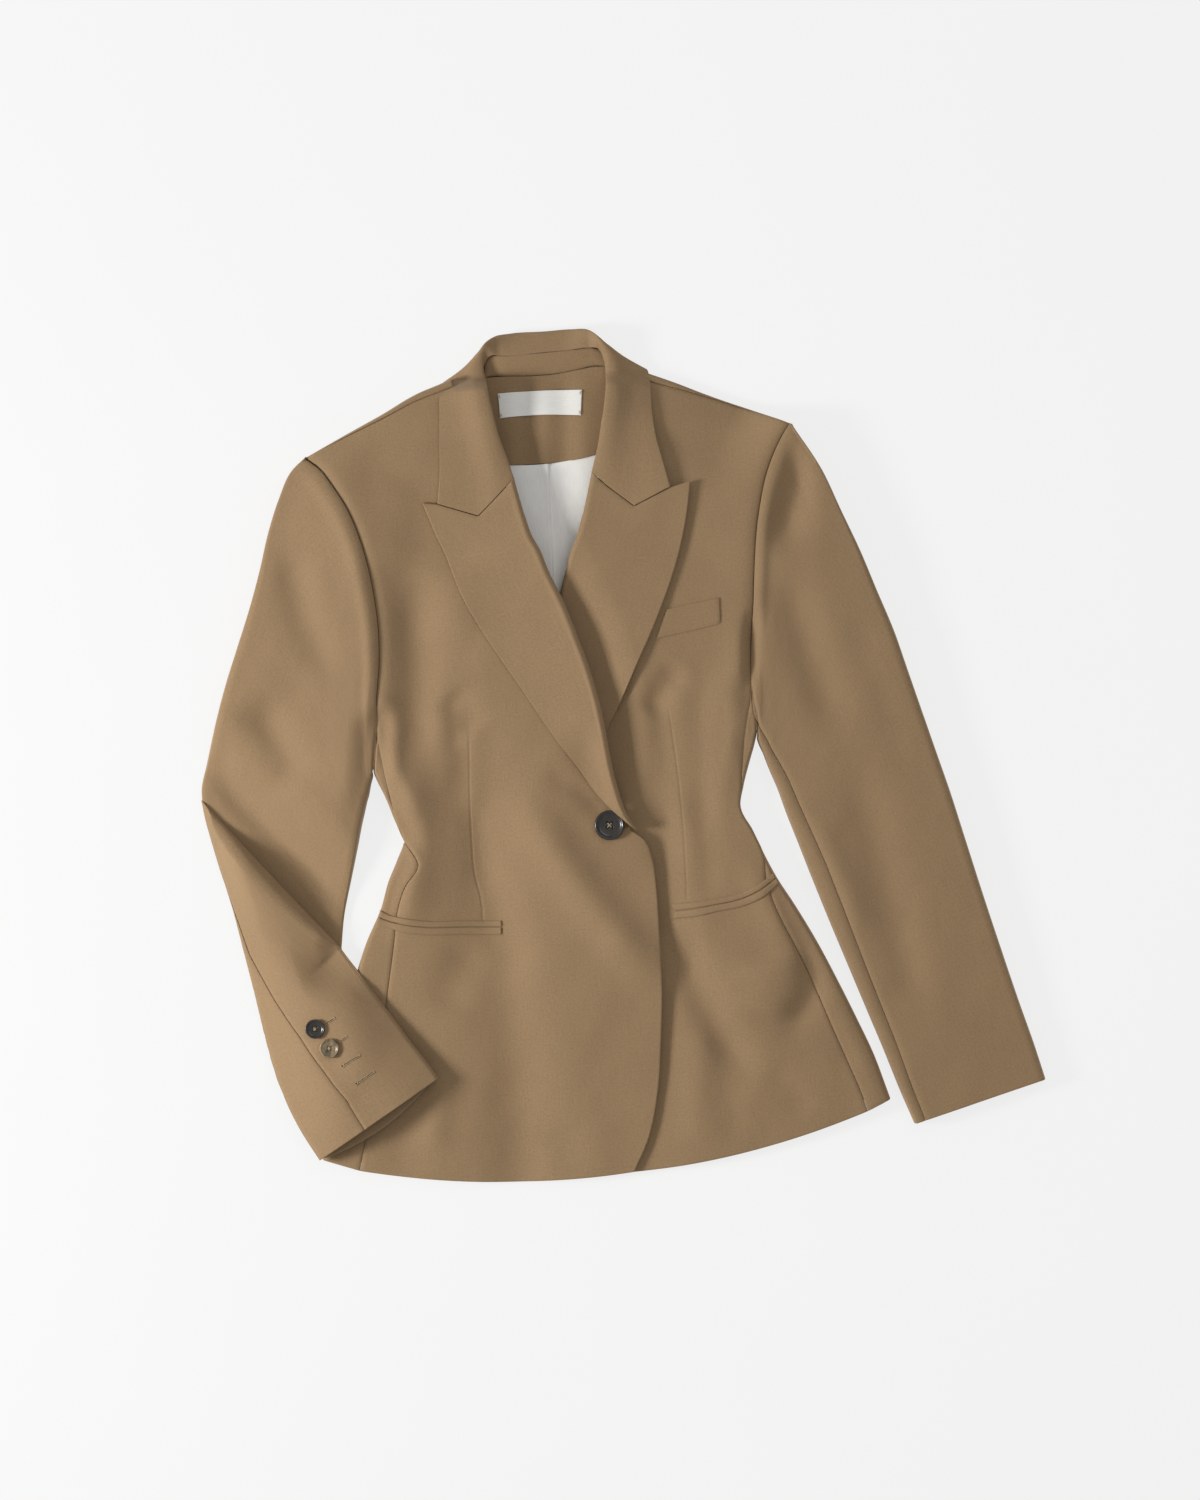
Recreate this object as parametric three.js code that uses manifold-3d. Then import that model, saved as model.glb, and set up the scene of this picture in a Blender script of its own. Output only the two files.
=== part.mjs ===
import * as THREE from "three";
import { mergeVertices } from "three/addons/utils/BufferGeometryUtils.js";
import Module from "manifold-3d";

// A single-button blazer with peaked lapels, laid flat and face up. Millimetres, +Z up, +Y
// toward the collar, the wearer's right at -X. The ground is z = 0. The wearer's right
// sleeve is bent at the elbow and its forearm lies over the side of the body.

// ---- driving sizes ----
const CLOTH = 1.6;            // worsted with its interlining, one layer
const LAPEL_CLOTH = 2.0;      // lapel: facing and front together
const COLLAR_CLOTH = 2.2;     // collar: top collar and under collar together
const THIN_CLOTH = 1.0;       // lining, label, facing
const JET_CLOTH = 1.2;        // pocket jets and welt
const SEAM_GAP = 0.5;         // between two pieces that are sewn edge to edge
const LAID_GAP = 0.4;         // between a piece and what it lies on
const EDGE_HEIGHT = 5;        // thickness of a folded side edge, cloth to cloth
const EDGE_RADIUS = EDGE_HEIGHT / 2;
const SWELL_REACH = 55;       // how far in from a folded edge the cloth reaches its full height
const NECK_RISE = 3.0;        // the collar lies under the back and lifts it this much
const FORE_EDGE_HEIGHT = 6;   // folded edge of the bent forearm
const SLEEVE_TURN = 12;       // how far a sleeve seam lies under a folded edge
const FRONT_BUTTON = { diameter: 25.5, thickness: 4.4, x: -11.05, y: -59.5 };
const CUFF_BUTTON = { diameter: 16.5, thickness: 3.2 };
const CUFF_BUTTONS = [
  { name: "cuff_button_1", x: -260, y: -231.6 },
  { name: "cuff_button_2", x: -247.8, y: -247.8 },
];
const LAPEL_TIPS = { right: { x: -169.6, y: 213.4 }, left: { x: 57.4, y: 232.1 } };
const GORGE_GAP = 0.9;         // between the collar's end and the lapel
const SHIFT = { x: -0.65, y: 0.6 }; // puts the middle of the laid-out shape on the origin

const table = (head, data) => {
  const keys = head.split(" ");
  return data.map((row) => Object.fromEntries(keys.map((key, i) => [key, row[i]])));
};

const FRONT_RIGHT = table("side_x side_y edge_x edge_y sag", [
  [-223.1, -353.6, 9.8, -354.4, 9.3],
  [-218.9, -327.2, 21.7, -327.2, 7.6],
  [-212.1, -284.8, 30.2, -284.8, 5.1],
  [-205.3, -242.2, 32.7, -242.2, 2.5],
  [-199.3, -199.8, 33.6, -199.8, 0],
  [-194.2, -161.5, 31.9, -161.5, 0],
  [-190.8, -131.8, 30.2, -131.8, 0],
  [-184.9, -113, 28.5, -110.5, 0],
  [-173.8, -94.3, 25.9, -91, 0],
  [-181.5, -76.5, 20, -74, 0],
  [-190, -58.6, 3.8, -60.4, 0],
  [-196.8, -38.2, -5.5, -39.1, 0],
  [-201, -21.2, -10.6, -21.2, 0],
  [-207, -7.6, -14, -1.7, 0],
  [-207, 17, -18.3, 18.7, 0],
  [-206.1, 46.8, -24.2, 46.8, 0],
  [-205.3, 76.5, -33.6, 74.8, 0],
  [-207, 106.2, -43.8, 104.5, 0],
  [-210.4, 133.4, -54.8, 130.9, 0],
  [-215.5, 158.9, -67.6, 154.7, 0],
  [-223.1, 184.4, -78.6, 178.5, 0],
  [-233.3, 208.2, -88, 204, 0],
  [-245.2, 226.9, -96.5, 227.8, 0],
  [-256.3, 241.4, -108.4, 267.8, 0],
  [-263.9, 248, -116, 316.2, -4.2],
]);

const FRONT_LEFT = table("side_x side_y edge_x edge_y sag", [
  [208.7, -302.6, -42.9, -357.8, 12.8],
  [202.7, -286.4, -41.2, -327.2, 10.2],
  [190.8, -259.2, -38.7, -284.8, 6],
  [176.4, -226.9, -37.8, -242.2, 3.4],
  [163.6, -195.5, -37.8, -199.8, 1.7],
  [149.2, -161.5, -37.8, -161.5, 0],
  [136.4, -129.2, -37.8, -127.5, 0],
  [126.2, -106.2, -37.8, -106.2, 0],
  [115.2, -85.8, -37.8, -85, 0],
  [104.1, -67.1, -37.8, -65.5, 0],
  [94.8, -45, -37, -48.4, 0],
  [97.3, -25.5, -32.7, -34, 0],
  [102.4, -4.2, -31.9, -17, 0],
  [106.7, 12.8, -30.2, 4.2, 0],
  [110.1, 34, -29.3, 25.5, 0],
  [109.2, 59.5, -29.3, 55.2, 0],
  [109.2, 93.5, -31, 89.2, 0],
  [110.9, 127.5, -37, 121.5, 0],
  [111.8, 159.8, -41.2, 144.5, 0],
  [113.5, 189.5, -40.4, 170, 0],
  [116.9, 215, -35.3, 195.5, 0],
  [121.1, 235.4, -28.5, 219.3, 0],
  [127.1, 253.3, -21.7, 240.5, 0],
  [133.9, 268.6, -14, 276.2, 0],
  [140.7, 277.5, -10.6, 330.6, 0],
]);

const SIDE_RIGHT = table("seam_x seam_y fold_x fold_y back_x back_y", [
  [-201, -21.2, -208.7, -22.1, -190, -22.1],
  [-196.8, -38.2, -201.9, -35.7, -179.8, -35.7],
  [-190, -58.6, -194.2, -52.7, -168.7, -52.7],
  [-181.5, -76.5, -186.6, -70.5, -157.7, -70.5],
  [-173.8, -94.3, -191.7, -89.2, -156, -86.7],
  [-184.9, -113, -199.3, -108, -163.6, -108],
  [-190.8, -131.8, -205.3, -130, -166.2, -130],
  [-194.2, -161.5, -218, -159.8, -175.5, -159.8],
  [-199.3, -199.8, -229.9, -199.8, -184, -199.8],
  [-205.3, -242.2, -237.6, -242.2, -188.3, -242.2],
  [-212.1, -284.8, -244.4, -280.5, -193.4, -280.5],
  [-218.9, -327.2, -252, -321.3, -199.3, -321.3],
  [-223.1, -353.6, -255.4, -344.2, -201, -349.3],
]);

const SIDE_LEFT = table("seam_x seam_y fold_x fold_y back_x back_y", [
  [106.7, 12.8, 112.6, 11.9, 93.9, 11.9],
  [102.4, -4.2, 108.4, -5.1, 88, -5.1],
  [97.3, -25.5, 103.3, -26.3, 80.3, -26.3],
  [94.8, -45, 100.7, -45, 72.7, -45],
  [104.1, -67.1, 110.9, -62.9, 81.2, -63.8],
  [115.2, -85.8, 120.3, -83.3, 87.1, -84.1],
  [126.2, -106.2, 131.3, -103.7, 94.8, -104.5],
  [136.4, -129.2, 145.8, -125.8, 106.7, -127.5],
  [149.2, -161.5, 164.5, -156.4, 123.7, -158.1],
  [163.6, -195.5, 184, -192.9, 139.8, -194.7],
  [176.4, -226.9, 199.3, -223.5, 151.7, -225.2],
  [190.8, -259.2, 214.6, -255.8, 165.3, -257.6],
  [202.7, -286.4, 224.8, -283.1, 173.8, -283.1],
  [208.7, -302.6, 228.2, -292.4, 175.5, -295.8],
]);

const SHOULDER_RIGHT = table("x y turn", [
  [-65.9, 324.7, 0],
  [-90.5, 323.8, 0],
  [-112.6, 322.1, 0],
  [-131.3, 313.6, 0],
  [-145.8, 310.2, 7],
  [-157.7, 308.6, 8],
  [-173, 304.3, 8],
  [-205.3, 288.1, 8],
  [-237.6, 270.3, 7],
  [-266.1, 253.3, 4],
]);

const SHOULDER_LEFT = table("x y turn", [
  [-65.9, 324.7, 0],
  [-39.5, 327.2, 0],
  [-16.6, 328.9, 0],
  [2.1, 319.6, 0],
  [15.7, 322.6, 6],
  [27.6, 320.9, 7],
  [48.9, 316.2, 6],
  [81.2, 302.6, 4],
  [114.3, 291.6, 3.6],
  [139.8, 282.6, 3.6],
]);

const SLEEVE_LEFT = table("out_x out_y in_x in_y seam", [
  [143.2, 281.7, 114.3, 14.4, 0.03],
  [169.6, 242.2, 115.2, 11, 0.04],
  [185.7, 208.2, 116.9, 6.8, 0.05],
  [201.9, 174.2, 119.4, 1.7, 0.055],
  [216.3, 140.2, 122, -5.1, 0.06],
  [230.8, 106.2, 125.4, -13.6, 0.07],
  [242.7, 72.2, 131.3, -27.2, 0.08],
  [254.6, 38.2, 139, -48.4, 0.09],
  [266.5, 4.2, 149.2, -74, 0.1],
  [278.4, -29.8, 160.2, -102, 0.11],
  [292, -72.2, 174.7, -137.7, 0.11],
  [307.3, -119.8, 190, -174.2, 0.105],
  [322.6, -165.8, 206.1, -212.5, 0.1],
  [337, -208.2, 222.3, -250.8, 0.095],
  [350.6, -246.5, 236.7, -286.4, 0.085],
  [360, -275.4, 248.6, -313.6, 0.08],
]);

const SLEEVE_RIGHT_UPPER = table("out_x out_y in_x in_y", [
  [-268.6, 253.7, -212.1, -17.8],
  [-280.9, 241.4, -212.9, -21.2],
  [-292, 216.8, -213.8, -24.6],
  [-301.3, 187, -214.6, -28.9],
  [-308.1, 157.2, -215.5, -34],
  [-316.6, 125.8, -217.2, -39.9],
  [-326.8, 93.5, -218.9, -47.6],
  [-337, 61.2, -221.4, -58.6],
  [-346.4, 25.5, -224.8, -76.5],
  [-354, -8.5, -230.8, -106.2],
  [-358.3, -29.8, -236.7, -136],
  [-358.7, -36.5, -241.8, -161.5],
]);

const SLEEVE_RIGHT_FORE = table("out_x out_y in_x in_y seam", [
  [-358.7, -38.2, -240, -163.7, 0.02],
  [-355.7, -53.5, -235.9, -169.2, 0.02],
  [-349.8, -74.8, -229.9, -176.8, 0.02],
  [-342.1, -100.3, -222.3, -186.2, 0.02],
  [-331.9, -131.8, -212.9, -198.9, 0.03],
  [-322.6, -167.4, -201.9, -213.3, 0.06],
  [-313.2, -204, -190.8, -227.8, 0.14],
  [-304.7, -238.8, -181.5, -240.5, 0.27],
  [-293.7, -276.2, -171.3, -253.3, 0.36],
  [-278.4, -310.2, -162.8, -264.3, 0.38],
  [-257.1, -344.2, -156, -273.7, 0.37],
]);

const LAPEL_RIGHT = table("roll_x roll_y out_x out_y roll lift", [
  [12.3, -63.8, 4.7, -58.6, 7.5, 5.4],
  [3, -48.4, -8.5, -47.2, 8, 5.4],
  [-3.4, -29.8, -22.5, -32.3, 8, 2.4],
  [-8.9, -8.5, -37, -11.9, 8, 0.9],
  [-13.2, 14.4, -53.1, 8.5, 8, 0.6],
  [-19.1, 42.5, -69.3, 31.4, 8, 0.6],
  [-27.6, 72.2, -86.3, 56.9, 8, 0.6],
  [-39.5, 104.5, -104.1, 82.5, 8, 0.6],
  [-51.4, 133.4, -121.1, 108, 8, 0.6],
  [-62.5, 155.5, -134.7, 131.8, 8, 0.6],
  [-70.1, 174.2, -143.2, 151.3, 8, 0.6],
  [-76.1, 184.4, -149.2, 167.4, 8, 0.8],
  [-82, 200.6, -157.7, 185.3, 8, 1],
]);

const LAPEL_LEFT = table("roll_x roll_y out_x out_y roll lift", [
  [-37, -38.2, -25.9, -36.5, 4.4, 1.6],
  [-36.1, -12.8, -20.8, -8.5, 4.6, 1.8],
  [-35.3, 17, -14, 19.6, 4.8, 2],
  [-35.3, 46.8, -2.1, 44.2, 5, 2],
  [-36.5, 80.8, 12.3, 77.3, 5.4, 1.8],
  [-38.7, 110.5, 25.9, 108, 6.2, 1.2],
  [-42.9, 136, 36.1, 134.3, 7.5, 0.6],
  [-44.6, 155.5, 43.8, 157.2, 8, 0.6],
  [-43.8, 169.2, 48.9, 175.9, 8, 0.6],
  [-40.8, 184.4, 51.9, 190.4, 8, 0.8],
  [-37, 199.8, 54.4, 204.8, 8, 1],
]);

const COLLAR = table("in_x in_y in_z fold_x fold_y fold_z near_x near_y near_z mid_x mid_y mid_z rim_x rim_y rim_z on", [
  [-97.3, 234.6, 1.2, -92.2, 234.2, 6.6, -104.1, 221.2, 7.6, -122, 202.5, 4.2, -156.8, 212.7, 3.2, 1],
  [-103.3, 251.6, 1.2, -98.2, 252.4, 7, -108.4, 243.9, 9, -125.4, 233.8, 5, -155.1, 235.4, 3, 1],
  [-109.2, 270.3, 1.2, -105, 271.1, 8, -115.2, 266.9, 10, -133, 262.6, 5.5, -155.1, 262.6, 3, 1],
  [-115.2, 293.2, 1.2, -110.9, 294.1, 9, -121.1, 290.7, 11, -136.4, 287.3, 6, -155.1, 287.3, 3, 1],
  [-119.4, 311.9, 2, -115.2, 314.5, 10, -124.5, 311.1, 12, -139, 304.3, 7, -155.1, 302.6, 3.4, 1],
  [-118.6, 328.1, 5, -118.6, 332.3, 12, -127.1, 326.4, 13, -139, 315.3, 8, -154.3, 309.4, 3.6, 1],
  [-110.9, 339.1, 11, -116.9, 347.6, 17, -123.7, 340.8, 14, -135.6, 328.9, 8.5, -153.4, 316.2, 3.2, 0],
  [-102.4, 339.1, 12, -108.4, 355.3, 12, -112.6, 346.8, 3.5, -122, 329.8, 0, -133, 308.6, 0, 0],
  [-90.5, 339.6, 12, -95.6, 358.3, 8, -99, 345.1, 0.2, -101.6, 327.2, 0, -105, 305.1, 0, 0],
  [-65.9, 342.6, 11.5, -65.9, 360.4, 6.5, -65.9, 345.9, 0.2, -65.9, 327.2, 0, -65.9, 303.4, 0, 0],
  [-46.3, 344.2, 11.5, -43.8, 362.1, 7, -42.1, 347.6, 0.2, -38.7, 328.9, 0, -36.1, 306, 0, 0],
  [-29.3, 345.9, 12, -29.3, 361.2, 11, -23.4, 350.2, 3, -13.2, 334.1, 0, -4.7, 314.5, 0, 0],
  [-21.7, 345.1, 11, -20, 352.8, 17, -11.5, 347.6, 14, 2.1, 338.3, 8.5, 21.7, 327.2, 3.2, 0],
  [-15.7, 334.1, 5, -15.7, 339.1, 12, -7.2, 334.9, 13, 7.2, 328.9, 8, 23.4, 318.8, 3.6, 1],
  [-12.3, 318.8, 2, -14, 322.1, 10, -4.7, 319.6, 12, 8.1, 315.3, 7, 24.2, 306.8, 3.4, 1],
  [-10.6, 301.8, 1.2, -14.9, 302.6, 9, -4.7, 300.9, 11, 9.8, 296.6, 6, 25.1, 290.7, 3, 1],
  [-14, 278.8, 1.2, -18.3, 278.8, 8, -8.1, 277.1, 10, 9.8, 273.7, 5.5, 28.5, 269.4, 3, 1],
  [-17.4, 258.4, 1.2, -21.7, 257.6, 7, -9.8, 255, 9, 11.5, 249, 5, 34.4, 248.2, 3, 1],
  [-20.8, 241.4, 1.2, -25.9, 240.1, 6.6, -14, 228.8, 7.6, 9.8, 211, 4.2, 40.4, 227.1, 3.2, 1],
]);

const STAND = table("top_x top_y top_z foot_x foot_y foot_z", [
  [-116.9, 331.5, 6.6, -117.7, 319.2, 5.5],
  [-112.6, 336.6, 10, -114.3, 321.3, 5.8],
  [-99.9, 337.9, 11.5, -99.9, 322.1, 5.8],
  [-78.6, 339.6, 11.2, -78.6, 322.6, 5.6],
  [-57.4, 341.7, 11, -57.4, 324.3, 5.6],
  [-40.4, 343.4, 11.2, -37.8, 328.1, 5.7],
  [-25.9, 343.8, 10.5, -20.8, 331.5, 5.8],
  [-19.1, 341.7, 9, -14, 330.6, 5.6],
]);

const FACING = table("foot_x foot_y low_x low_y", [
  [-127.9, 318.8, -114.3, 247.3],
  [-114.3, 320.4, -104.1, 246.9],
  [-99.9, 321.3, -91.4, 246.5],
  [-78.6, 321.7, -74.4, 247.3],
  [-57.4, 323.4, -57.4, 248.6],
  [-37.8, 327.2, -40.4, 250.8],
  [-20.8, 329.8, -25.9, 254.2],
  [-7.2, 329.8, -14, 257.6],
]);

const LINING = table("a_x a_y b_x b_y sag", [
  [-114.3, 245.2, -14, 255.4, 4.7],
  [-102.4, 229.5, -19.1, 233.8, 1.7],
  [-93.1, 208.2, -24.2, 209.9, 0],
  [-85.4, 187, -29.3, 187, 0],
  [-76.1, 165.8, -31, 165.8, 0],
  [-67.6, 144.5, -31, 144.5, 0],
  [-59.9, 121.5, -31, 121.5, 0],
]);

const LABEL = table("a_x a_y b_x b_y sag", [
  [-106.2, 307.3, -34.4, 310.7, -0.8],
  [-105, 296.6, -34.9, 299.6, -1.3],
  [-104.1, 286, -35.3, 288.6, -1.7],
]);

const SPOTS = table("x y h", [
  [-248.6, 216.8, 24],
  [-189.1, 233.8, 20],
  [-274.1, 131.8, 21],
  [-299.6, 46.8, 18],
  [-303.9, -8.5, 14],
  [-248.6, -89.2, 12],
  [-265.6, -21.2, 15],
  [-146.6, 165.8, 16],
  [-129.6, 89.2, 15],
  [-172.1, 46.8, 14],
  [-87.1, 12.8, 14],
  [-129.6, -63.8, 12],
  [-36.1, -80.8, 12],
  [-146.6, -123.2, 9],
  [-146.6, -191.2, 8],
  [-53.1, -191.2, 10],
  [-172.1, -276.2, 5],
  [-121.1, -318.8, 5],
  [-19.1, -318.8, 6],
  [-104.1, 284.8, 15],
  [-19.1, 293.2, 15],
  [125.4, 242.2, 24],
  [65.9, 259.2, 20],
  [176.4, 182.8, 22],
  [210.4, 89.2, 18],
  [240.1, -4.2, 16],
  [252.9, -80.8, 15],
  [278.4, -165.8, 13],
  [303.9, -233.8, 11],
  [320.9, -284.8, 9],
  [31.9, 165.8, 16],
  [57.4, 89.2, 15],
  [65.9, 12.8, 14],
  [31.9, -63.8, 12],
  [91.4, -106.2, 12],
  [95.6, -191.2, 13],
  [150.9, -191.2, 9],
  [65.9, -276.2, 7],
  [150.9, -284.8, 7],
  [65.9, -327.2, 6],
]);

const FORE_SPOTS = table("x y h", [
  [-333.6, -80.8, 9],
  [-282.6, -123.2, 15],
  [-282.6, -191.2, 17],
  [-231.6, -216.8, 16],
  [-240.1, -276.2, 13],
  [-206.1, -293.2, 9],
  [-248.6, -327.2, 7],
  [-172.1, -267.8, 9],
]);

const FOLDS = table("depth width ax ay bx by cx cy", [
  [-8, 11, -190.8, 123.2, -189.1, 55.2, -185.7, -12.8],
  [4, 14, -163.6, 55.2, -161.9, 12.8, -158.5, -38.2],
  [3.5, 10, -201.9, 55.2, -199.3, 12.8, -190.8, -38.2],
  [4, 22, -150.9, 165.8, -146.6, 123.2, -144.9, 89.2],
  [-4, 14, -155.1, 56.9, -141.5, 36.5, -127.9, 17],
  [-5, 22, -155.1, -38.2, -163.6, -80.8, -146.6, -119],
  [-5, 20, -63.3, -76.5, -23.4, -123.2, 27.6, -170],
  [-3.5, 18, -125.4, -157.2, -139.8, -187, -150.9, -225.2],
  [-6, 13, -117.7, -250.8, -122.8, -301.8, -125.4, -348.5],
  [4, 14, -142.4, -259.2, -144.9, -301.8, -148.3, -344.2],
  [-9, 9, -199.3, 46.8, -207.8, 8.5, -209.5, -29.8],
  [-5, 13, 38.7, -144.5, 57.4, -208.2, 98.2, -284.8],
  [-5, 12, 144.1, -144.5, 150.9, -195.5, 116.9, -246.5],
  [5, 26, 95.6, -174.2, 99.9, -195.5, 101.6, -216.8],
  [-5, 12, 50.6, 79, 34.4, 55.2, 19.1, 31.4],
  [4, 11, 65.9, 97.8, 64.2, 12.8, 65.9, -80.8],
  [-4, 10, 81.2, 89.2, 80.3, 12.8, 84.6, -80.8],
  [4, 11, 96.5, 97.8, 94.8, 21.2, 89.7, -38.2],
  [-10, 7, 111.8, 131.8, 110.1, 80.8, 112.6, 21.2],
  [-4, 11, 146.6, 267.8, 133.9, 225.2, 121.1, 178.5],
  [-5, 16, 121.1, 144.5, 146.6, 89.2, 169.6, 25.5],
  [-5, 16, 180.6, -4.2, 208.7, -114.8, 240.1, -216.8],
  [4, 13, 150.9, -38.2, 176.4, -97.8, 203.6, -165.8],
  [-4, 14, -286.9, 182.8, -274.1, 123.2, -248.6, 55.2],
  [-4, 16, -314.9, 46.8, -297.9, 4.2, -274.1, -38.2],
  [3, 14, -325.1, -29.8, -291.1, -31.4, -257.1, -34],
  [-3.5, 24, -227.4, 199.8, -212.9, 165.8, -193.4, 131.8],
]);

const UNDER_EDGE = table("x y drop", [
  [14.9, -363.8, 4.6],
  [21.7, -327.2, 5],
  [28.5, -284.8, 5.5],
  [31.9, -242.2, 6.5],
  [32.7, -199.8, 8],
  [31, -157.2, 8],
  [27.6, -106.2, 7],
  [20, -74, 6.5],
  [6.4, -51, 7],
  [-5.5, -21.2, 8],
  [-10.6, 4.2, 9],
  [-19.1, 46.8, 10],
  [-31.9, 85, 10],
  [-44.6, 117.3, 9],
  [-57.4, 144.5, 8],
  [-70.1, 165.8, 6],
]);

const POCKET_RIGHT = table("top_x top_y slot_x slot_y low_x low_y", [
  [-201, -134.3, -201.9, -139.8, -202.7, -145.3],
  [-186.6, -138.1, -187.4, -143.7, -188.3, -150.4],
  [-167.9, -140.7, -167.9, -146.2, -167.9, -153],
  [-135.6, -140.7, -135.6, -146.2, -135.6, -153],
  [-103.3, -140.7, -103.3, -146.2, -103.3, -153],
]);

const POCKET_LEFT = table("top_x top_y slot_x slot_y low_x low_y", [
  [41.2, -126.6, 42.1, -133, 43.8, -139.4],
  [59.1, -124.5, 60.8, -130.5, 62.5, -137.3],
  [76.9, -121.5, 78.6, -127.5, 81.2, -133.9],
  [98.2, -115.6, 100.7, -121.1, 103.3, -126.6],
  [115.2, -108, 118.6, -113.5, 122, -116.9],
]);

const CHEST_WELT = table("top_x top_y low_x low_y", [
  [37, 123.2, 28.5, 98.6],
  [51.4, 126.6, 45.5, 102.4],
  [66.7, 130, 64.2, 106.7],
  [82, 133.4, 82.9, 111.3],
]);

// ---- small maths ----
const clamp = (v, a, b) => Math.max(a, Math.min(b, v));
const smooth = (a, b, v) => { const t = clamp((v - a) / (b - a), 0, 1); return t * t * (3 - 2 * t); };
const lerp = (a, b, t) => a + (b - a) * t;
const mix = (p, q, t) => [lerp(p[0], q[0], t), lerp(p[1], q[1], t)];
const minus = (p, q) => [p[0] - q[0], p[1] - q[1]];
const size = (v) => Math.hypot(v[0], v[1]);
const unit = (v) => { const l = size(v) || 1; return [v[0] / l, v[1] / l]; };
const go = (p, d, l) => [p[0] + d[0] * l, p[1] + d[1] * l];
const cubic = (a, b, c, d, t) => 0.5 * (2 * b + (c - a) * t + (2 * a - 5 * b + 4 * c - d) * t * t + (3 * b - a - 3 * c + d) * t * t * t);

// nearest place on a polyline: distance, share of its length, and which side (+ is its right)
function nearest(line, x, y) {
  let best = { d: 1e9, share: 0, side: 1, i: 0, t: 0 };
  let run = 0;
  const total = line.total ?? (line.total = line.slice(1).reduce((s, p, i) => s + size(minus(p, line[i])), 0));
  for (let i = 0; i + 1 < line.length; i++) {
    const [ax, ay] = line[i], dx = line[i + 1][0] - ax, dy = line[i + 1][1] - ay;
    const l = Math.hypot(dx, dy);
    const t = clamp(((x - ax) * dx + (y - ay) * dy) / (l * l), 0, 1);
    const d = Math.hypot(x - ax - dx * t, y - ay - dy * t);
    if (d < best.d) best = { d, share: (run + l * t) / total, side: dx * (y - ay) - dy * (x - ax) < 0 ? 1 : -1, i, t };
    run += l;
  }
  return best;
}
const points = (rows, a, b) => rows.map((r) => [r[a], r[b]]);

// ---- folded edges of the laid-out shape ----
const EDGE_LINES = [
  [...points(SHOULDER_RIGHT.slice(3), "x", "y"), ...points(SLEEVE_RIGHT_UPPER, "out_x", "out_y")],
  points(SLEEVE_RIGHT_UPPER, "in_x", "in_y"),
  points(SIDE_RIGHT, "fold_x", "fold_y"),
  [...points(SHOULDER_LEFT.slice(3), "x", "y"), ...points(SLEEVE_LEFT, "out_x", "out_y")],
  points(SLEEVE_LEFT, "in_x", "in_y"),
  points(SIDE_LEFT, "fold_x", "fold_y"),
];
const CREASE = [[SLEEVE_RIGHT_FORE[0].out_x, SLEEVE_RIGHT_FORE[0].out_y], [SLEEVE_RIGHT_FORE[0].in_x, SLEEVE_RIGHT_FORE[0].in_y]];
const FORE_LINES = [points(SLEEVE_RIGHT_FORE, "out_x", "out_y"), points(SLEEVE_RIGHT_FORE, "in_x", "in_y")];
const UNDER_LINE = points(UNDER_EDGE, "x", "y");
const FOLD_LINES = FOLDS.map((f) => ({ ...f, line: [[f.ax, f.ay], [f.bx, f.by], [f.cx, f.cy]] }));

const edgeDistance = (lines, x, y) => Math.min(...lines.map((l) => nearest(l, x, y).d));
const round = (d, r) => Math.sqrt(1 - (1 - Math.min(d / r, 1)) ** 2);
const swell = (d, reach) => Math.sin((Math.PI / 2) * Math.min(d / reach, 1));
const spotHeight = (spots, x, y) => {
  let sum = 0, weight = 0;
  for (const s of spots) {
    const w = 1 / ((x - s.x) ** 2 + (y - s.y) ** 2 + 1600) ** 2;
    sum += w * s.h; weight += w;
  }
  return sum / weight;
};
const foldHeight = (x, y) => FOLD_LINES.reduce((sum, f) => {
  const n = nearest(f.line, x, y);
  if (n.d > 3 * f.width) return sum;
  return sum + f.depth * Math.exp(-((n.d / f.width) ** 2)) * smooth(0, 0.25, n.share) * smooth(1, 0.75, n.share);
}, 0);
const rise = (y) => NECK_RISE * smooth(262, 290, y);

// upper side of the laid-out cloth, and the side it rests on
function topHeight(x, y) {
  const d = edgeDistance(EDGE_LINES, x, y);
  return rise(y) + (EDGE_HEIGHT / 2) * (1 + round(d, EDGE_RADIUS)) + spotHeight(SPOTS, x, y) * swell(d, SWELL_REACH) + foldHeight(x, y) * smooth(0, 25, d);
}
function bottomHeight(x, y) {
  return rise(y) + (EDGE_HEIGHT / 2) * (1 - round(edgeDistance(EDGE_LINES, x, y), EDGE_RADIUS));
}
// the left front lies under the right one, and comes up again beyond its edge
function underHeight(x, y) {
  const n = nearest(UNDER_LINE, x, y);
  const i = Math.min(n.i, UNDER_EDGE.length - 2);
  const drop = lerp(UNDER_EDGE[i].drop, UNDER_EDGE[i + 1].drop, n.t);
  return topHeight(x, y) - drop * (n.side > 0 ? 1 - smooth(0, 42, n.d) : 1);
}
// the upper arm sinks toward the elbow tuck
function upperArmHeight(x, y) {
  const d = edgeDistance(EDGE_LINES, x, y), c = nearest(CREASE, x, y).d;
  return (EDGE_HEIGHT / 2) * (1 + round(d, EDGE_RADIUS)) + spotHeight(SPOTS, x, y) * swell(d, SWELL_REACH) * (0.12 + 0.88 * swell(c, 34)) + foldHeight(x, y) * smooth(0, 25, d) * smooth(4, 30, c);
}
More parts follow.
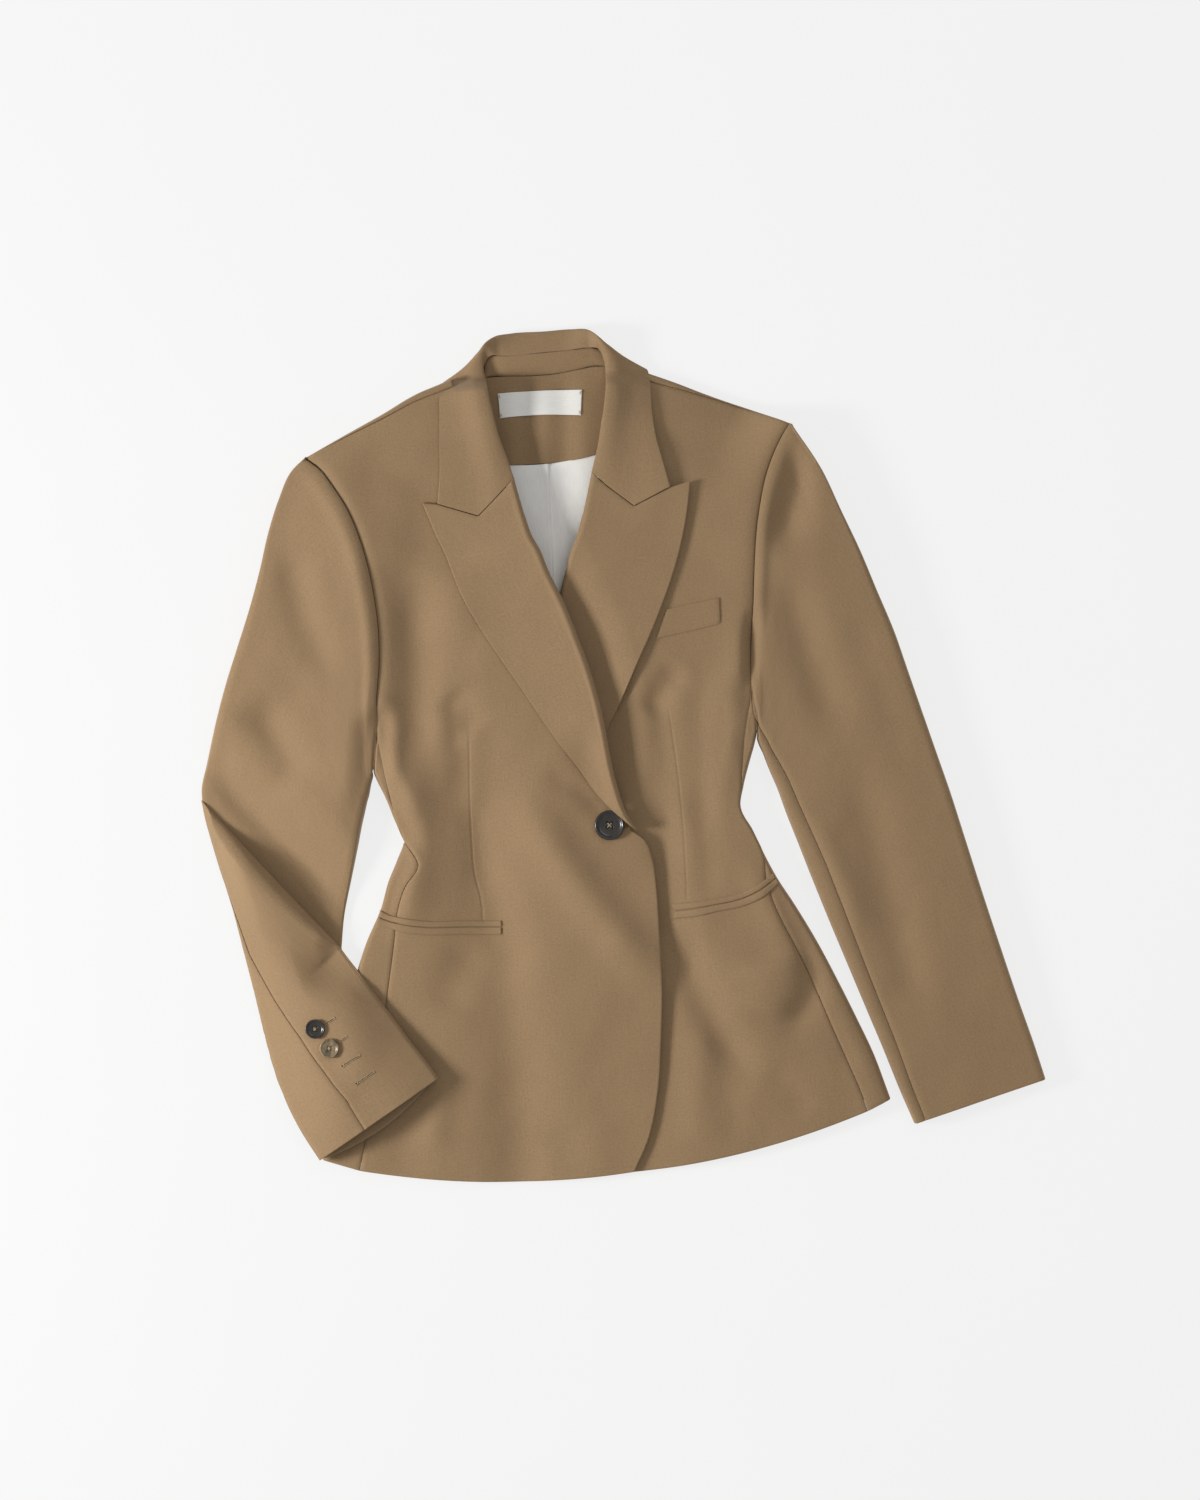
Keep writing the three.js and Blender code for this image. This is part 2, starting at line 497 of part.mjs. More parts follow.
// the forearm lies on the ground, then up over the side of the body
const SIDE_LINE = points(SIDE_RIGHT, "fold_x", "fold_y");
function foreBase(x, y) {
  const n = nearest(SIDE_LINE, x, y);
  const inside = n.side < 0;
  const clear = EDGE_HEIGHT + 2.0;
  if (y > -150) return 0;
  const hold = clear * smooth(-150, -185, y);
  return inside ? Math.max(hold, (topHeight(x, y) + 1.4) * smooth(-150, -185, y)) : hold * (1 - smooth(0, 30, n.d));
}
function foreTop(x, y) {
  const d = edgeDistance(FORE_LINES, x, y), c = nearest(CREASE, x, y).d;
  return foreBase(x, y) + (FORE_EDGE_HEIGHT / 2) * (1 + round(d, FORE_EDGE_HEIGHT / 2)) + spotHeight(FORE_SPOTS, x, y) * swell(d, 48) * (0.45 + 0.55 * swell(c, 40));
}
function foreBottom(x, y) {
  return foreBase(x, y) + (FORE_EDGE_HEIGHT / 2) * (1 - round(edgeDistance(FORE_LINES, x, y), FORE_EDGE_HEIGHT / 2));
}

// ---- a wall of cloth ----
// a surface is { verts: [{ p, n }], faces: [[a, b, c], ...] }: p is a point on the outer side
// and n its outward direction. The inner side is the outer one moved back by the thickness.
const UP = [0, 0, 1], DOWN = [0, 0, -1];
function gridSurface(grid, skip = () => false) {
  const cols = grid[0].length, faces = [];
  for (let i = 0; i + 1 < grid.length; i++) for (let j = 0; j + 1 < cols; j++) {
    if (skip(i, j)) continue;
    const a = i * cols + j, b = a + 1, c = b + cols, d = a + cols;
    faces.push([a, b, c], [a, c, d]);
  }
  const verts = grid.flat();
  const sense = faces.reduce((sum, f) => sum + agreement(verts, f), 0);
  return { verts, faces: sense < 0 ? faces.map((f) => [f[0], f[2], f[1]]) : faces };
}
// more than zero where a face agrees with its vertices' outward directions
function agreement(verts, f) {
  const [a, b, c] = f.map((k) => verts[k].p);
  const u = [b[0] - a[0], b[1] - a[1], b[2] - a[2]], v = [c[0] - a[0], c[1] - a[1], c[2] - a[2]];
  const n = [u[1] * v[2] - u[2] * v[1], u[2] * v[0] - u[0] * v[2], u[0] * v[1] - u[1] * v[0]];
  return f.map((k) => verts[k].n).reduce((s, w) => s + w[0] * n[0] + w[1] * n[1] + w[2] * n[2], 0);
}
// a flat patch inside a ring of vertices
function fillRing(verts, ring) {
  const shape = ring.map((k) => new THREE.Vector2(verts[k].p[0], verts[k].p[1]));
  return THREE.ShapeUtils.triangulateShape(shape, []).map((f) => f.map((k) => ring[k])).map((f) => (agreement(verts, f) < 0 ? [f[0], f[2], f[1]] : f));
}
function wall(surface, thick) {
  const { verts, faces } = surface;
  const position = [], index = [], map = new Map(), edges = new Map();
  const keep = (k) => { if (!map.has(k)) map.set(k, map.size); return map.get(k); };
  const tris = faces.map((f) => f.map(keep));
  const used = [...map.keys()], half = used.length;
  for (const k of used) position.push(...verts[k].p);
  for (const k of used) position.push(...verts[k].p.map((c, q) => c - verts[k].n[q] * thick));
  for (const [a, b, c] of tris) {
    index.push(a, b, c, half + a, half + c, half + b);
    for (const [p, q] of [[a, b], [b, c], [c, a]]) edges.set(p + "_" + q, [p, q]);
  }
  for (const [a, b] of edges.values()) if (!edges.has(b + "_" + a)) index.push(b, a, half + a, b, half + a, half + b);
  const geometry = new THREE.BufferGeometry();
  geometry.setAttribute("position", new THREE.Float32BufferAttribute(position, 3));
  geometry.setIndex(index);
  return outward(geometry);
}
function volume(geometry) {
  const p = geometry.getAttribute("position").array, ix = geometry.index.array;
  let v = 0;
  for (let k = 0; k < ix.length; k += 3) {
    const [a, b, c] = [ix[k] * 3, ix[k + 1] * 3, ix[k + 2] * 3];
    v += p[a] * (p[b + 1] * p[c + 2] - p[b + 2] * p[c + 1]) - p[a + 1] * (p[b] * p[c + 2] - p[b + 2] * p[c]) + p[a + 2] * (p[b] * p[c + 1] - p[b + 1] * p[c]);
  }
  return v / 6;
}
function outward(geometry) {
  if (volume(geometry) < 0) {
    const ix = geometry.index.array;
    for (let k = 0; k < ix.length; k += 3) [ix[k + 1], ix[k + 2]] = [ix[k + 2], ix[k + 1]];
  }
  const clean = mergeVertices(geometry, 1e-4);
  clean.computeVertexNormals();
  return clean;
}

// height of a faceted panel at a place, or the plain height beside it
function facetHeight(surface, plain) {
  return (x, y) => {
    let z = plain(x, y);
    for (const f of surface.faces) {
      const [a, b, c] = f.map((k) => surface.verts[k].p);
      const det = (b[1] - c[1]) * (a[0] - c[0]) + (c[0] - b[0]) * (a[1] - c[1]);
      if (Math.abs(det) < 1e-9) continue;
      const s = ((b[1] - c[1]) * (x - c[0]) + (c[0] - b[0]) * (y - c[1])) / det;
      const t = ((c[1] - a[1]) * (x - c[0]) + (a[0] - c[0]) * (y - c[1])) / det;
      if (s >= -1e-6 && t >= -1e-6 && s + t <= 1 + 1e-6) z = Math.max(z, s * a[2] + t * b[2] + (1 - s - t) * c[2]);
    }
    return z;
  };
}

// ---- body panels ----
const FRONT_COLUMNS = [0, 0.09, 0.21, 0.34, 0.48, 0.62, 0.76, 0.88, 1];
// the shoulder seam on top, where the back has turned over the fold
function seamLine(shoulder, hand) {
  return shoulder.map((s, j) => {
    const a = shoulder[Math.max(j - 1, 0)], b = shoulder[Math.min(j + 1, shoulder.length - 1)];
    const t = unit([b.x - a.x, b.y - a.y]), out = hand > 0 ? [-t[1], t[0]] : [t[1], -t[0]];
    return [s.x - out[0] * s.turn, s.y - out[1] * s.turn];
  }).filter((p, j) => shoulder[j].turn > 1);
}
function seamAt(line, x) {
  const up = line[0][0] < line.at(-1)[0] ? line : line.slice().reverse();
  if (x <= up[0][0]) return up[0][1] + (up[1][1] - up[0][1]) / (up[1][0] - up[0][0]) * (x - up[0][0]);
  for (let i = 0; i + 1 < up.length; i++) if (x <= up[i + 1][0]) return lerp(up[i][1], up[i + 1][1], (x - up[i][0]) / (up[i + 1][0] - up[i][0]));
  return up.at(-1)[1];
}
function frontGrid(rows, height, edgeInset, shoulderSeam) {
  return rows.map((r, k) => {
    const side = [r.side_x, r.side_y], edge = [r.edge_x, r.edge_y], dir = unit(minus(edge, side));
    const a = go(side, dir, SEAM_GAP / 2), b = go(edge, dir, -edgeInset(k));
    return FRONT_COLUMNS.map((s) => {
      const [x, y0] = mix(a, b, s);
      let y = y0 - r.sag * 4 * s * (1 - s);
      if (k === rows.length - 1) y = lerp(Math.min(y, seamAt(shoulderSeam, x) - 1.7), y, smooth(0.8, 1, s));
      return { p: [x, y, height(x, y)], n: UP };
    });
  });
}
const frontRightSurface = gridSurface(frontGrid(FRONT_RIGHT, topHeight, (k) => (k > 10 ? 2.6 : 0), seamLine(SHOULDER_RIGHT, -1)));
const frontRight = wall(frontRightSurface, CLOTH);
const onRight = facetHeight(frontRightSurface, topHeight);
const frontLeftSurface = gridSurface(frontGrid(FRONT_LEFT, underHeight, (k) => (k > 10 ? 2.6 : 0), seamLine(SHOULDER_LEFT, 1)));
const frontLeft = wall(frontLeftSurface, CLOTH);
const onLeft = facetHeight(frontLeftSurface, underHeight);

// a strip that turns round a folded edge: from a seam on top, over the fold, to a seam below
const TURN_ANGLES = [45, 0, -45];
function sideGrid(rows) {
  return rows.map((r) => {
    const seam = [r.seam_x, r.seam_y], fold = [r.fold_x, r.fold_y], back = [r.back_x, r.back_y];
    const out = unit(minus(fold, seam)), outBack = unit(minus(fold, back));
    const row = [];
    const top = (x, y) => Math.min(topHeight(x, y), 1e9);
    for (const s of [0, 0.33, 0.66]) {
      const [x, y] = mix(go(seam, out, SEAM_GAP / 2), go(fold, out, -EDGE_RADIUS), s);
      row.push({ p: [x, y, top(x, y)], n: UP });
    }
    row.push(...turn(fold, out, outBack));
    for (const s of [0.5, 1]) {
      const [x, y] = mix(go(fold, outBack, -EDGE_RADIUS), go(back, outBack, SEAM_GAP / 2), s);
      row.push({ p: [x, y, rise(y)], n: DOWN });
    }
    return row;
  });
}
// points round a folded edge, top to bottom
function turn(fold, outTop, outBottom, radius = EDGE_RADIUS, base = (x, y) => rise(y), top = topHeight) {
  const list = [];
  for (const angle of [90, ...TURN_ANGLES, -90]) {
    const a = (angle * Math.PI) / 180, out = angle >= 0 ? outTop : outBottom;
    const [x, y] = go(fold, out, -radius * (1 - Math.cos(a)));
    const plain = base(x, y) + radius * (1 + Math.sin(a));
    const z = angle >= 0 ? Math.max(plain, lerp(plain, top(x, y), Math.sin(a))) : plain;
    list.push({ p: [x, y, z], n: [out[0] * Math.cos(a), out[1] * Math.cos(a), Math.sin(a)] });
  }
  return list;
}
const sideRight = wall(gridSurface(sideGrid(SIDE_RIGHT)), CLOTH);
const sideLeft = wall(gridSurface(sideGrid(SIDE_LEFT)), CLOTH);

// each back half lies on the ground from the centre seam to the side, and turns over the
// shoulder fold to the shoulder seam on top
const CENTRE_BACK = { hem: [-12.3, -351], neck: [-65.9, 324.7] };
function backGrid(sides, shoulder, hand) {
  const columns = shoulder.map((s) => [s.x, s.y]);
  const share = columns.map((c) => (c[0] - columns[0][0]) / (columns.at(-1)[0] - columns[0][0]));
  const tip = columns.at(-1);
  const bottomOfArm = sides.findIndex((s) => s.arm);
  const armY = sides[bottomOfArm].p[1];
  const neckY = CENTRE_BACK.neck[1];
  const centreAt = (y) => mix(CENTRE_BACK.hem, CENTRE_BACK.neck, (y - CENTRE_BACK.hem[1]) / (neckY - CENTRE_BACK.hem[1]));
  const grid = [];
  sides.forEach((s, k) => {
    const cy = s.arm ? armY + ((s.p[1] - armY) * (neckY - armY)) / (tip[1] - armY) : s.p[1];
    const c = centreAt(cy), dir = unit(minus(s.p, c));
    const a = go(c, dir, SEAM_GAP / 2), b = go(s.p, dir, -SEAM_GAP / 2);
    const bow = s.arm ? smooth(0.45, 1, (s.p[1] - armY) / (tip[1] - armY)) : 0;
    grid.push(share.map((u, j) => {
      const straight = mix(a, b, u), chord = mix(columns[0], tip, u);
      const y = straight[1] + bow * (columns[j][1] - chord[1]);
      return { p: [straight[0], y, rise(y)], n: DOWN };
    }));
  });
  // the top edge and the turn over the shoulder
  const normal = columns.map((c, j) => {
    const t = unit(minus(columns[Math.min(j + 1, columns.length - 1)], columns[Math.max(j - 1, 0)]));
    return hand > 0 ? [-t[1], t[0]] : [t[1], -t[0]];
  });
  for (const angle of [-90, -45, 0, 45, 90, "seam"]) {
    grid.push(columns.map((c, j) => {
      const out = normal[j], turned = shoulder[j].turn > 1;
      const a = angle === "seam" ? Math.PI / 2 : (angle * Math.PI) / 180;
      const inward = angle === "seam" ? shoulder[j].turn : EDGE_RADIUS * (1 - Math.cos(a));
      let [x, y] = go(c, out, -(turned ? inward : EDGE_RADIUS));
      if (j === 0) x += (SEAM_GAP / 2) * hand;
      if (j === columns.length - 1) x -= (SEAM_GAP / 2) * hand;
      if (!turned) return { p: [x, y, rise(y)], n: DOWN };
      const plain = rise(y) + EDGE_RADIUS * (1 + Math.sin(a));
      const z = angle === "seam" ? topHeight(x, y) : a > 0 ? Math.max(plain, lerp(plain, topHeight(x, y), Math.sin(a))) : plain;
      return { p: [x, y, z], n: [out[0] * Math.cos(a), out[1] * Math.cos(a), Math.sin(a)] };
    }));
  }
  const flatRows = sides.length;
  const firstTurned = shoulder.findIndex((s) => s.turn > 1);
  // the lower part is one flat patch, the upper part keeps its rows
  const level = sides.findIndex((s) => s.arm && s.p[1] > 200);
  const surface = gridSurface(grid, (i, j) => i < level || (i >= flatRows && j < firstTurned));
  const cols = columns.length, at = (i, j) => i * cols + j;
  const ring = [at(0, 0), at(0, cols - 1)];
  for (let i = 1; i < level; i++) ring.push(at(i, cols - 1));
  for (let j = cols - 1; j >= 0; j--) ring.push(at(level, j));
  surface.faces.push(...fillRing(surface.verts, ring));
  return surface;
}
const ARM_RIGHT = FRONT_RIGHT.slice(13).map((r) => [r.side_x, r.side_y]);
const ARM_LEFT = FRONT_LEFT.slice(14).map((r) => [r.side_x, r.side_y]);
const backSides = (side, arm) => [
  ...side.slice().reverse().map((r) => ({ p: [r.back_x, r.back_y], arm: false })),
  ...arm.slice(0, -1).map((p) => ({ p, arm: true })),
];
const rightBack = backGrid(backSides(SIDE_RIGHT, ARM_RIGHT), SHOULDER_RIGHT, -1);
const leftBack = backGrid(backSides(SIDE_LEFT, ARM_LEFT), SHOULDER_LEFT, 1);

// ---- sleeves: flattened tubes; each station runs from the inner fold to the outer fold ----
const BOW = [1, 0.82, 0.66, 0.5, 0.36, 0.24, 0.14, 0.06];
function sleeveStations(rows, arm) {
  const first = rows[0];
  const inner = [first.in_x, first.in_y], outer = [first.out_x, first.out_y];
  const chord = minus(outer, inner), length = size(chord), along = unit(chord), across = [-along[1], along[0]];
  const armRun = arm.map((a) => { const v = minus(a, inner); return [(v[0] * along[0] + v[1] * along[1]) / length, (v[0] * across[0] + v[1] * across[1]) / length]; });
  return rows.map((r, k) => {
    const i = [r.in_x, r.in_y], o = [r.out_x, r.out_y], w = size(minus(o, i)), d = unit(minus(o, i)), n = [-d[1], d[0]];
    const blend = smooth(0, 6, k), bow = BOW[k] ?? 0;
    const low = EDGE_RADIUS / w, high = 1 - EDGE_RADIUS / w;
    const places = armRun.map(([s, off], j) => {
      const even = lerp(r.seam ?? low, high, (r.seam === undefined ? j + 0.5 : j) / (armRun.length - (r.seam === undefined ? 0 : 0.5)));
      const share = lerp(s, even, blend);
      return k === 0 ? arm[j] : go(go(i, d, share * w), n, off * w * bow);
    });
    return { i, o, d, w, places, k };
  });
}
function shiftArm(list, hand) { return list.map((p) => [p[0] + (hand * SEAM_GAP) / 2, p[1]]); }

// which pieces of the loop a panel takes, as a list of { at, on } where on is top or bottom
const inOut = (st) => [-st.d[0], -st.d[1]];
function roundInner(st, fromTop, base, top, radius) {
  const list = turn(st.i, inOut(st), inOut(st), radius, base, top);
  return fromTop ? list : list.reverse();
}
function roundOuter(st, fromTop, base, top, radius) {
  const list = turn(st.o, st.d, st.d, radius, base, top);
  return fromTop ? list : list.reverse();
}
const onTop = (p, top) => ({ p: [p[0], p[1], top(p[0], p[1])], n: UP });
const onBottom = (p, bottom) => ({ p: [p[0], p[1], bottom(p[0], p[1])], n: DOWN });
const seamPlace = (st, share) => go(st.i, st.d, share * st.w);

// wearer's left sleeve: straight
const leftStations = sleeveStations(SLEEVE_LEFT, shiftArm(ARM_LEFT, 1));
const nL = ARM_LEFT.length;
function topSleeveRow(st, n, top, bottom, base, radius) {
  const inset = (p, s) => go(p, st.d, s * SEAM_GAP / 2);
  return [
    onTop(inset(st.places[0], st.k === 0 ? 0 : 1), top),
    ...st.places.slice(1).map((p) => onTop(p, top)),
    ...roundOuter(st, true, base, top, radius),
    onBottom(st.places[n - 1], bottom), onBottom(inset(st.places[n - 2], 1), bottom),
  ];
}
const ground = (x, y) => rise(y);
const topLeft = wall(gridSurface(leftStations.map((st) => topSleeveRow(st, nL, topHeight, ground, ground, EDGE_RADIUS))), CLOTH);

// the under sleeve: flat below, round the inner fold, up to the front seam on top
function underSleeve(stations, n, top, base, radius) {
  const grid = stations.map((st) => [
    onBottom(go(st.places[n - 2], st.d, -SEAM_GAP / 2), base),
    ...roundInner(st, false, base, top, radius),
    onTop(go(st.places[0], st.d, -SEAM_GAP / 2), top),
  ]);
  const cols = grid[0].length;
  const surface = gridSurface(grid, (i, j) => j === 0);
  const ring = [];
  const extra = stations[0].places.slice(1, n - 2).map((p) => onBottom(p, base)); // along the armhole
  const first = surface.verts.length;
  surface.verts.push(...extra);
  for (let i = grid.length - 1; i >= 0; i--) ring.push(i * cols);
  for (let j = extra.length - 1; j >= 0; j--) ring.push(first + j);
  for (let i = 0; i < grid.length; i++) ring.push(i * cols + 1);
  surface.faces.push(...fillRing(surface.verts, ring));
  return surface;
}
const underLeft = wall(underSleeve(leftStations, nL, topHeight, ground, EDGE_RADIUS), CLOTH);

// wearer's right sleeve, upper arm: from the armhole to the elbow tuck
const rightStations = sleeveStations(SLEEVE_RIGHT_UPPER, shiftArm(ARM_RIGHT, -1));
const nR = ARM_RIGHT.length;
const TUCK = 9; // how far the upper arm's cloth runs on under the forearm
const upperRows = rightStations.map((st) => [
  onBottom(go(st.i, st.d, SLEEVE_TURN - SEAM_GAP / 2), ground),
  ...roundInner(st, false, ground, upperArmHeight, EDGE_RADIUS),
  ...st.places.map((p) => onTop(p, upperArmHeight)),
  ...roundOuter(st, true, ground, upperArmHeight, EDGE_RADIUS),
  onBottom(st.places[nR - 1], ground), onBottom(go(st.places[nR - 2], st.d, SEAM_GAP / 2), ground),
]);
const lastUpper = rightStations.at(-1);
const beyond = unit([lastUpper.d[1], -lastUpper.d[0]]);
const ahead = beyond[1] < 0 ? beyond : [-beyond[0], -beyond[1]];
upperRows.push(upperRows.at(-1).map((v, j) => {
  const k = j - 6, s = clamp(k / (nR - 1), 0, 1);
  const reach = TUCK * Math.sin(Math.PI * s) ** 0.7;
  const [x, y] = go([v.p[0], v.p[1]], ahead, Math.max(reach, 0.01));
  return { p: [x, y, v.p[2] - 2.2 * (reach / TUCK)], n: v.n };
}));
const tongueRow = upperRows.length - 2;
const topRightUpper = wall(gridSurface(upperRows, (i, j) => i === tongueRow && (j < 9 || j >= 3 + nR)), CLOTH);
// its under sleeve is flat on the ground
const flatUpper = rightStations.map((st) => [onBottom(go(st.i, st.d, SLEEVE_TURN + SEAM_GAP / 2), ground), onBottom(go(st.places[nR - 2], st.d, -SEAM_GAP / 2), ground)]);
const underUpperSurface = (() => {
  const verts = flatUpper.flat(), ring = [];
  const first = verts.length, arm = rightStations[0].places.slice(1, nR - 2).map((p) => onBottom(p, ground));
  verts.push(...arm);
  for (let i = flatUpper.length - 1; i >= 0; i--) ring.push(i * 2 + 1);
  for (let j = arm.length - 1; j >= 0; j--) ring.push(first + j);
  for (let i = 0; i < flatUpper.length; i++) ring.push(i * 2);
  return { verts, faces: fillRing(verts, ring) };
})();
const underRightUpper = wall(underUpperSurface, CLOTH);

// wearer's right forearm: from the elbow tuck to the cuff
const FORE_RADIUS = FORE_EDGE_HEIGHT / 2;
const CUFF_DIP = 8; // the far layer of the cuff reaches past the near one
const foreRows = SLEEVE_RIGHT_FORE.map((r, k) => {
  const i = [r.in_x, r.in_y], o = [r.out_x, r.out_y], w = size(minus(i, o)), d = unit(minus(i, o)); // d runs from the outer to the inner edge
  return { k, i, o, w, d, seam: Math.max(r.seam * w, FORE_RADIUS + 0.4) };
});
const foreTurn = (st, inner, fromTop) => {
  const fold = inner ? st.i : st.o, out = inner ? st.d : [-st.d[0], -st.d[1]];
  const list = turn(fold, out, out, FORE_RADIUS, foreBase, foreTop);
  return fromTop ? list : list.reverse();
};
const foreTopGrid = foreRows.map((st) => {
  const start = st.seam + SEAM_GAP / 2, end = st.w - FORE_RADIUS;
  const row = [];
  for (let j = 0; j < 7; j++) row.push(onTop(go(st.o, st.d, lerp(start, end, j / 7)), foreTop));
  row.push(...foreTurn(st, true, true), onBottom(go(st.o, st.d, st.w - SLEEVE_TURN + SEAM_GAP / 2), foreBottom));
  return row;
});
const foreTopSurface = gridSurface(foreTopGrid);
const topRightFore = wall(foreTopSurface, CLOTH);
const onFore = facetHeight(foreTopSurface, foreTop);
const foreUnderGrid = foreRows.map((st) => {
  const last = st.k === foreRows.length - 1;
  const row = [onTop(go(st.o, st.d, st.seam - SEAM_GAP / 2), foreTop), ...foreTurn(st, false, true)];
  const along = [st.d[1], -st.d[0]];
  for (const s of [0.16, 0.36, 0.58, 0.8, 1]) {
    let p = go(st.o, st.d, lerp(FORE_RADIUS, st.w - SLEEVE_TURN - SEAM_GAP / 2, s));
    if (last) p = go(p, along, CUFF_DIP * Math.sin(Math.PI * s) ** 0.8);
    row.push(onBottom(p, foreBottom));
  }
  return row;
});
const underRightFore = wall(gridSurface(foreUnderGrid), CLOTH);

function spline(list, t) { // list of [x, y, z]
  const i = Math.min(Math.floor(t), list.length - 2), f = t - i;
  const q = (k) => list[clamp(k, 0, list.length - 1)];
  return [0, 1, 2].map((c) => cubic(q(i - 1)[c], q(i)[c], q(i + 1)[c], q(i + 2)[c], f));
}
const COLLAR_COLUMNS = ["in", "fold", "near", "mid", "rim"];
const COLLAR_STEPS = [0, 0.5, 1, 1.4, 2, 2.5, 3, 3.5, 4];
// the gorge: the lapel's top edge follows the end of the collar, then runs out to its peak
function gorgeLine(row, tip) {
  const net = COLLAR_COLUMNS.map((c) => [row[c + "_x"], row[c + "_y"], 0]);
  const line = COLLAR_STEPS.filter((t) => t >= 1).map((t) => spline(net, t)).map(([x, y], i) => ({ x, y: y - GORGE_GAP * (i === 0 ? 2 : 1.2) }));
  line.push(tip);
  let run = 0;
  line.forEach((p, i) => { if (i) run += Math.hypot(p.x - line[i - 1].x, p.y - line[i - 1].y); p.run = run; });
  return line.map((p) => ({ x: p.x, y: p.y, share: p.run / run }));
}

// ---- lapels: each rolls out of its front's edge and lies back on the front ----
function lapel(rows, gorge, height) {
  const sections = rows.map((r) => ({ roll: [r.roll_x, r.roll_y], out: [r.out_x, r.out_y], rollHeight: r.roll, lift: r.lift, line: null }));
  const last = sections.at(-1);
  sections.push({ roll: [gorge[0].x, gorge[0].y], out: [gorge.at(-1).x, gorge.at(-1).y], rollHeight: last.rollHeight, lift: last.lift, line: gorge });
  return gridSurface(sections.map((s) => {
    const w = size(minus(s.out, s.roll)), far = unit(minus(s.out, s.roll));
    const flat = s.line ? unit(minus([s.line[1].x, s.line[1].y], s.roll)) : far;
    const radius = Math.min((s.rollHeight + CLOTH) / 2, w * 0.4);
    const middle = height(...go(s.roll, flat, radius)) - CLOTH + radius;
    const row = [];
    for (const angle of [-90, -30, 30, 90]) {
      const a = (angle * Math.PI) / 180;
      const [x, y] = go(s.roll, flat, radius * (1 - Math.cos(a)));
      row.push({ p: [x, y, middle + radius * Math.sin(a)], n: [-flat[0] * Math.cos(a), -flat[1] * Math.cos(a), Math.sin(a)] });
    }
    const start = radius / w;
    const shares = s.line ? s.line.slice(1).map((g) => g.share) : gorge.slice(1).map((g) => lerp(start, 1, g.share));
    shares.forEach((share, q) => {
      const [x, y] = s.line ? [s.line[q + 1].x, s.line[q + 1].y] : go(s.roll, far, share * w);
      const low = s.lift + LAPEL_CLOTH, high = Math.max(low, 2 * radius - CLOTH);
      row.push({ p: [x, y, height(x, y) + low + (high - low) * (1 - share) ** 1.6], n: UP });
    });
    return row;
  }));
}
const lapelRight = wall(lapel(LAPEL_RIGHT, gorgeLine(COLLAR[0], LAPEL_TIPS.right), onRight), LAPEL_CLOTH);
const lapelLeft = wall(lapel(LAPEL_LEFT, gorgeLine(COLLAR.at(-1), LAPEL_TIPS.left), onLeft), LAPEL_CLOTH);

// ---- collar: from one leaf round the back of the neck to the other ----
function collarSurface(steps) {
  const middle = COLLAR.findIndex((r) => r.fold_z === 6.5);
  const net = COLLAR.map((r, k) => {
    const height = k < middle ? onRight : onLeft;
    return COLLAR_COLUMNS.map((c) => {
      const x = r[c + "_x"], y = r[c + "_y"], z = r[c + "_z"];
      return [x, y, r.on ? z + height(x, y) : z];
    });
  });
  const grid = net.map((row) => steps.map((t) => spline(row, t)));
  const normals = grid.map((row, i) => row.map((p, j) => {
    const a = grid[Math.min(i + 1, grid.length - 1)][j], b = grid[Math.max(i - 1, 0)][j];
    const c = row[Math.min(j + 1, row.length - 1)], d = row[Math.max(j - 1, 0)];
    const u = new THREE.Vector3(a[0] - b[0], a[1] - b[1], a[2] - b[2]), v = new THREE.Vector3(c[0] - d[0], c[1] - d[1], c[2] - d[2]);
    const n = v.clone().cross(u).normalize();
    // the two ends are cut square, along the gorge
    if (i === 0 || i === grid.length - 1) n.y = 0, n.normalize();
    return [n.x, n.y, n.z];
  }));
  const flip = normals[2][5][2] < 0 ? -1 : 1;
  return gridSurface(grid.map((row, i) => row.map((p, j) => ({ p: [p[0], p[1], Math.max(p[2], 0)], n: normals[i][j].map((c) => c * flip) }))));
}
const collar = wall(collarSurface(COLLAR_STEPS), COLLAR_CLOTH);
const band = (rows, a, b, steps, extra) => gridSurface(rows.map((r) => steps.map((s) => {
  const x = lerp(r[a + "_x"], r[b + "_x"], s), y = lerp(r[a + "_y"], r[b + "_y"], s) - (r.sag ?? 0) * 4 * s * (1 - s);
  return { p: [x, y, extra(x, y, r, s)], n: UP };
})));
const stand = wall(band(STAND, "top", "foot", [0, 0.5, 1], (x, y, r, s) => lerp(r.top_z, r.foot_z, s)), CLOTH);

// ---- inside the back of the neck, where it shows ----
const onBack = (lift) => (x, y) => rise(y) + CLOTH + lift;
const facing = wall(band(FACING, "foot", "low", [0.01, 0.5, 0.99], onBack(LAID_GAP + THIN_CLOTH)), THIN_CLOTH);
const lining = wall(band(LINING, "a", "b", [0, 0.25, 0.5, 0.75, 1], onBack(LAID_GAP + THIN_CLOTH)), THIN_CLOTH);
const label = wall(gridSurface(LABEL.map((r) => [0, 0.25, 0.5, 0.75, 1].map((s) => {
  const x = lerp(r.a_x, r.b_x, s), y = lerp(r.a_y, r.b_y, s) - r.sag * 4 * s * (1 - s);
  return { p: [x, y, onBack(2 * (LAID_GAP + THIN_CLOTH))(x, y)], n: UP };
}))), THIN_CLOTH);

// ---- pockets ----
const onCloth = (height) => (x, y) => height(x, y) + LAID_GAP + JET_CLOTH;
const jet = (rows, a, b, height) => wall(band(rows, a, b, [0.06, 0.94], onCloth(height)), JET_CLOTH);
const welt = wall(band(CHEST_WELT, "top", "low", [0, 0.5, 1], onCloth(onLeft)), JET_CLOTH);

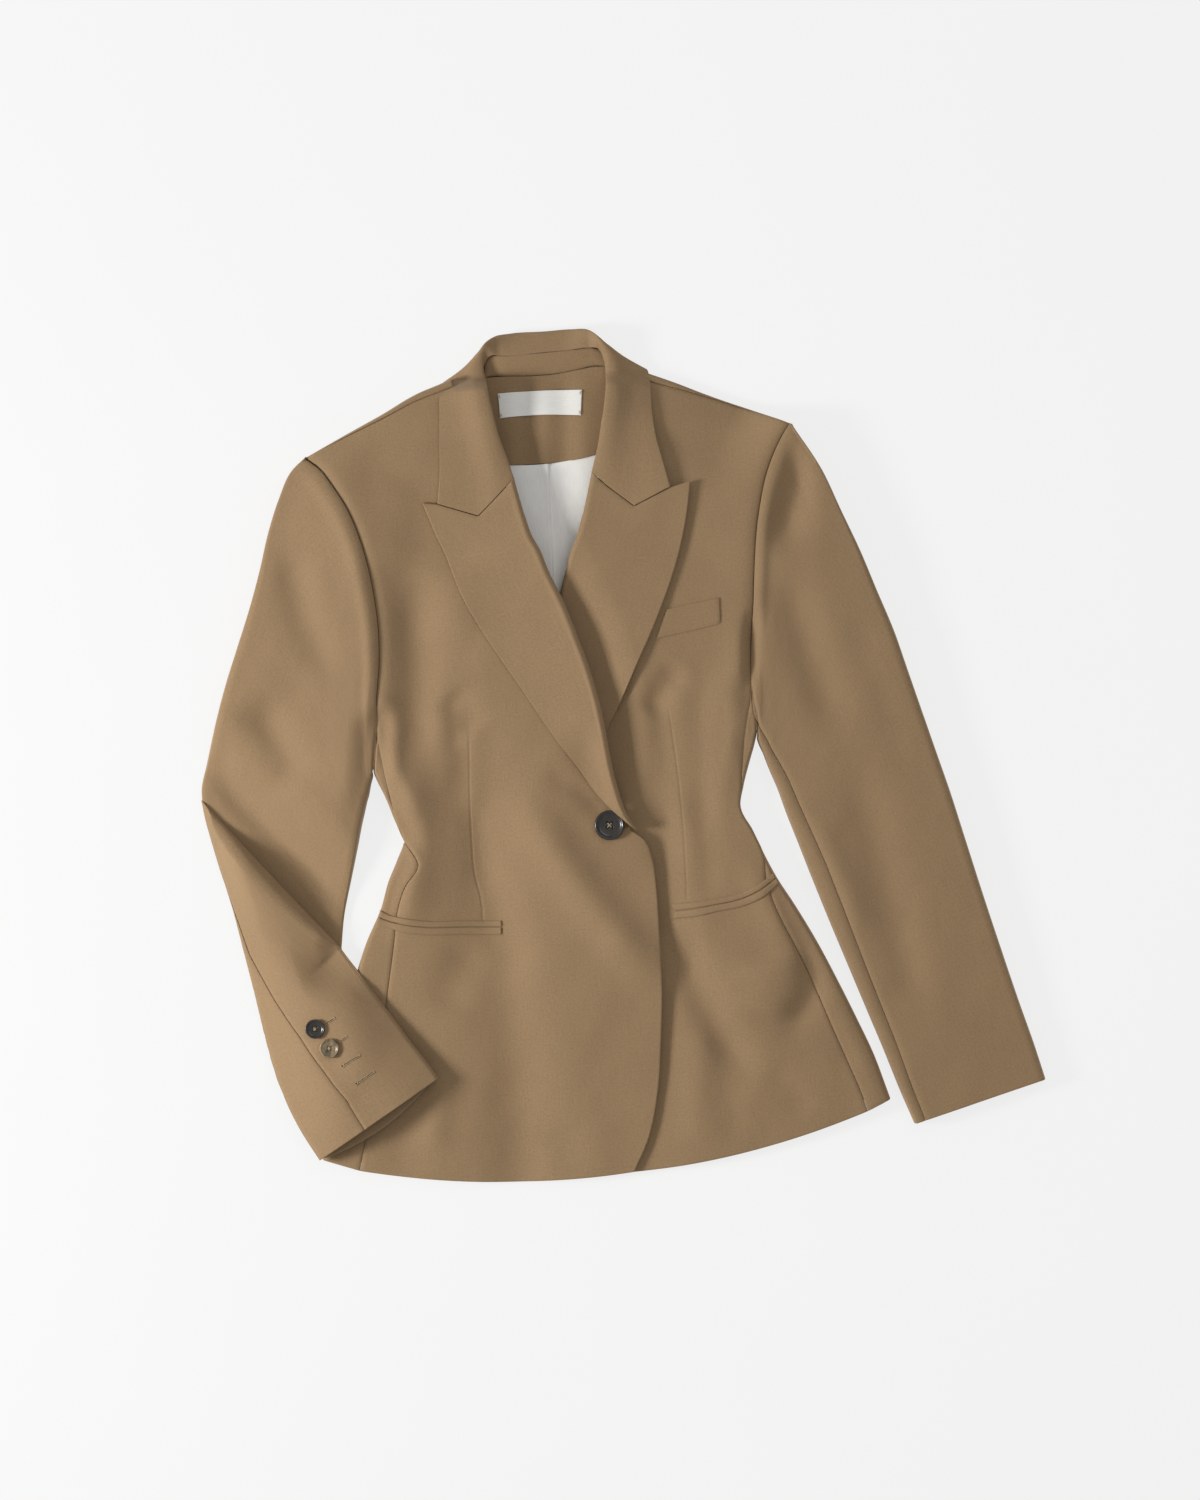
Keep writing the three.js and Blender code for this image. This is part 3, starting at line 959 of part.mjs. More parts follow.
// ---- buttons: turned discs with a raised rim and four holes ----
const wasm = await Module();
wasm.setup();
function toSolid(geometry) {
  const g = geometry.clone();
  g.deleteAttribute("normal"); g.deleteAttribute("uv");
  const m = mergeVertices(g, 1e-4);
  return new wasm.Manifold(new wasm.Mesh({ numProp: 3, vertProperties: new Float32Array(m.getAttribute("position").array), triVerts: new Uint32Array(m.index.array) }));
}
function fromSolid(solid) {
  const m = solid.getMesh(), g = new THREE.BufferGeometry();
  g.setAttribute("position", new THREE.BufferAttribute(new Float32Array(m.vertProperties), 3));
  g.setIndex([...m.triVerts]);
  g.computeVertexNormals();
  return g;
}
function button({ diameter, thickness }) {
  const r = diameter / 2, t = thickness;
  const profile = [[0, 0], [r * 0.8, 0], [r, t * 0.45], [r * 0.985, t * 0.8], [r * 0.93, t], [r * 0.86, t * 0.97], [r * 0.76, t * 0.66], [r * 0.4, t * 0.56], [0, t * 0.54]];
  const body = new THREE.LatheGeometry(profile.map(([x, y]) => new THREE.Vector2(x, y)), 24);
  body.rotateX(Math.PI / 2);
  let solid = toSolid(body);
  for (const [sx, sy] of [[1, 1], [-1, 1], [-1, -1], [1, -1]]) {
    const hole = new THREE.CylinderGeometry(r * 0.09, r * 0.09, t * 3, 8);
    hole.rotateX(Math.PI / 2);
    hole.translate(sx * r * 0.16, sy * r * 0.16, 0);
    solid = solid.subtract(toSolid(hole));
  }
  return fromSolid(solid);
}

// ---- the garment ----
const cloth = (color) => new THREE.MeshStandardMaterial({ color, roughness: 0.85, metalness: 0 });
const WORSTED = 0x9a8163, SATIN = 0xd8d7d0, LABEL_CLOTH = 0xefeeea, HORN = 0x23211f;
const blazer = new THREE.Group();
const garment = new THREE.Group();
garment.position.set(SHIFT.x, SHIFT.y, 0);
blazer.add(garment);
const add = (name, geometry, color = WORSTED, place = [0, 0, 0], roughness = 0.85) => {
  const material = cloth(color);
  material.roughness = roughness;
  const mesh = new THREE.Mesh(geometry, material);
  mesh.name = name;
  mesh.position.set(...place);
  garment.add(mesh);
  return mesh;
};
add("front_right", frontRight);
add("front_left", frontLeft);
add("side_right", sideRight);
add("side_left", sideLeft);
add("back_right", wall(rightBack, CLOTH));
add("back_left", wall(leftBack, CLOTH));
add("topsleeve_left", topLeft);
add("undersleeve_left", underLeft);
add("topsleeve_right_upper", topRightUpper);
add("undersleeve_right_upper", underRightUpper);
add("topsleeve_right_fore", topRightFore);
add("undersleeve_right_fore", underRightFore);
add("lapel_right", lapelRight);
add("lapel_left", lapelLeft);
add("collar", collar);
add("collar_stand", stand);
add("neck_facing", facing);
add("back_lining", lining, SATIN, [0, 0, 0], 0.35);
add("neck_label", label, LABEL_CLOTH);
add("hip_jet_right_upper", jet(POCKET_RIGHT, "top", "slot", onRight));
add("hip_jet_right_lower", jet(POCKET_RIGHT, "slot", "low", onRight));
add("hip_jet_left_upper", jet(POCKET_LEFT, "top", "slot", onLeft));
add("hip_jet_left_lower", jet(POCKET_LEFT, "slot", "low", onLeft));
add("chest_welt", welt);
const restOn = (x, y, radius, height) => {
  let z = 0;
  for (let a = 0; a < 12; a++) for (const r of [0, 0.5, 1]) z = Math.max(z, height(x + r * radius * Math.cos((a * Math.PI) / 6), y + r * radius * Math.sin((a * Math.PI) / 6)));
  return z + LAID_GAP;
};
add("front_button", button(FRONT_BUTTON), HORN, [FRONT_BUTTON.x, FRONT_BUTTON.y, restOn(FRONT_BUTTON.x, FRONT_BUTTON.y, FRONT_BUTTON.diameter * 0.4, onRight)], 0.3);
for (const b of CUFF_BUTTONS) add(b.name, button(CUFF_BUTTON), HORN, [b.x, b.y, restOn(b.x, b.y, CUFF_BUTTON.diameter * 0.4, onFore)], 0.3);

export default blazer;
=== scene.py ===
import bpy, math
import numpy as np
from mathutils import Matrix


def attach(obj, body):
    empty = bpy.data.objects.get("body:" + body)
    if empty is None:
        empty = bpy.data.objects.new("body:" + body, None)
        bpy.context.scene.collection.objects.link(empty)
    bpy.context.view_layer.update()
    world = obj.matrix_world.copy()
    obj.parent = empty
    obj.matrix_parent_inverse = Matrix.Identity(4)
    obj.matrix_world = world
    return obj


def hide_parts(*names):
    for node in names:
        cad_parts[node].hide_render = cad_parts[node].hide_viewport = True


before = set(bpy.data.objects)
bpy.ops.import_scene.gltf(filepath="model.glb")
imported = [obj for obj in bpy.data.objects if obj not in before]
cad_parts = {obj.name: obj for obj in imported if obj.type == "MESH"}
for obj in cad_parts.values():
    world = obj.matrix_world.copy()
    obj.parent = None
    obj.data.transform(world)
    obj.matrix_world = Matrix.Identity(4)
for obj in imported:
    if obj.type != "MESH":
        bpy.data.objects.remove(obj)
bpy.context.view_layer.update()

# A single-button blazer laid flat, face up. The tables and heights below are millimetres in
# the garment's own frame; SHIFT puts its middle on the model's origin. Ground is z = 0.
SHIFT = np.array([-0.65, 0.6, 0.0])
CLOTH, LAPEL_CLOTH, COLLAR_CLOTH, THIN_CLOTH, JET_CLOTH = 1.6, 2.0, 2.2, 1.0, 1.2
LAID_GAP, EDGE_HEIGHT, EDGE_RADIUS, SWELL_REACH = 0.4, 5.0, 2.5, 55.0
NECK_RISE, FORE_EDGE_HEIGHT, SLEEVE_TURN = 3.0, 6.0, 12.0
LAPEL_TIPS = {"right": (-169.6, 213.4), "left": (57.4, 232.1)}
GORGE_GAP = 0.5
SEAM = 0.07          # half the gap between two pieces sewn edge to edge


def table(head, rows):
    data = np.array(rows, float)
    out = {k: data[:, i] for i, k in enumerate(head.split())}
    out["rows"] = len(data)
    return out


FRONT_RIGHT = table("side_x side_y edge_x edge_y sag", [
    (-223.1, -353.6, 9.8, -354.4, 9.3),
    (-218.9, -327.2, 21.7, -327.2, 7.6),
    (-212.1, -284.8, 30.2, -284.8, 5.1),
    (-205.3, -242.2, 32.7, -242.2, 2.5),
    (-199.3, -199.8, 33.6, -199.8, 0),
    (-194.2, -161.5, 31.9, -161.5, 0),
    (-190.8, -131.8, 30.2, -131.8, 0),
    (-184.9, -113, 28.5, -110.5, 0),
    (-173.4, -94.3, 25.9, -91, 0),
    (-186.1, -72.2, 20, -74, 0),
    (-192.9, -56.1, 3.8, -60.4, 0),
    (-196.8, -38.2, -5.5, -39.1, 0),
    (-201.3, -21.2, -10.6, -21.2, 0),
    (-204.3, -6.8, -14, -1.7, 0),
    (-208.4, 17, -18.3, 18.7, 0),
    (-208.5, 46.8, -24.2, 46.8, 0),
    (-206.5, 76.5, -33.6, 74.8, 0),
    (-207, 106.2, -43.8, 104.5, 0),
    (-210.4, 133.4, -54.8, 130.9, 0),
    (-215.5, 158.9, -67.6, 154.7, 0),
    (-223.1, 184.4, -78.6, 178.5, 0),
    (-233.3, 208.2, -88, 204, 0),
    (-245.2, 226.9, -96.5, 227.8, 0),
    (-256.3, 241.4, -108.4, 267.8, 0),
    (-268.7, 250.6, -116, 316.2, -4.2),
])
FRONT_LEFT = table("side_x side_y edge_x edge_y sag", [
    (208.7, -302.6, -42.9, -357.8, 12.8),
    (202.7, -286.4, -41.2, -327.2, 10.2),
    (190.8, -259.2, -38.7, -284.8, 6),
    (176.4, -226.9, -37.8, -242.2, 3.4),
    (162.8, -195.5, -37.8, -199.8, 1.7),
    (146.2, -161.5, -37.8, -161.5, 0),
    (130, -129.2, -37.8, -127.5, 0),
    (122, -106.2, -37.8, -106.2, 0),
    (119.9, -84.1, -37.8, -85, 0),
    (110.5, -63.8, -37.8, -65.5, 0),
    (100.6, -45, -37, -48.4, 0),
    (101, -25.5, -32.7, -34, 0),
    (101.8, -5.1, -31.9, -17, 0),
    (103.6, 12.8, -30.2, 4.2, 0),
    (106.8, 34, -29.3, 25.5, 0),
    (109.4, 55.2, -29.3, 55.2, 0),
    (109.2, 93.5, -31, 89.2, 0),
    (110.9, 127.5, -37, 121.5, 0),
    (111.8, 159.8, -41.2, 144.5, 0),
    (113.5, 189.5, -40.4, 170, 0),
    (116.9, 215, -35.3, 195.5, 0),
    (121.1, 235.4, -28.5, 219.3, 0),
    (127.1, 253.3, -21.7, 240.5, 0),
    (134.3, 269, -14, 276.2, 0),
    (141.5, 281.2, -10.6, 330.6, 0),
])
SIDE_RIGHT = table("seam_x seam_y fold_x fold_y back_x back_y up", [
    (-207.9, 18.7, -209, 18.7, -207.7, 18.7, 1),
    (-206.5, 7.6, -210.5, 7.6, -207.8, 7.6, 1),
    (-204.1, -6, -211.6, -6, -207.8, -6, 1),
    (-202.6, -14.4, -211.7, -14.9, -206.1, -14.9, 1),
    (-201, -21.2, -208.7, -22.1, -190, -22.1, 0),
    (-196.8, -38.2, -201.9, -35.7, -179.8, -35.7, 0),
    (-192.9, -56.1, -193.7, -56.1, -168.7, -56.1, 0),
    (-186.1, -72.2, -186.2, -72.2, -157.7, -72.2, 0),
    (-173.4, -94.3, -191.7, -89.2, -156, -86.7, 0),
    (-184.9, -113, -199.3, -108, -163.6, -108, 0),
    (-190.8, -131.8, -205.3, -130, -166.2, -130, 0),
    (-194.2, -161.5, -218, -159.8, -175.5, -159.8, 0),
    (-199.3, -199.8, -229.9, -199.8, -184, -199.8, 0),
    (-205.3, -242.2, -237.6, -242.2, -188.3, -242.2, 0),
    (-212.1, -284.8, -244.4, -280.5, -193.4, -280.5, 0),
    (-218.9, -327.2, -252, -321.3, -199.3, -321.3, 0),
    (-223.1, -353.6, -255.4, -344.2, -201, -349.3, 0),
])
SIDE_LEFT = table("seam_x seam_y fold_x fold_y back_x back_y up", [
    (108.5, 54.4, 110.2, 54.4, 108.7, 54.4, 1),
    (108, 43.4, 111.9, 43.4, 108.9, 43.4, 1),
    (105.4, 31.4, 114.3, 31.4, 108.8, 31.4, 1),
    (103.8, 21.2, 114.7, 21.2, 108.8, 21.2, 1),
    (102.9, 11, 112.8, 11, 93.9, 11, 0),
    (101.8, -4.2, 108.4, -5.1, 88, -5.1, 0),
    (101, -25.5, 103.1, -26.3, 80.3, -26.3, 0),
    (100.6, -45, 100.7, -45, 72.7, -45, 0),
    (110.5, -63.8, 110.8, -63.3, 81.2, -63.8, 0),
    (119.9, -84.1, 120.3, -83.3, 87.1, -84.1, 0),
    (122, -106.2, 131.3, -103.7, 94.8, -104.5, 0),
    (130, -129.2, 145.8, -125.8, 106.7, -127.5, 0),
    (146.2, -161.5, 164.5, -156.4, 123.7, -158.1, 0),
    (162.8, -195.5, 184, -192.9, 139.8, -194.7, 0),
    (176.4, -226.9, 199.3, -223.5, 151.7, -225.2, 0),
    (190.8, -259.2, 214.6, -255.8, 165.3, -257.6, 0),
    (202.7, -286.4, 224.8, -283.1, 173.8, -283.1, 0),
    (208.7, -302.6, 228.2, -292.4, 175.5, -295.8, 0),
])
SHOULDER_RIGHT = table("x y turn", [
    (-65.9, 324.7, 0),
    (-90.5, 323.8, 0),
    (-112.6, 322.1, 0),
    (-131.3, 320.4, 0),
    (-144.9, 319.2, 7.4),
    (-157.7, 314.1, 7.2),
    (-173, 307.7, 6.8),
    (-205.3, 288.6, 4.6),
    (-237.6, 270.7, 2.7),
    (-266.1, 254.2, 1.2),
    (-271.1, 251.2, 1.1),
])
SHOULDER_LEFT = table("x y turn", [
    (-65.9, 324.7, 0),
    (-39.5, 327.2, 0),
    (-16.6, 328.9, 0),
    (2.1, 326.4, 0),
    (15.7, 326.4, 6.2),
    (28.5, 322.5, 6.4),
    (48.9, 315.3, 4),
    (65.9, 308.7, 2.4),
    (81.2, 303.1, 1.2),
    (114.3, 291.9, 1),
    (139.8, 282.6, 1),
    (142.9, 281.3, 1),
])
SLEEVE_LEFT = table("out_x out_y in_x in_y seam", [
    (143.2, 281.7, 114.3, 14.4, 0.03),
    (169.6, 242.2, 115.2, 11, 0.04),
    (185.7, 208.2, 116.9, 6.8, 0.05),
    (201.9, 174.2, 119.4, 1.7, 0.055),
    (216.3, 140.2, 122, -5.1, 0.06),
    (230.8, 106.2, 125.4, -13.6, 0.07),
    (242.7, 72.2, 131.3, -27.2, 0.08),
    (254.6, 38.2, 139, -48.4, 0.09),
    (266.5, 4.2, 149.2, -74, 0.1),
    (278.4, -29.8, 160.2, -102, 0.11),
    (292, -72.2, 174.7, -137.7, 0.11),
    (307.3, -119.8, 190, -174.2, 0.105),
    (322.6, -165.8, 206.1, -212.5, 0.1),
    (337, -208.2, 222.3, -250.8, 0.095),
    (350.6, -246.5, 236.7, -286.4, 0.085),
    (360, -275.4, 248.6, -313.6, 0.08),
])
SLEEVE_RIGHT_UPPER = table("out_x out_y in_x in_y", [
    (-268.6, 253.7, -212.1, -17.8),
    (-280.9, 241.4, -212.9, -21.2),
    (-292, 216.8, -213.8, -24.6),
    (-301.3, 187, -214.6, -28.9),
    (-308.1, 157.2, -215.5, -34),
    (-316.6, 125.8, -217.2, -39.9),
    (-326.8, 93.5, -218.9, -47.6),
    (-337, 61.2, -221.4, -58.6),
    (-346.4, 25.5, -224.8, -76.5),
    (-354, -8.5, -230.8, -106.2),
    (-358.3, -29.8, -236.7, -136),
    (-357.8, -40.8, -239.3, -165.8),
])
SLEEVE_RIGHT_FORE = table("out_x out_y in_x in_y seam", [
    (-358.7, -38.2, -240, -163.7, 0),
    (-355.7, -53.5, -235.9, -169.2, 0),
    (-349.8, -74.8, -229.9, -176.8, 0),
    (-342.1, -100.3, -222.3, -186.2, 0),
    (-331.9, -131.8, -212.9, -198.9, 0.012),
    (-322.6, -167.4, -201.9, -213.3, 0.045),
    (-313.2, -204, -190.8, -227.8, 0.143),
    (-304.7, -238.8, -181.5, -240.5, 0.257),
    (-293.7, -276.2, -171.3, -253.3, 0.34),
    (-278.4, -310.2, -162.8, -264.3, 0.393),
    (-257.1, -344.2, -156, -273.7, 0.385),
])
LAPEL_RIGHT = table("roll_x roll_y out_x out_y roll lift", [
    (12.3, -63.8, 4.7, -58.6, 7.5, 5.4),
    (3, -48.4, -8.5, -47.2, 8, 5.4),
    (-3.4, -29.8, -22.5, -32.3, 8, 2.4),
    (-8.9, -8.5, -37, -11.9, 8, 0.9),
    (-13.2, 14.4, -53.1, 8.5, 8, 0.6),
    (-19.1, 42.5, -69.3, 31.4, 8, 0.6),
    (-27.6, 72.2, -86.3, 56.9, 8, 0.6),
    (-39.5, 104.5, -104.1, 82.5, 8, 0.6),
    (-51.4, 133.4, -121.1, 108, 8, 0.6),
    (-62.5, 155.5, -134.7, 131.8, 8, 0.6),
    (-70.1, 174.2, -143.2, 151.3, 8, 0.6),
    (-76.1, 184.4, -149.2, 167.4, 8, 0.8),
    (-82, 200.6, -157.7, 185.3, 8, 1),
])
LAPEL_LEFT = table("roll_x roll_y out_x out_y roll lift", [
    (-40.4, -40.8, -25.9, -36.5, 4.4, 1.6),
    (-42.9, -12.8, -20.8, -8.5, 4.6, 2.2),
    (-45.5, 17, -14, 19.6, 4.8, 3.2),
    (-48.9, 46.8, -2.1, 44.2, 5, 3.8),
    (-53.1, 80.8, 12.3, 77.3, 5.2, 3.8),
    (-56.5, 110.5, 25.9, 108, 5.6, 3.2),
    (-53.5, 136, 36.1, 134.3, 6.6, 2.4),
    (-48.4, 155.5, 43.8, 157.2, 7.4, 2.4),
    (-45, 169.2, 48.9, 175.9, 8, 3),
    (-39.5, 184.4, 51.9, 190.4, 8, 3.4),
    (-34, 203.2, 54.4, 204.8, 8, 3.6),
])
COLLAR = table("in_x in_y in_z fold_x fold_y fold_z near_x near_y near_z mid_x mid_y mid_z rim_x rim_y rim_z on", [
    (-97.3, 234.6, 1.2, -92.2, 234.2, 6.6, -104.1, 221.2, 7.6, -122, 202.5, 4.2, -156.8, 212.7, 3.2, 1),
    (-103.3, 251.6, 1.2, -98.2, 252.4, 7, -108.4, 243.9, 9, -125.4, 233.8, 5, -155.1, 235.4, 3, 1),
    (-109.2, 270.3, 1.2, -105, 271.1, 8, -115.2, 266.9, 10, -133, 262.6, 5.5, -155.1, 262.6, 3, 1),
    (-115.2, 293.2, 1.2, -110.9, 294.1, 9, -121.1, 290.7, 11, -136.4, 287.3, 6, -155.1, 287.3, 3, 1),
    (-119.4, 311.9, 2, -115.2, 314.5, 10, -124.5, 311.1, 12, -139, 304.3, 7, -155.1, 302.6, 3.4, 1),
    (-118.6, 328.1, 5, -118.6, 332.3, 12, -127.1, 326.4, 13, -139, 315.3, 8, -154.3, 309.4, 3.6, 1),
    (-110.9, 339.1, 11, -116.9, 347.6, 17, -123.7, 340.8, 14, -135.6, 328.9, 8.5, -153.4, 316.2, 3.2, 1),
    (-102.4, 339.1, 12, -108.4, 355.3, 12, -112.6, 346.8, 3.5, -122, 329.8, 0, -133, 308.6, 0, 0),
    (-90.5, 339.6, 12, -95.6, 358.3, 8, -99, 345.1, 0.2, -101.6, 327.2, 0, -105, 305.1, 0, 0),
    (-65.9, 342.6, 11.5, -65.9, 360.4, 6.5, -65.9, 345.9, 0.2, -65.9, 327.2, 0, -65.9, 303.4, 0, 0),
    (-46.3, 344.2, 11.5, -43.8, 362.1, 7, -42.1, 347.6, 0.2, -38.7, 328.9, 0, -36.1, 306, 0, 0),
    (-29.3, 345.9, 12, -29.3, 361.2, 11, -23.4, 350.2, 3, -13.2, 334.1, 0, -4.7, 314.5, 0, 0),
    (-21.7, 345.1, 11, -20, 352.8, 17, -11.5, 347.6, 14, 2.1, 338.3, 8.5, 21.7, 327.2, 3.2, 1),
    (-15.7, 334.1, 5, -15.7, 339.1, 12, -7.2, 334.9, 13, 7.2, 328.9, 8, 23.4, 318.8, 3.6, 1),
    (-12.3, 318.8, 2, -14, 322.1, 10, -4.7, 319.6, 12, 8.1, 315.3, 7, 24.2, 306.8, 3.4, 1),
    (-10.6, 301.8, 1.2, -14.9, 302.6, 9, -4.7, 300.9, 11, 9.8, 296.6, 6, 25.1, 290.7, 3, 1),
    (-14, 278.8, 1.2, -18.3, 278.8, 8, -8.1, 277.1, 10, 9.8, 273.7, 5.5, 28.5, 269.4, 3, 1),
    (-17.4, 258.4, 1.2, -21.7, 257.6, 7, -9.8, 255, 9, 11.5, 249, 5, 34.4, 248.2, 3, 1),
    (-20.8, 241.4, 1.2, -25.9, 240.1, 6.6, -14, 228.8, 7.6, 9.8, 211, 4.2, 40.4, 227.1, 3.2, 1),
])
STAND = table("top_x top_y top_z foot_x foot_y foot_z", [
    (-117.3, 334.1, 7.4, -117.7, 319.2, 5.5),
    (-112.6, 338.6, 10.4, -114.3, 321.3, 5.8),
    (-99.9, 339.1, 11.7, -99.9, 322.1, 5.9),
    (-78.6, 340.8, 11.6, -78.6, 322.6, 5.8),
    (-57.4, 342.9, 11.3, -57.4, 324.3, 5.8),
    (-40.4, 344.6, 11.4, -37.8, 328.1, 5.8),
    (-25.9, 346.1, 11.4, -20.8, 331.5, 5.9),
    (-17.4, 344.2, 9.6, -14, 330.6, 5.7),
])
FACING = table("foot_x foot_y low_x low_y", [
    (-127.9, 319.1, -114.3, 247.3),
    (-114.3, 320.9, -104.1, 246.9),
    (-99.9, 321.9, -91.4, 246.5),
    (-78.6, 322.3, -74.4, 247.3),
    (-57.4, 324, -57.4, 248.6),
    (-37.8, 327.8, -40.4, 250.8),
    (-20.8, 330.6, -25.9, 254.2),
    (-7.2, 330.6, -14, 257.6),
])
LINING = table("a_x a_y b_x b_y sag", [
    (-114.3, 247.9, -14, 258.7, 5.6),
    (-102.4, 229.5, -19.1, 233.8, 1.7),
    (-93.1, 208.2, -24.2, 209.9, 0),
    (-85.4, 187, -29.3, 187, 0),
    (-76.1, 165.8, -31, 165.8, 0),
    (-67.6, 144.5, -31, 144.5, 0),
    (-59.9, 121.5, -31, 121.5, 0),
])
LABEL = table("a_x a_y b_x b_y sag", [
    (-106.2, 307.3, -34.4, 310.7, -0.8),
    (-105, 296.6, -34.9, 299.6, -1.3),
    (-104.1, 286, -35.3, 288.6, -1.7),
])
SPOTS = table("x y h", [
    (-248.6, 216.8, 24),
    (-189.1, 233.8, 20),
    (-274.1, 131.8, 21),
    (-299.6, 46.8, 18),
    (-303.9, -8.5, 14),
    (-248.6, -89.2, 12),
    (-265.6, -21.2, 15),
    (-146.6, 165.8, 16),
    (-129.6, 89.2, 15),
    (-172.1, 46.8, 14),
    (-87.1, 12.8, 14),
    (-129.6, -63.8, 12),
    (-36.1, -80.8, 12),
    (-146.6, -123.2, 9),
    (-146.6, -191.2, 8),
    (-53.1, -191.2, 10),
    (-172.1, -276.2, 5),
    (-121.1, -318.8, 5),
    (-19.1, -318.8, 6),
    (-104.1, 284.8, 15),
    (-19.1, 293.2, 15),
    (125.4, 242.2, 24),
    (65.9, 259.2, 20),
    (176.4, 182.8, 22),
    (210.4, 89.2, 18),
    (240.1, -4.2, 16),
    (252.9, -80.8, 15),
    (278.4, -165.8, 13),
    (303.9, -233.8, 11),
    (320.9, -284.8, 9),
    (31.9, 165.8, 16),
    (57.4, 89.2, 15),
    (65.9, 12.8, 14),
    (31.9, -63.8, 12),
    (91.4, -106.2, 12),
    (95.6, -191.2, 13),
    (150.9, -191.2, 9),
    (65.9, -276.2, 7),
    (150.9, -284.8, 7),
    (65.9, -327.2, 6),
])
FORE_SPOTS = table("x y h", [
    (-333.6, -80.8, 9),
    (-282.6, -123.2, 15),
    (-282.6, -191.2, 17),
    (-231.6, -216.8, 16),
    (-240.1, -276.2, 13),
    (-206.1, -293.2, 9),
    (-248.6, -327.2, 7),
    (-172.1, -267.8, 9),
])
FOLDS = table("depth width ax ay bx by cx cy", [
    (-6.5, 19, -180.6, 165.8, -174.7, 85, -178.9, -21.2),
    (2, 12, -155.1, 55.2, -151.7, 12.8, -150, -38.2),
    (3.5, 10, -201.9, 55.2, -199.3, 12.8, -190.8, -38.2),
    (3, 22, -142.4, 165.8, -138.1, 123.2, -136.4, 89.2),
    (-4, 14, -148.3, 56.9, -134.7, 36.5, -121.1, 17),
    (-2.5, 14, -124.5, -38.2, -121.1, -80.8, -116, -119),
    (-3.5, 18, -125.4, -157.2, -139.8, -187, -150.9, -225.2),
    (3, 14, -155.1, -259.2, -158.5, -301.8, -161.9, -344.2),
    (-10, 9, -199.3, 46.8, -207.8, 8.5, -209.5, -29.8),
    (-9, 16, 45.5, -136, 69.3, -208.2, 116.9, -289),
    (-5, 13, 159.4, -136, 164.5, -195.5, 130.5, -246.5),
    (6.5, 24, 120.3, -165.8, 125.4, -198, 120.3, -229.5),
    (-5, 12, 50.6, 79, 34.4, 55.2, 19.1, 31.4),
    (4, 16, 101.6, 131.8, 99.9, 29.8, 94.8, -63.8),
    (-8, 7, 111.8, 131.8, 110.1, 80.8, 112.6, 21.2),
    (-9, 14, 162.8, 284.8, 147.5, 225.2, 130.5, 165.8),
    (-6, 18, 133.9, 165.8, 159.4, 85, 186.6, 8.5),
    (-5, 19, 190, 17, 225.7, -114.8, 263.1, -242.2),
    (3, 13, 156, -38.2, 181.5, -97.8, 208.7, -165.8),
    (-4.5, 15, -284.3, 182.8, -270.7, 123.2, -245.2, 55.2),
    (-6.5, 18, -309.8, 55.2, -292.8, 8.5, -270.7, -34.9),
])
UNDER_EDGE = table("x y drop", [
    (14.9, -363.8, 4.6),
    (21.7, -327.2, 5),
    (28.5, -284.8, 5.5),
    (31.9, -242.2, 6.5),
    (32.7, -199.8, 8),
    (31, -157.2, 8),
    (27.6, -106.2, 7),
    (20, -74, 6.5),
    (6.4, -51, 7),
    (-5.5, -21.2, 8),
    (-10.6, 4.2, 9),
    (-19.1, 46.8, 10),
    (-31.9, 85, 10),
    (-44.6, 117.3, 9),
    (-57.4, 144.5, 8),
    (-70.1, 165.8, 6),
])
POCKET_RIGHT = table("top_x top_y slot_x slot_y low_x low_y", [
    (-205.8, -131.3, -207, -137.7, -208.2, -142.8),
    (-201, -134.3, -201.9, -139.8, -202.7, -145.3),
    (-186.6, -138.1, -187.4, -143.7, -188.3, -150.4),
    (-167.9, -140.7, -167.9, -146.2, -167.9, -153),
    (-135.6, -140.7, -135.6, -146.2, -135.6, -153),
    (-103.3, -140.7, -103.3, -146.2, -103.3, -153),
])
POCKET_LEFT = table("top_x top_y slot_x slot_y low_x low_y", [
    (41.2, -126.6, 44.6, -132.6, 43.8, -139.4),
    (59.1, -124.5, 60.8, -130.3, 62.5, -137.3),
    (76.9, -122, 78.6, -127.1, 81.2, -133),
    (99.9, -116.9, 100.7, -122.1, 101.6, -128.7),
    (116.9, -108.4, 117.7, -113.9, 118.6, -121.2),
    (127.6, -100, 130.5, -104.1, 133.4, -108.5),
])
CHEST_WELT = table("top_x top_y low_x low_y", [
    (37, 123.2, 28.5, 98.6),
    (51.4, 126.6, 45.5, 102.4),
    (66.7, 130, 64.2, 106.7),
    (82, 133.4, 82.9, 111.3),
])
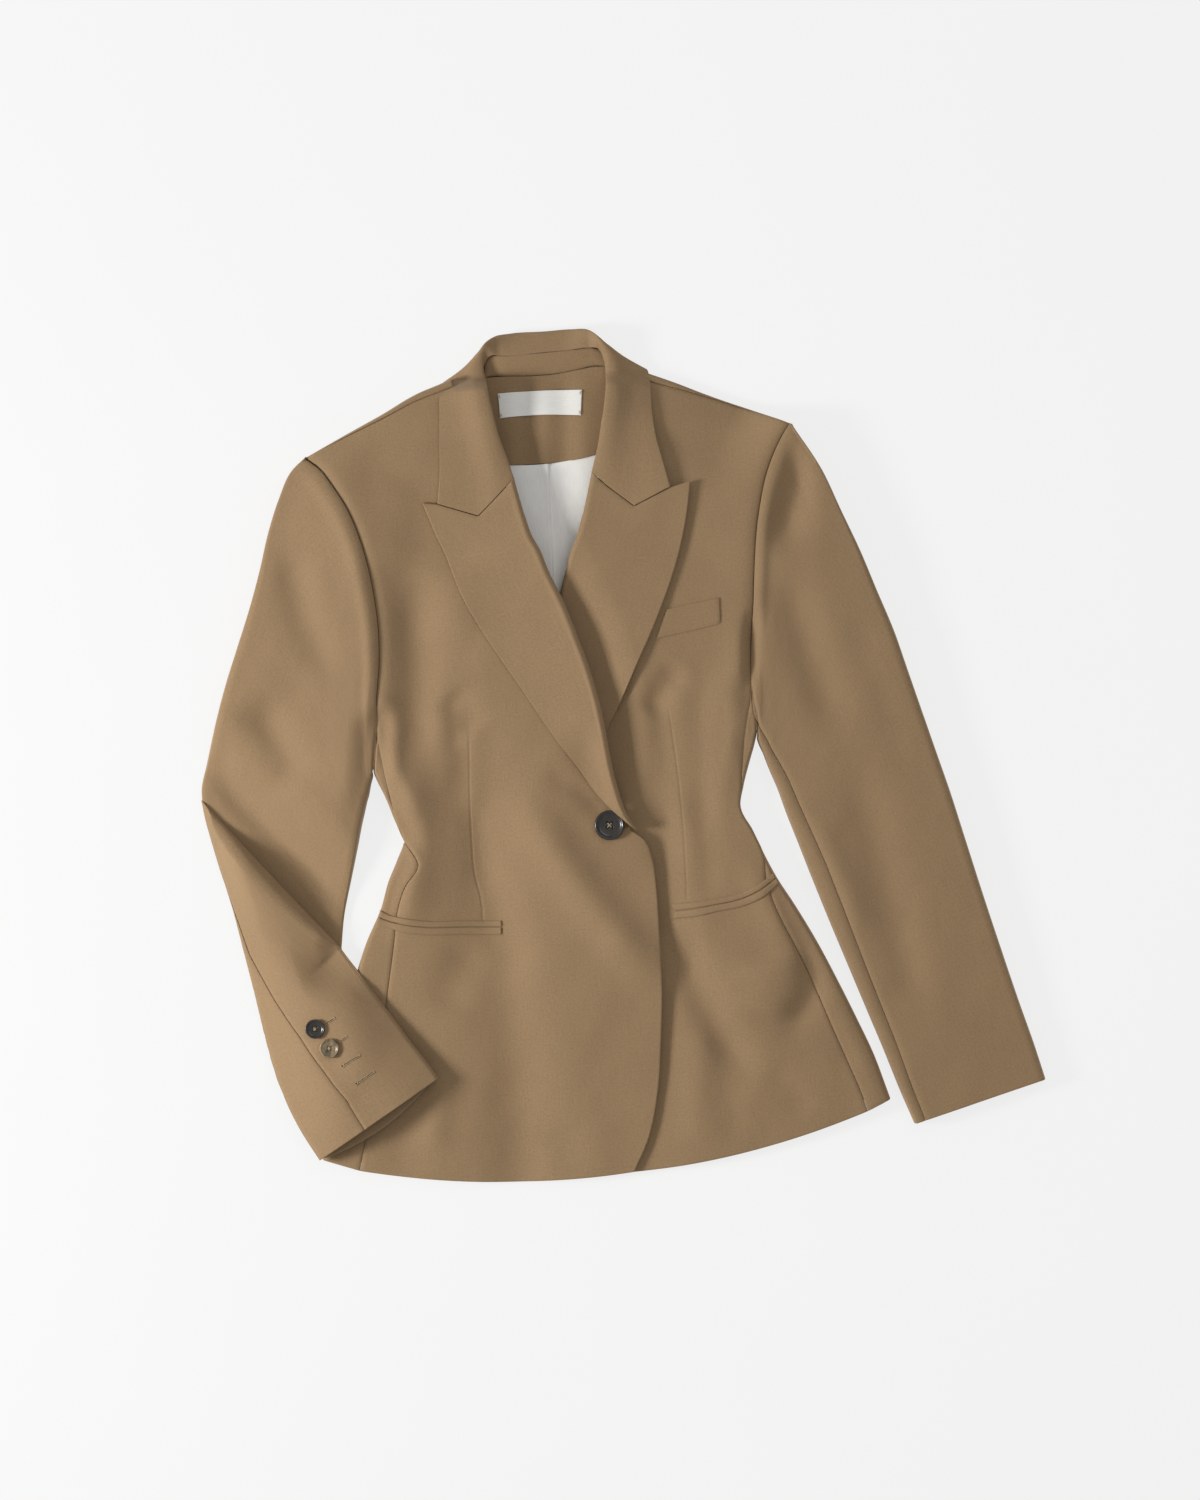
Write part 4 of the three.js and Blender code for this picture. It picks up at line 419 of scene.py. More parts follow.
CREASES = table("depth width lean ax ay bx by cx cy", [
    (-1.6, 9, 0.2, -146.6, 55.2, -144.9, 21.2, -141.5, -4.2),
    (1.2, 10, 0, -125.4, 46.8, -124.5, -4.2, -127.9, -55.2),
    (-2.5, 14, 0.2, 67.6, 97.8, 64.2, 12.8, 65.9, -80.8),
    (-1.6, 12, 0, 167.9, -208.2, 184.9, -242.2, 200.2, -276.2),
    (-1.4, 12, 0, 125.4, -259.2, 142.4, -284.8, 161.1, -310.2),
    (-1.2, 14, 0, 189.1, 131.8, 218.9, 55.2, 240.1, -21.2),
    (1.4, 16, 0, 235.9, -123.2, 261.4, -191.2, 282.6, -250.8),
    (-1.2, 12, 0, -257.1, 199.8, -235.9, 131.8, -231.6, 55.2),
    (1.3, 14, 0, -274.1, 165.8, -263.9, 97.8, -258.8, 29.8),
    (2.8, 4.5, 0, -190.8, -60.4, -179.8, -79, -173, -91),
    (7.5, 33, 0, -255.4, 284.8, -218, 106.2, -221.4, -106.2),
    (2.5, 20, 0, -192.5, 242.2, -195.9, 199.8, -189.1, 148.8),
    (-7, 32, 0, -129.6, 46.8, -119.4, -80.8, -116, -216.8),
    (6, 20, 0, -184, 12.8, -178.9, -80.8, -184, -174.2),
    (-2.8, 18, 0, -129.6, -80.8, -99, -148.8, -92.2, -208.2),
    (-7.2, 27, 0, -112.6, -123.2, -92.2, -250.8, -85.4, -429.2),
    (8.5, 19, 0, -95.6, -22.9, -32.7, -114.8, 40.4, -203.2),
    (-3.5, 14, 0.2, -41.2, 29.8, -17.4, -25.5, -2.1, -63.8),
    (-5, 15, 0, 27.6, 80.8, 35.3, -29.8, 38.7, -123.2),
    (-2.6, 13, 0, 67.6, -12.8, 70.1, -80.8, 71.8, -136),
    (-2.4, 9, 0, -70.1, -12.8, -36.1, -29.8, -8.9, -56.9),
    (4, 17, 0, 110.1, -63.8, 130.5, -136, 154.3, -216.8),
    (-1.6, 14, 0, -53.1, -310.2, -48, -335.8, -44.6, -369.8),
    (1.3, 14, 0, -22.5, -301.8, -19.1, -331.5, -15.7, -369.8),
    (-1.4, 14, 0, -195.9, -293.2, -189.1, -327.2, -185.7, -369.8),
    (1.5, 14, 0, 57.4, -259.2, 65.9, -301.8, 71, -344.2),
    (-1.4, 12, 0, 81.2, -250.8, 91.4, -293.2, 99.9, -335.8),
    (-7, 13, 0, -369.3, -6.8, -306.4, -70.5, -238.4, -137.7),
])
FORE_CREASES = table("depth width lean ax ay bx by cx cy", [
    (-1.6, 14, 0.2, -337.9, -80.8, -306.4, -127.5, -269.9, -174.2),
    (1.6, 16, 0, -295.4, -123.2, -257.1, -174.2, -218, -226.9),
    (-1.4, 14, 0, -257.1, -242.2, -235.9, -276.2, -210.4, -306),
])
DART_R = table("x y", [
    (-130.5, 27.2),
    (-130, -4.2),
    (-129.6, -38.2),
    (-128.3, -68),
    (-125.4, -102.8),
    (-120.3, -122.4),
    (-118.6, -139.4),
])
DART_L = table("x y", [
    (38.2, 44.2),
    (42.9, 14.4),
    (48, -23.8),
    (51.9, -64.6),
    (54, -101.1),
    (54.8, -119),
])
PLEAT_A = table("x y", [
    (-63.3, 255),
    (-62.5, 225.2),
    (-60.8, 187),
    (-59.1, 153),
    (-58.2, 131.8),
])
PLEAT_B = table("x y", [
    (-60.8, 242.2),
    (-56.5, 212.5),
    (-51.4, 182.8),
    (-48, 153),
])
BUTTONHOLES = table("a_x a_y b_x b_y eye", [
    (-252, -227.8, -243.9, -222.4, 0),
    (-240.1, -243.1, -233.5, -238, 0),
    (-237.2, -263, -222.3, -253.8, 1),
    (-225.2, -277.9, -210.4, -267.6, 1),
])

# ---------------------------------------------------------------- small maths
def smooth(a, b, v):
    t = np.clip((np.asarray(v, float) - a) / (b - a), 0, 1)
    return t * t * (3 - 2 * t)


def lerp(a, b, t):
    return a + (b - a) * t


def xy(t, name=""):
    n = name + "_" if name else ""
    return np.stack([t[n + "x"], t[n + "y"]], 1)


def unit(v):
    return v / np.maximum(np.linalg.norm(v, axis=-1, keepdims=True), 1e-9)


def curve(points, t):
    """A smooth curve through the points, at places t counted in points."""
    p = np.asarray(points, float)
    if p.ndim == 1:
        p = p[:, None]
    t = np.asarray(t, float)
    h = np.maximum(np.linalg.norm(np.diff(p, axis=0), axis=1), 1e-6)
    v = np.diff(p, axis=0) / h[:, None]
    m = np.empty_like(p)
    m[0], m[-1] = v[0], v[-1]
    m[1:-1] = (v[:-1] * h[1:, None] + v[1:] * h[:-1, None]) / (h[1:] + h[:-1])[:, None]
    i = np.clip(np.floor(t).astype(int), 0, len(p) - 2)
    u = (t - i)[..., None]
    g = h[i][..., None]
    return ((1 + 2 * u) * (1 - u) ** 2 * p[i] + u * (1 - u) ** 2 * g * m[i]
            + u * u * (3 - 2 * u) * p[i + 1] + u * u * (u - 1) * g * m[i + 1])


def scalar(values, t):
    return np.interp(t, np.arange(len(values)), values)


def fine(points, per=3):
    n = len(points)
    return curve(points, np.linspace(0, n - 1, (n - 1) * per + 1))


def spread(count, crowd=0.45):
    t = np.linspace(0, 1, count)
    return lerp(t, (1 - np.cos(math.pi * t)) / 2, crowd)


def places(points, count, crowd=0.45):
    """Places along a curve of points, evenly by length and a little closer at both ends."""
    t = np.linspace(0, len(points) - 1, (len(points) - 1) * 24 + 1)
    p = curve(points, t)
    run = np.concatenate([[0], np.cumsum(np.linalg.norm(np.diff(p, axis=0), axis=1))])
    return np.interp(spread(count, crowd) * run[-1], run, t)


def nearest(line, x, y):
    """Distance to a polyline, share of its length, side (+1 is its right), segment and place."""
    line = np.asarray(line, float)
    seg = np.diff(line, axis=0)
    length = np.hypot(seg[:, 0], seg[:, 1])
    total = length.sum()
    best = np.full(x.shape, 1e9)
    share, side, where, part = (np.zeros(x.shape) for _ in range(4))
    run = 0.0
    for i, (dx, dy) in enumerate(seg):
        ax, ay = line[i]
        if length[i] > 1e-9:
            t = np.clip(((x - ax) * dx + (y - ay) * dy) / length[i] ** 2, 0, 1)
            d = np.hypot(x - ax - dx * t, y - ay - dy * t)
            m = d < best
            best = np.where(m, d, best)
            share = np.where(m, (run + length[i] * t) / total, share)
            side = np.where(m, np.where(dx * (y - ay) - dy * (x - ax) < 0, 1.0, -1.0), side)
            where = np.where(m, i, where)
            part = np.where(m, t, part)
        run += length[i]
    return best, share, side, where.astype(int), part


def distance(lines, x, y):
    best = np.full(x.shape, 1e9)
    for line in lines:
        lo, hi = line.min(0), line.max(0)
        near = np.hypot(np.maximum(np.maximum(lo[0] - x, x - hi[0]), 0), np.maximum(np.maximum(lo[1] - y, y - hi[1]), 0)) < np.minimum(best, 80)
        if near.any():
            best[near] = np.minimum(best[near], nearest(line, x[near], y[near])[0])
    return best


# ---------------------------------------------------------------- heights of the laid-out cloth
EDGE_LINES = [
    np.concatenate([fine(xy(SHOULDER_RIGHT)[3:]), fine(xy(SLEEVE_RIGHT_UPPER, "out"))]),
    fine(xy(SLEEVE_RIGHT_UPPER, "in")),
    fine(xy(SIDE_RIGHT, "fold")),
    np.concatenate([fine(xy(SHOULDER_LEFT)[3:]), fine(xy(SLEEVE_LEFT, "out"))]),
    fine(xy(SLEEVE_LEFT, "in")),
    fine(xy(SIDE_LEFT, "fold")),
]
CREASE = np.array([xy(SLEEVE_RIGHT_FORE, "out")[0], xy(SLEEVE_RIGHT_FORE, "in")[0]])
FORE_LINES = [fine(xy(SLEEVE_RIGHT_FORE, "out")), fine(xy(SLEEVE_RIGHT_FORE, "in"))]
UNDER_LINE = xy(UNDER_EDGE)
SIDE_LINE = fine(xy(SIDE_RIGHT, "fold"))


def rounded(d, r):
    return np.sqrt(np.maximum(1 - (1 - np.minimum(d / r, 1)) ** 2, 0))


def swell(d, reach):
    return np.sin(math.pi / 2 * np.minimum(d / reach, 1))


def spot_height(t, x, y):
    total = np.zeros(x.shape)
    weight = np.zeros(x.shape)
    for sx, sy, h in zip(t["x"], t["y"], t["h"]):
        w = 1 / ((x - sx) ** 2 + (y - sy) ** 2 + 1600) ** 2
        total += w * h
        weight += w
    return total / weight


def fold_height(t, x, y):
    """Soft troughs and ridges: each runs through three points, with its own depth and width.
    lean makes one flank steeper than the other."""
    total = np.zeros(x.shape)
    lean = t.get("lean", np.zeros(t["rows"]))
    for k in range(t["rows"]):
        line = fine(np.array([[t["ax"][k], t["ay"][k]], [t["bx"][k], t["by"][k]], [t["cx"][k], t["cy"][k]]]), 4)
        w, depth = t["width"][k], t["depth"][k]
        lo, hi = line.min(0) - 3.2 * w, line.max(0) + 3.2 * w
        m = (x > lo[0]) & (x < hi[0]) & (y > lo[1]) & (y < hi[1])
        if not m.any():
            continue
        d, share, side, _, _ = nearest(line, x[m], y[m])
        wide = w * (1 + lean[k] * side)
        total[m] += depth * np.exp(-((d / wide) ** 2)) * smooth(0, 0.3, share) * smooth(1, 0.7, share)
    return total


rng = np.random.RandomState(7)
WAVES = [(rng.uniform(0, 2 * math.pi), rng.uniform(0, 2 * math.pi), rng.uniform(22, 75)) for _ in range(26)]


def unevenness(x, y):
    """The slight unevenness of pressed cloth that has been worn or handled."""
    total = np.zeros(x.shape)
    for angle, phase, length in WAVES:
        total += np.sin((x * math.cos(angle) + y * math.sin(angle)) * 2 * math.pi / length + phase) * (length / 75) ** 1.3
    return total * 0.085


def rise(y):
    return NECK_RISE * smooth(262, 290, y)


SLEEVE_EDGES = [(EDGE_LINES[0], EDGE_LINES[1]), (EDGE_LINES[3], EDGE_LINES[4])]


# where sleeve and body part: down the middle of the open gap, then up the armhole seam
PARTING_RIGHT = np.array([[-266.0, -379.0], [-253.0, -260.0], [-244.5, -208.0], [-236.0, -175.0], [-227.5, -149.0], [-213.0, -106.5], [-206.0, -64.0], [-209.5, -30.0]])
PARTING_LEFT = np.array([[236.0, -336.0], [230.5, -285.0], [216.5, -251.0], [201.5, -217.0], [186.0, -183.0], [163.5, -140.5], [142.5, -98.0], [118.5, -51.0], [112.0, -21.0], [112.8, 8.5]])
ARM_LINES = [fine(np.concatenate([PARTING_RIGHT, [[-210.6, -9.5]], xy(FRONT_RIGHT, "side")[14:]])), fine(np.concatenate([PARTING_LEFT, [[110.9, 32.0]], xy(FRONT_LEFT, "side")[15:]]))]


def body_height(x, y, d):
    """How far the laid-out coat stands up. A sleeve rises slowly from its outer fold and falls
    steeply at its inner one."""
    full = spot_height(SPOTS, x, y)
    body = full * swell(d, SWELL_REACH)
    for (outer, inner), arm, sign, slow, quick in ((SLEEVE_EDGES[0], ARM_LINES[0], 1, 0, 1), (SLEEVE_EDGES[1], ARM_LINES[1], -1, 0, 1)):
        a, _, side, _, _ = nearest(arm, x, y)
        edges = [nearest(line, x, y)[0] for line in (outer, inner)]
        sleeve = full * np.minimum(swell(edges[slow], 105), swell(edges[quick], 24))
        body = lerp(body, sleeve, smooth(0, 1, a * side * sign / lerp(7, 45, smooth(-45, 45, y))))
    return body


def top(x, y, d=None):
    if d is None:
        d = distance(EDGE_LINES, x, y)
    body = body_height(x, y, d)
    detail = fold_height(FOLDS, x, y) + fold_height(CREASES, x, y) + unevenness(x, y)
    return rise(y) + EDGE_RADIUS * (1 + rounded(d, EDGE_RADIUS)) + body + detail * smooth(0, 25, d)


def under(x, y):
    d, _, side, i, t = nearest(UNDER_LINE, x, y)
    drop = UNDER_EDGE["drop"]
    i = np.minimum(i, len(drop) - 2)
    fall = lerp(drop[i], drop[i + 1], t)
    return top(x, y) - fall * np.where(side > 0, 1 - smooth(0, 42, d), 1)


def upper_arm(x, y):
    d = distance(EDGE_LINES, x, y)
    c = nearest(CREASE, x, y)[0]
    detail = fold_height(FOLDS, x, y) + fold_height(CREASES, x, y) + unevenness(x, y)
    return (EDGE_RADIUS * (1 + rounded(d, EDGE_RADIUS)) + body_height(x, y, d) * (0.02 + 0.98 * smooth(22, 76, c))
            + detail * smooth(0, 25, d) * smooth(4, 40, c))


def fore_base(x, y):
    """The forearm rises off the floor on to the body: gently, as it bridges the side's fold."""
    d, _, side, _, _ = nearest(SIDE_LINE, x, y)
    total = 11.5 * smooth(-120, -200, y) + 6.5 * smooth(-190, -285, y)
    return total * smooth(-85, 22, -d * side)


def roll_radius(share):
    """The forearm's folded edge at the elbow is a soft roll, fullest in its middle."""
    return FORE_EDGE_HEIGHT / 2 + 11.0 * np.sin(math.pi * np.clip(share, 0, 1)) ** 0.6


def fore_top(x, y):
    c, share, _, _, _ = nearest(CREASE, x, y)
    rho = roll_radius(share)
    d = distance(FORE_LINES, x, y)
    edge = fore_base(x, y) + FORE_EDGE_HEIGHT / 2 * (1 + rounded(d, FORE_EDGE_HEIGHT / 2)) + (2 * rho - FORE_EDGE_HEIGHT) * swell(d, 22)
    return lerp(edge, fore_body(x, y), smooth(0, 48, c - rho))


def fore_body(x, y):
    d = distance(FORE_LINES, x, y)
    c = nearest(CREASE, x, y)[0]
    r = FORE_EDGE_HEIGHT / 2
    return (fore_base(x, y) + r * (1 + rounded(d, r)) + spot_height(FORE_SPOTS, x, y) * swell(d, 48) * (0.45 + 0.55 * swell(c, 40))
            + fold_height(FORE_CREASES, x, y) * smooth(0, 18, d) + 0.7 * unevenness(x, y) * smooth(0, 18, d))


def fore_bottom(x, y):
    r = FORE_EDGE_HEIGHT / 2
    return fore_base(x, y) + r * (1 - rounded(distance(FORE_LINES, x, y), r))


def ground(x, y):
    return rise(y)


# ---------------------------------------------------------------- cloth as meshes
UP, DOWN = np.array([0, 0, 1.0]), np.array([0, 0, -1.0])


def flat_grid(x, y, z, n=UP):
    return np.stack([x, y, z], -1), np.broadcast_to(n, x.shape + (3,)).copy()


def press(P, N, side, depth, reach):
    """Draw a grid's surface down beside a seam, on one of its four sides."""
    axis = 1 if side in ("left", "right") else 0
    step = np.linalg.norm(np.diff(P, axis=axis), axis=2)
    pad = np.zeros_like(np.take(step, [0], axis=axis))
    run = np.concatenate([pad, np.cumsum(step, axis=axis)], axis=axis)
    if side in ("right", "end"):
        run = np.take(run, [-1], axis=axis) - run
    P -= N * (depth * np.exp(-((run / reach) ** 2)))[..., None]


def weave_by_length(P):
    """Warp along the rows' direction, weft along each row, in millimetres."""
    across = np.concatenate([np.zeros((P.shape[0], 1)), np.cumsum(np.linalg.norm(np.diff(P, axis=1), axis=2), axis=1)], 1)
    across -= across[:, -1:] * 0.5
    down = np.concatenate([np.zeros((1, P.shape[1])), np.cumsum(np.linalg.norm(np.diff(P, axis=0), axis=2), axis=0)], 0)
    return np.stack([across, np.broadcast_to(down.mean(1)[:, None], across.shape)], -1)


def weave_flat(P, degrees):
    a = math.radians(degrees)
    return np.stack([P[..., 0] * math.cos(a) + P[..., 1] * math.sin(a), -P[..., 0] * math.sin(a) + P[..., 1] * math.cos(a)], -1)


def mesh_from(name, verts, quads, uv=None, tris=None):
    me = bpy.data.meshes.new(name)
    faces = [np.asarray(quads, np.int64)] if len(quads) else []
    sizes = [4] * len(faces)
    if tris is not None and len(tris):
        faces.append(np.asarray(tris, np.int64))
        sizes.append(3)
    loops = np.concatenate([f.ravel() for f in faces])
    counts = np.concatenate([np.full(len(f), s) for f, s in zip(faces, sizes)])
    me.vertices.add(len(verts))
    me.vertices.foreach_set("co", (np.asarray(verts, float) + SHIFT).ravel() * 0.001)
    me.loops.add(len(loops))
    me.loops.foreach_set("vertex_index", loops.astype(np.int32))
    me.polygons.add(len(counts))
    me.polygons.foreach_set("loop_start", np.concatenate([[0], np.cumsum(counts)[:-1]]).astype(np.int32))
    me.polygons.foreach_set("use_smooth", np.ones(len(counts), bool))
    me.update(calc_edges=True)
    me.validate()
    if uv is not None and len(me.loops) == len(loops):
        layer = me.uv_layers.new(name="weave")
        layer.uv.foreach_set("vector", np.asarray(uv, np.float32)[loops].ravel())
    obj = bpy.data.objects.new(name, me)
    bpy.context.collection.objects.link(obj)
    return obj


def cut(P, N, start, end, steps):
    """Part of each section, between two lengths along it."""
    run = np.concatenate([np.zeros((P.shape[0], 1)), np.cumsum(np.linalg.norm(np.diff(P, axis=1), axis=2), axis=1)], 1)
    start, end = np.broadcast_to(start, (P.shape[0],)), np.broadcast_to(end, (P.shape[0],))
    A, B = np.empty((P.shape[0], len(steps), 3)), np.empty((P.shape[0], len(steps), 3))
    for i in range(P.shape[0]):
        at = lerp(start[i], end[i] if end[i] > 0 else run[i, -1] + end[i], steps)
        for k in range(3):
            A[i, :, k] = np.interp(at, run[i], P[i, :, k])
            B[i, :, k] = np.interp(at, run[i], N[i, :, k])
    return A, unit(B)


def shell(name, P, N, thick, uv, skip=None, soft=0.45):
    """One cut piece: an outer grid, the same grid moved in by the cloth's thickness, and a
    rounded edge all round."""
    R, C = P.shape[:2]
    idx = np.arange(R * C).reshape(R, C)
    a, b, c, d = idx[:-1, :-1], idx[:-1, 1:], idx[1:, 1:], idx[1:, :-1]
    quads = np.stack([a, b, c, d], -1)
    keep = np.ones((R - 1, C - 1), bool) if skip is None else ~skip
    quads = quads[keep]
    V, M = P.reshape(-1, 3).copy(), unit(N.reshape(-1, 3))
    q = V[quads]
    face = np.cross(q[:, 2] - q[:, 0], q[:, 3] - q[:, 1])
    if (face * M[quads].mean(1)).sum() < 0:
        quads = quads[:, ::-1]
    edge = np.concatenate([quads[:, [0, 1]], quads[:, [1, 2]], quads[:, [2, 3]], quads[:, [3, 0]]])
    key = edge[:, 0] * (R * C) + edge[:, 1]
    back = edge[:, 1] * (R * C) + edge[:, 0]
    rim = edge[~np.isin(key, back)]
    along = V[rim[:, 1]] - V[rim[:, 0]]
    out = np.cross(along, M[rim[:, 0]] + M[rim[:, 1]])
    out = unit(out)
    outward = np.zeros_like(V)
    np.add.at(outward, rim[:, 0], out)
    np.add.at(outward, rim[:, 1], out)
    ring = np.unique(rim)
    outward[ring] = unit(outward[ring])
    # the edge's outermost point stays on the cut line
    near = np.full(len(V), 1e9)
    inner_edges = edge[np.isin(key, back)]
    for e0, e1 in ((0, 1), (1, 0)):
        np.minimum.at(near, inner_edges[:, e0], np.linalg.norm(V[inner_edges[:, e0]] - V[inner_edges[:, e1]], axis=1))
    r = np.minimum(min(thick / 2, soft), 0.42 * near[ring])
    V[ring] -= outward[ring] * r[:, None]
    used = np.unique(quads)
    lookup = np.full(R * C, -1)
    lookup[used] = np.arange(len(used))
    outer, inner = V[used], V[used] - M[used] * thick
    n = len(used)
    verts, uvs = [outer, inner], [uv.reshape(-1, 2)[used]] * 2
    rings = [lookup[ring]]
    start = 2 * n
    for angle in (45, 0, -45):
        s, k = math.sin(math.radians(angle)), math.cos(math.radians(angle))
        mid = V[ring] - M[ring] * thick / 2
        verts.append(mid + M[ring] * thick / 2 * s + outward[ring] * (r * k)[:, None])
        uvs.append(uv.reshape(-1, 2)[ring])
        rings.append(start + np.arange(len(ring)))
        start += len(ring)
    rings.append(lookup[ring] + n)
    place = np.full(R * C, -1)
    place[ring] = np.arange(len(ring))
    faces = [lookup[quads], lookup[quads][:, ::-1] + n]
    ra, rb = place[rim[:, 0]], place[rim[:, 1]]
    for hi, lo in zip(rings[:-1], rings[1:]):
        faces.append(np.stack([hi[rb], hi[ra], lo[ra], lo[rb]], -1))
    return mesh_from(name, np.concatenate(verts), np.concatenate(faces), np.concatenate(uvs))


# ---------------------------------------------------------------- body panels
def shoulder_curve(shoulder, hand, u):
    """The shoulder's fold line, its outward directions and how far the back turns over it."""
    points = xy(shoulder)
    dense = np.linspace(0, len(points) - 1, 900)
    p = curve(points, dense)
    tangent = unit(np.gradient(p, axis=0))
    out = np.stack([-tangent[:, 1], tangent[:, 0]], 1) if hand > 0 else np.stack([tangent[:, 1], -tangent[:, 0]], 1)
    pick = lambda v: np.stack([np.interp(u, dense, v[:, k]) for k in range(2)], 1)
    return curve(points, u), unit(pick(out)), scalar(shoulder["turn"], u)


def seam_line(shoulder, hand):
    first = np.argmax(shoulder["turn"] > 0.9)
    p, out, turn = shoulder_curve(shoulder, hand, np.linspace(first, shoulder["rows"] - 1, 400))
    line = p - out * turn[:, None]
    return line if line[0, 0] < line[-1, 0] else line[::-1]


def seam_at(line, x):
    y = np.interp(x, line[:, 0], line[:, 1])
    for end, nxt in ((0, 1), (-1, -2)):
        slope = (line[nxt, 1] - line[end, 1]) / (line[nxt, 0] - line[end, 0])
        beyond = x < line[0, 0] if end == 0 else x > line[-1, 0]
        y = np.where(beyond, line[end, 1] + slope * (x - line[end, 0]), y)
    return y


def front(name, T, height, hand, dart, uv_turn, rows=236, left=46, right=60):
    side, edge = xy(T, "side"), xy(T, "edge")
    t = places((side + edge) / 2, rows, 0.25)
    a, b = curve(side, t), curve(edge, t)
    sag = scalar(T["sag"], t)
    along = unit(b - a)
    a = a + along * SEAM
    b = b - along * (2.6 * smooth(10.2, 11.2, t))[:, None]
    width = np.linalg.norm(b - a, axis=1)
    # where the dart crosses each row
    s = np.full(rows, 0.5)
    for _ in range(6):
        yy = lerp(a[:, 1], b[:, 1], s) - sag * 4 * s * (1 - s)
        xx = np.interp(np.clip(yy, dart[:, 1].min(), dart[:, 1].max()), dart[::-1, 1], dart[::-1, 0])
        s = np.clip((xx - a[:, 0]) / (b[:, 0] - a[:, 0]), 0.12, 0.88)
    gap = 1.7 / width
    shares = np.concatenate([
        (s - gap)[:, None] * spread(left, 0.35)[None, :],
        np.stack([s - gap * 0.5, s, s + gap * 0.5], 1),
        (s + gap)[:, None] + (1 - s - gap)[:, None] * spread(right, 0.35)[None, :],
    ], 1)
    x = lerp(a[:, :1], b[:, :1], shares)
    y = lerp(a[:, 1:], b[:, 1:], shares) - sag[:, None] * 4 * shares * (1 - shares)
    shoulder = seam_line(SHOULDER_RIGHT if hand < 0 else SHOULDER_LEFT, hand)
    want = seam_at(shoulder, x[-1]) - SEAM
    want = lerp(want, y[-1], smooth(0.80, 0.97, shares[-1]))
    lift = smooth(T["rows"] - 3.2, T["rows"] - 1, t)
    y = y + (want - y[-1])[None, :] * lift[:, None]
    z = height(x, y)
    d = np.abs(x - np.interp(y, dart[::-1, 1], dart[::-1, 0]))
    z = z - 0.55 * np.exp(-((d / 0.7) ** 2)) * smooth(dart[-1, 1] - 6, dart[-1, 1], y) * smooth(dart[0, 1] + 2, dart[0, 1] - 16, y)
    P, N = flat_grid(x, y, z)
    press(P, N, "left", 0.7, 1.6)
    press(P, N, "end", 0.6, 1.6)
    # the body sits a little lower than the sleeve's head along the armhole
    run = np.linalg.norm(P[:, :, :2] - P[:, :1, :2], axis=2)
    P[:, :, 2] -= (1.5 * smooth(13.8, 15.6, t))[:, None] * np.exp(-((run / 5.5) ** 2))
    return shell(name, P, N, CLOTH, weave_flat(P, uv_turn))


def turned(fold, out_top, out_bottom, radius, base, height, angles):
    """Sections round a folded edge, top to bottom: (rows, angles, 3) and its outward directions."""
    P, N = [], []
    for angle in angles:
        a = math.radians(angle)
        out = out_top if angle >= 0 else out_bottom
        p = fold - out * (radius * (1 - math.cos(a)))
        plain = base(p[:, 0], p[:, 1]) + radius * (1 + math.sin(a))
        if angle > 0:
            plain = np.maximum(plain, lerp(plain, height(p[:, 0], p[:, 1]), math.sin(a)))
        P.append(np.column_stack([p, plain]))
        N.append(np.column_stack([out * math.cos(a), np.full(len(p), math.sin(a))]))
    return np.stack(P, 1), np.stack(N, 1)


ANGLES = [90, 72, 54, 36, 18, 0, -18, -36, -54, -72, -90]


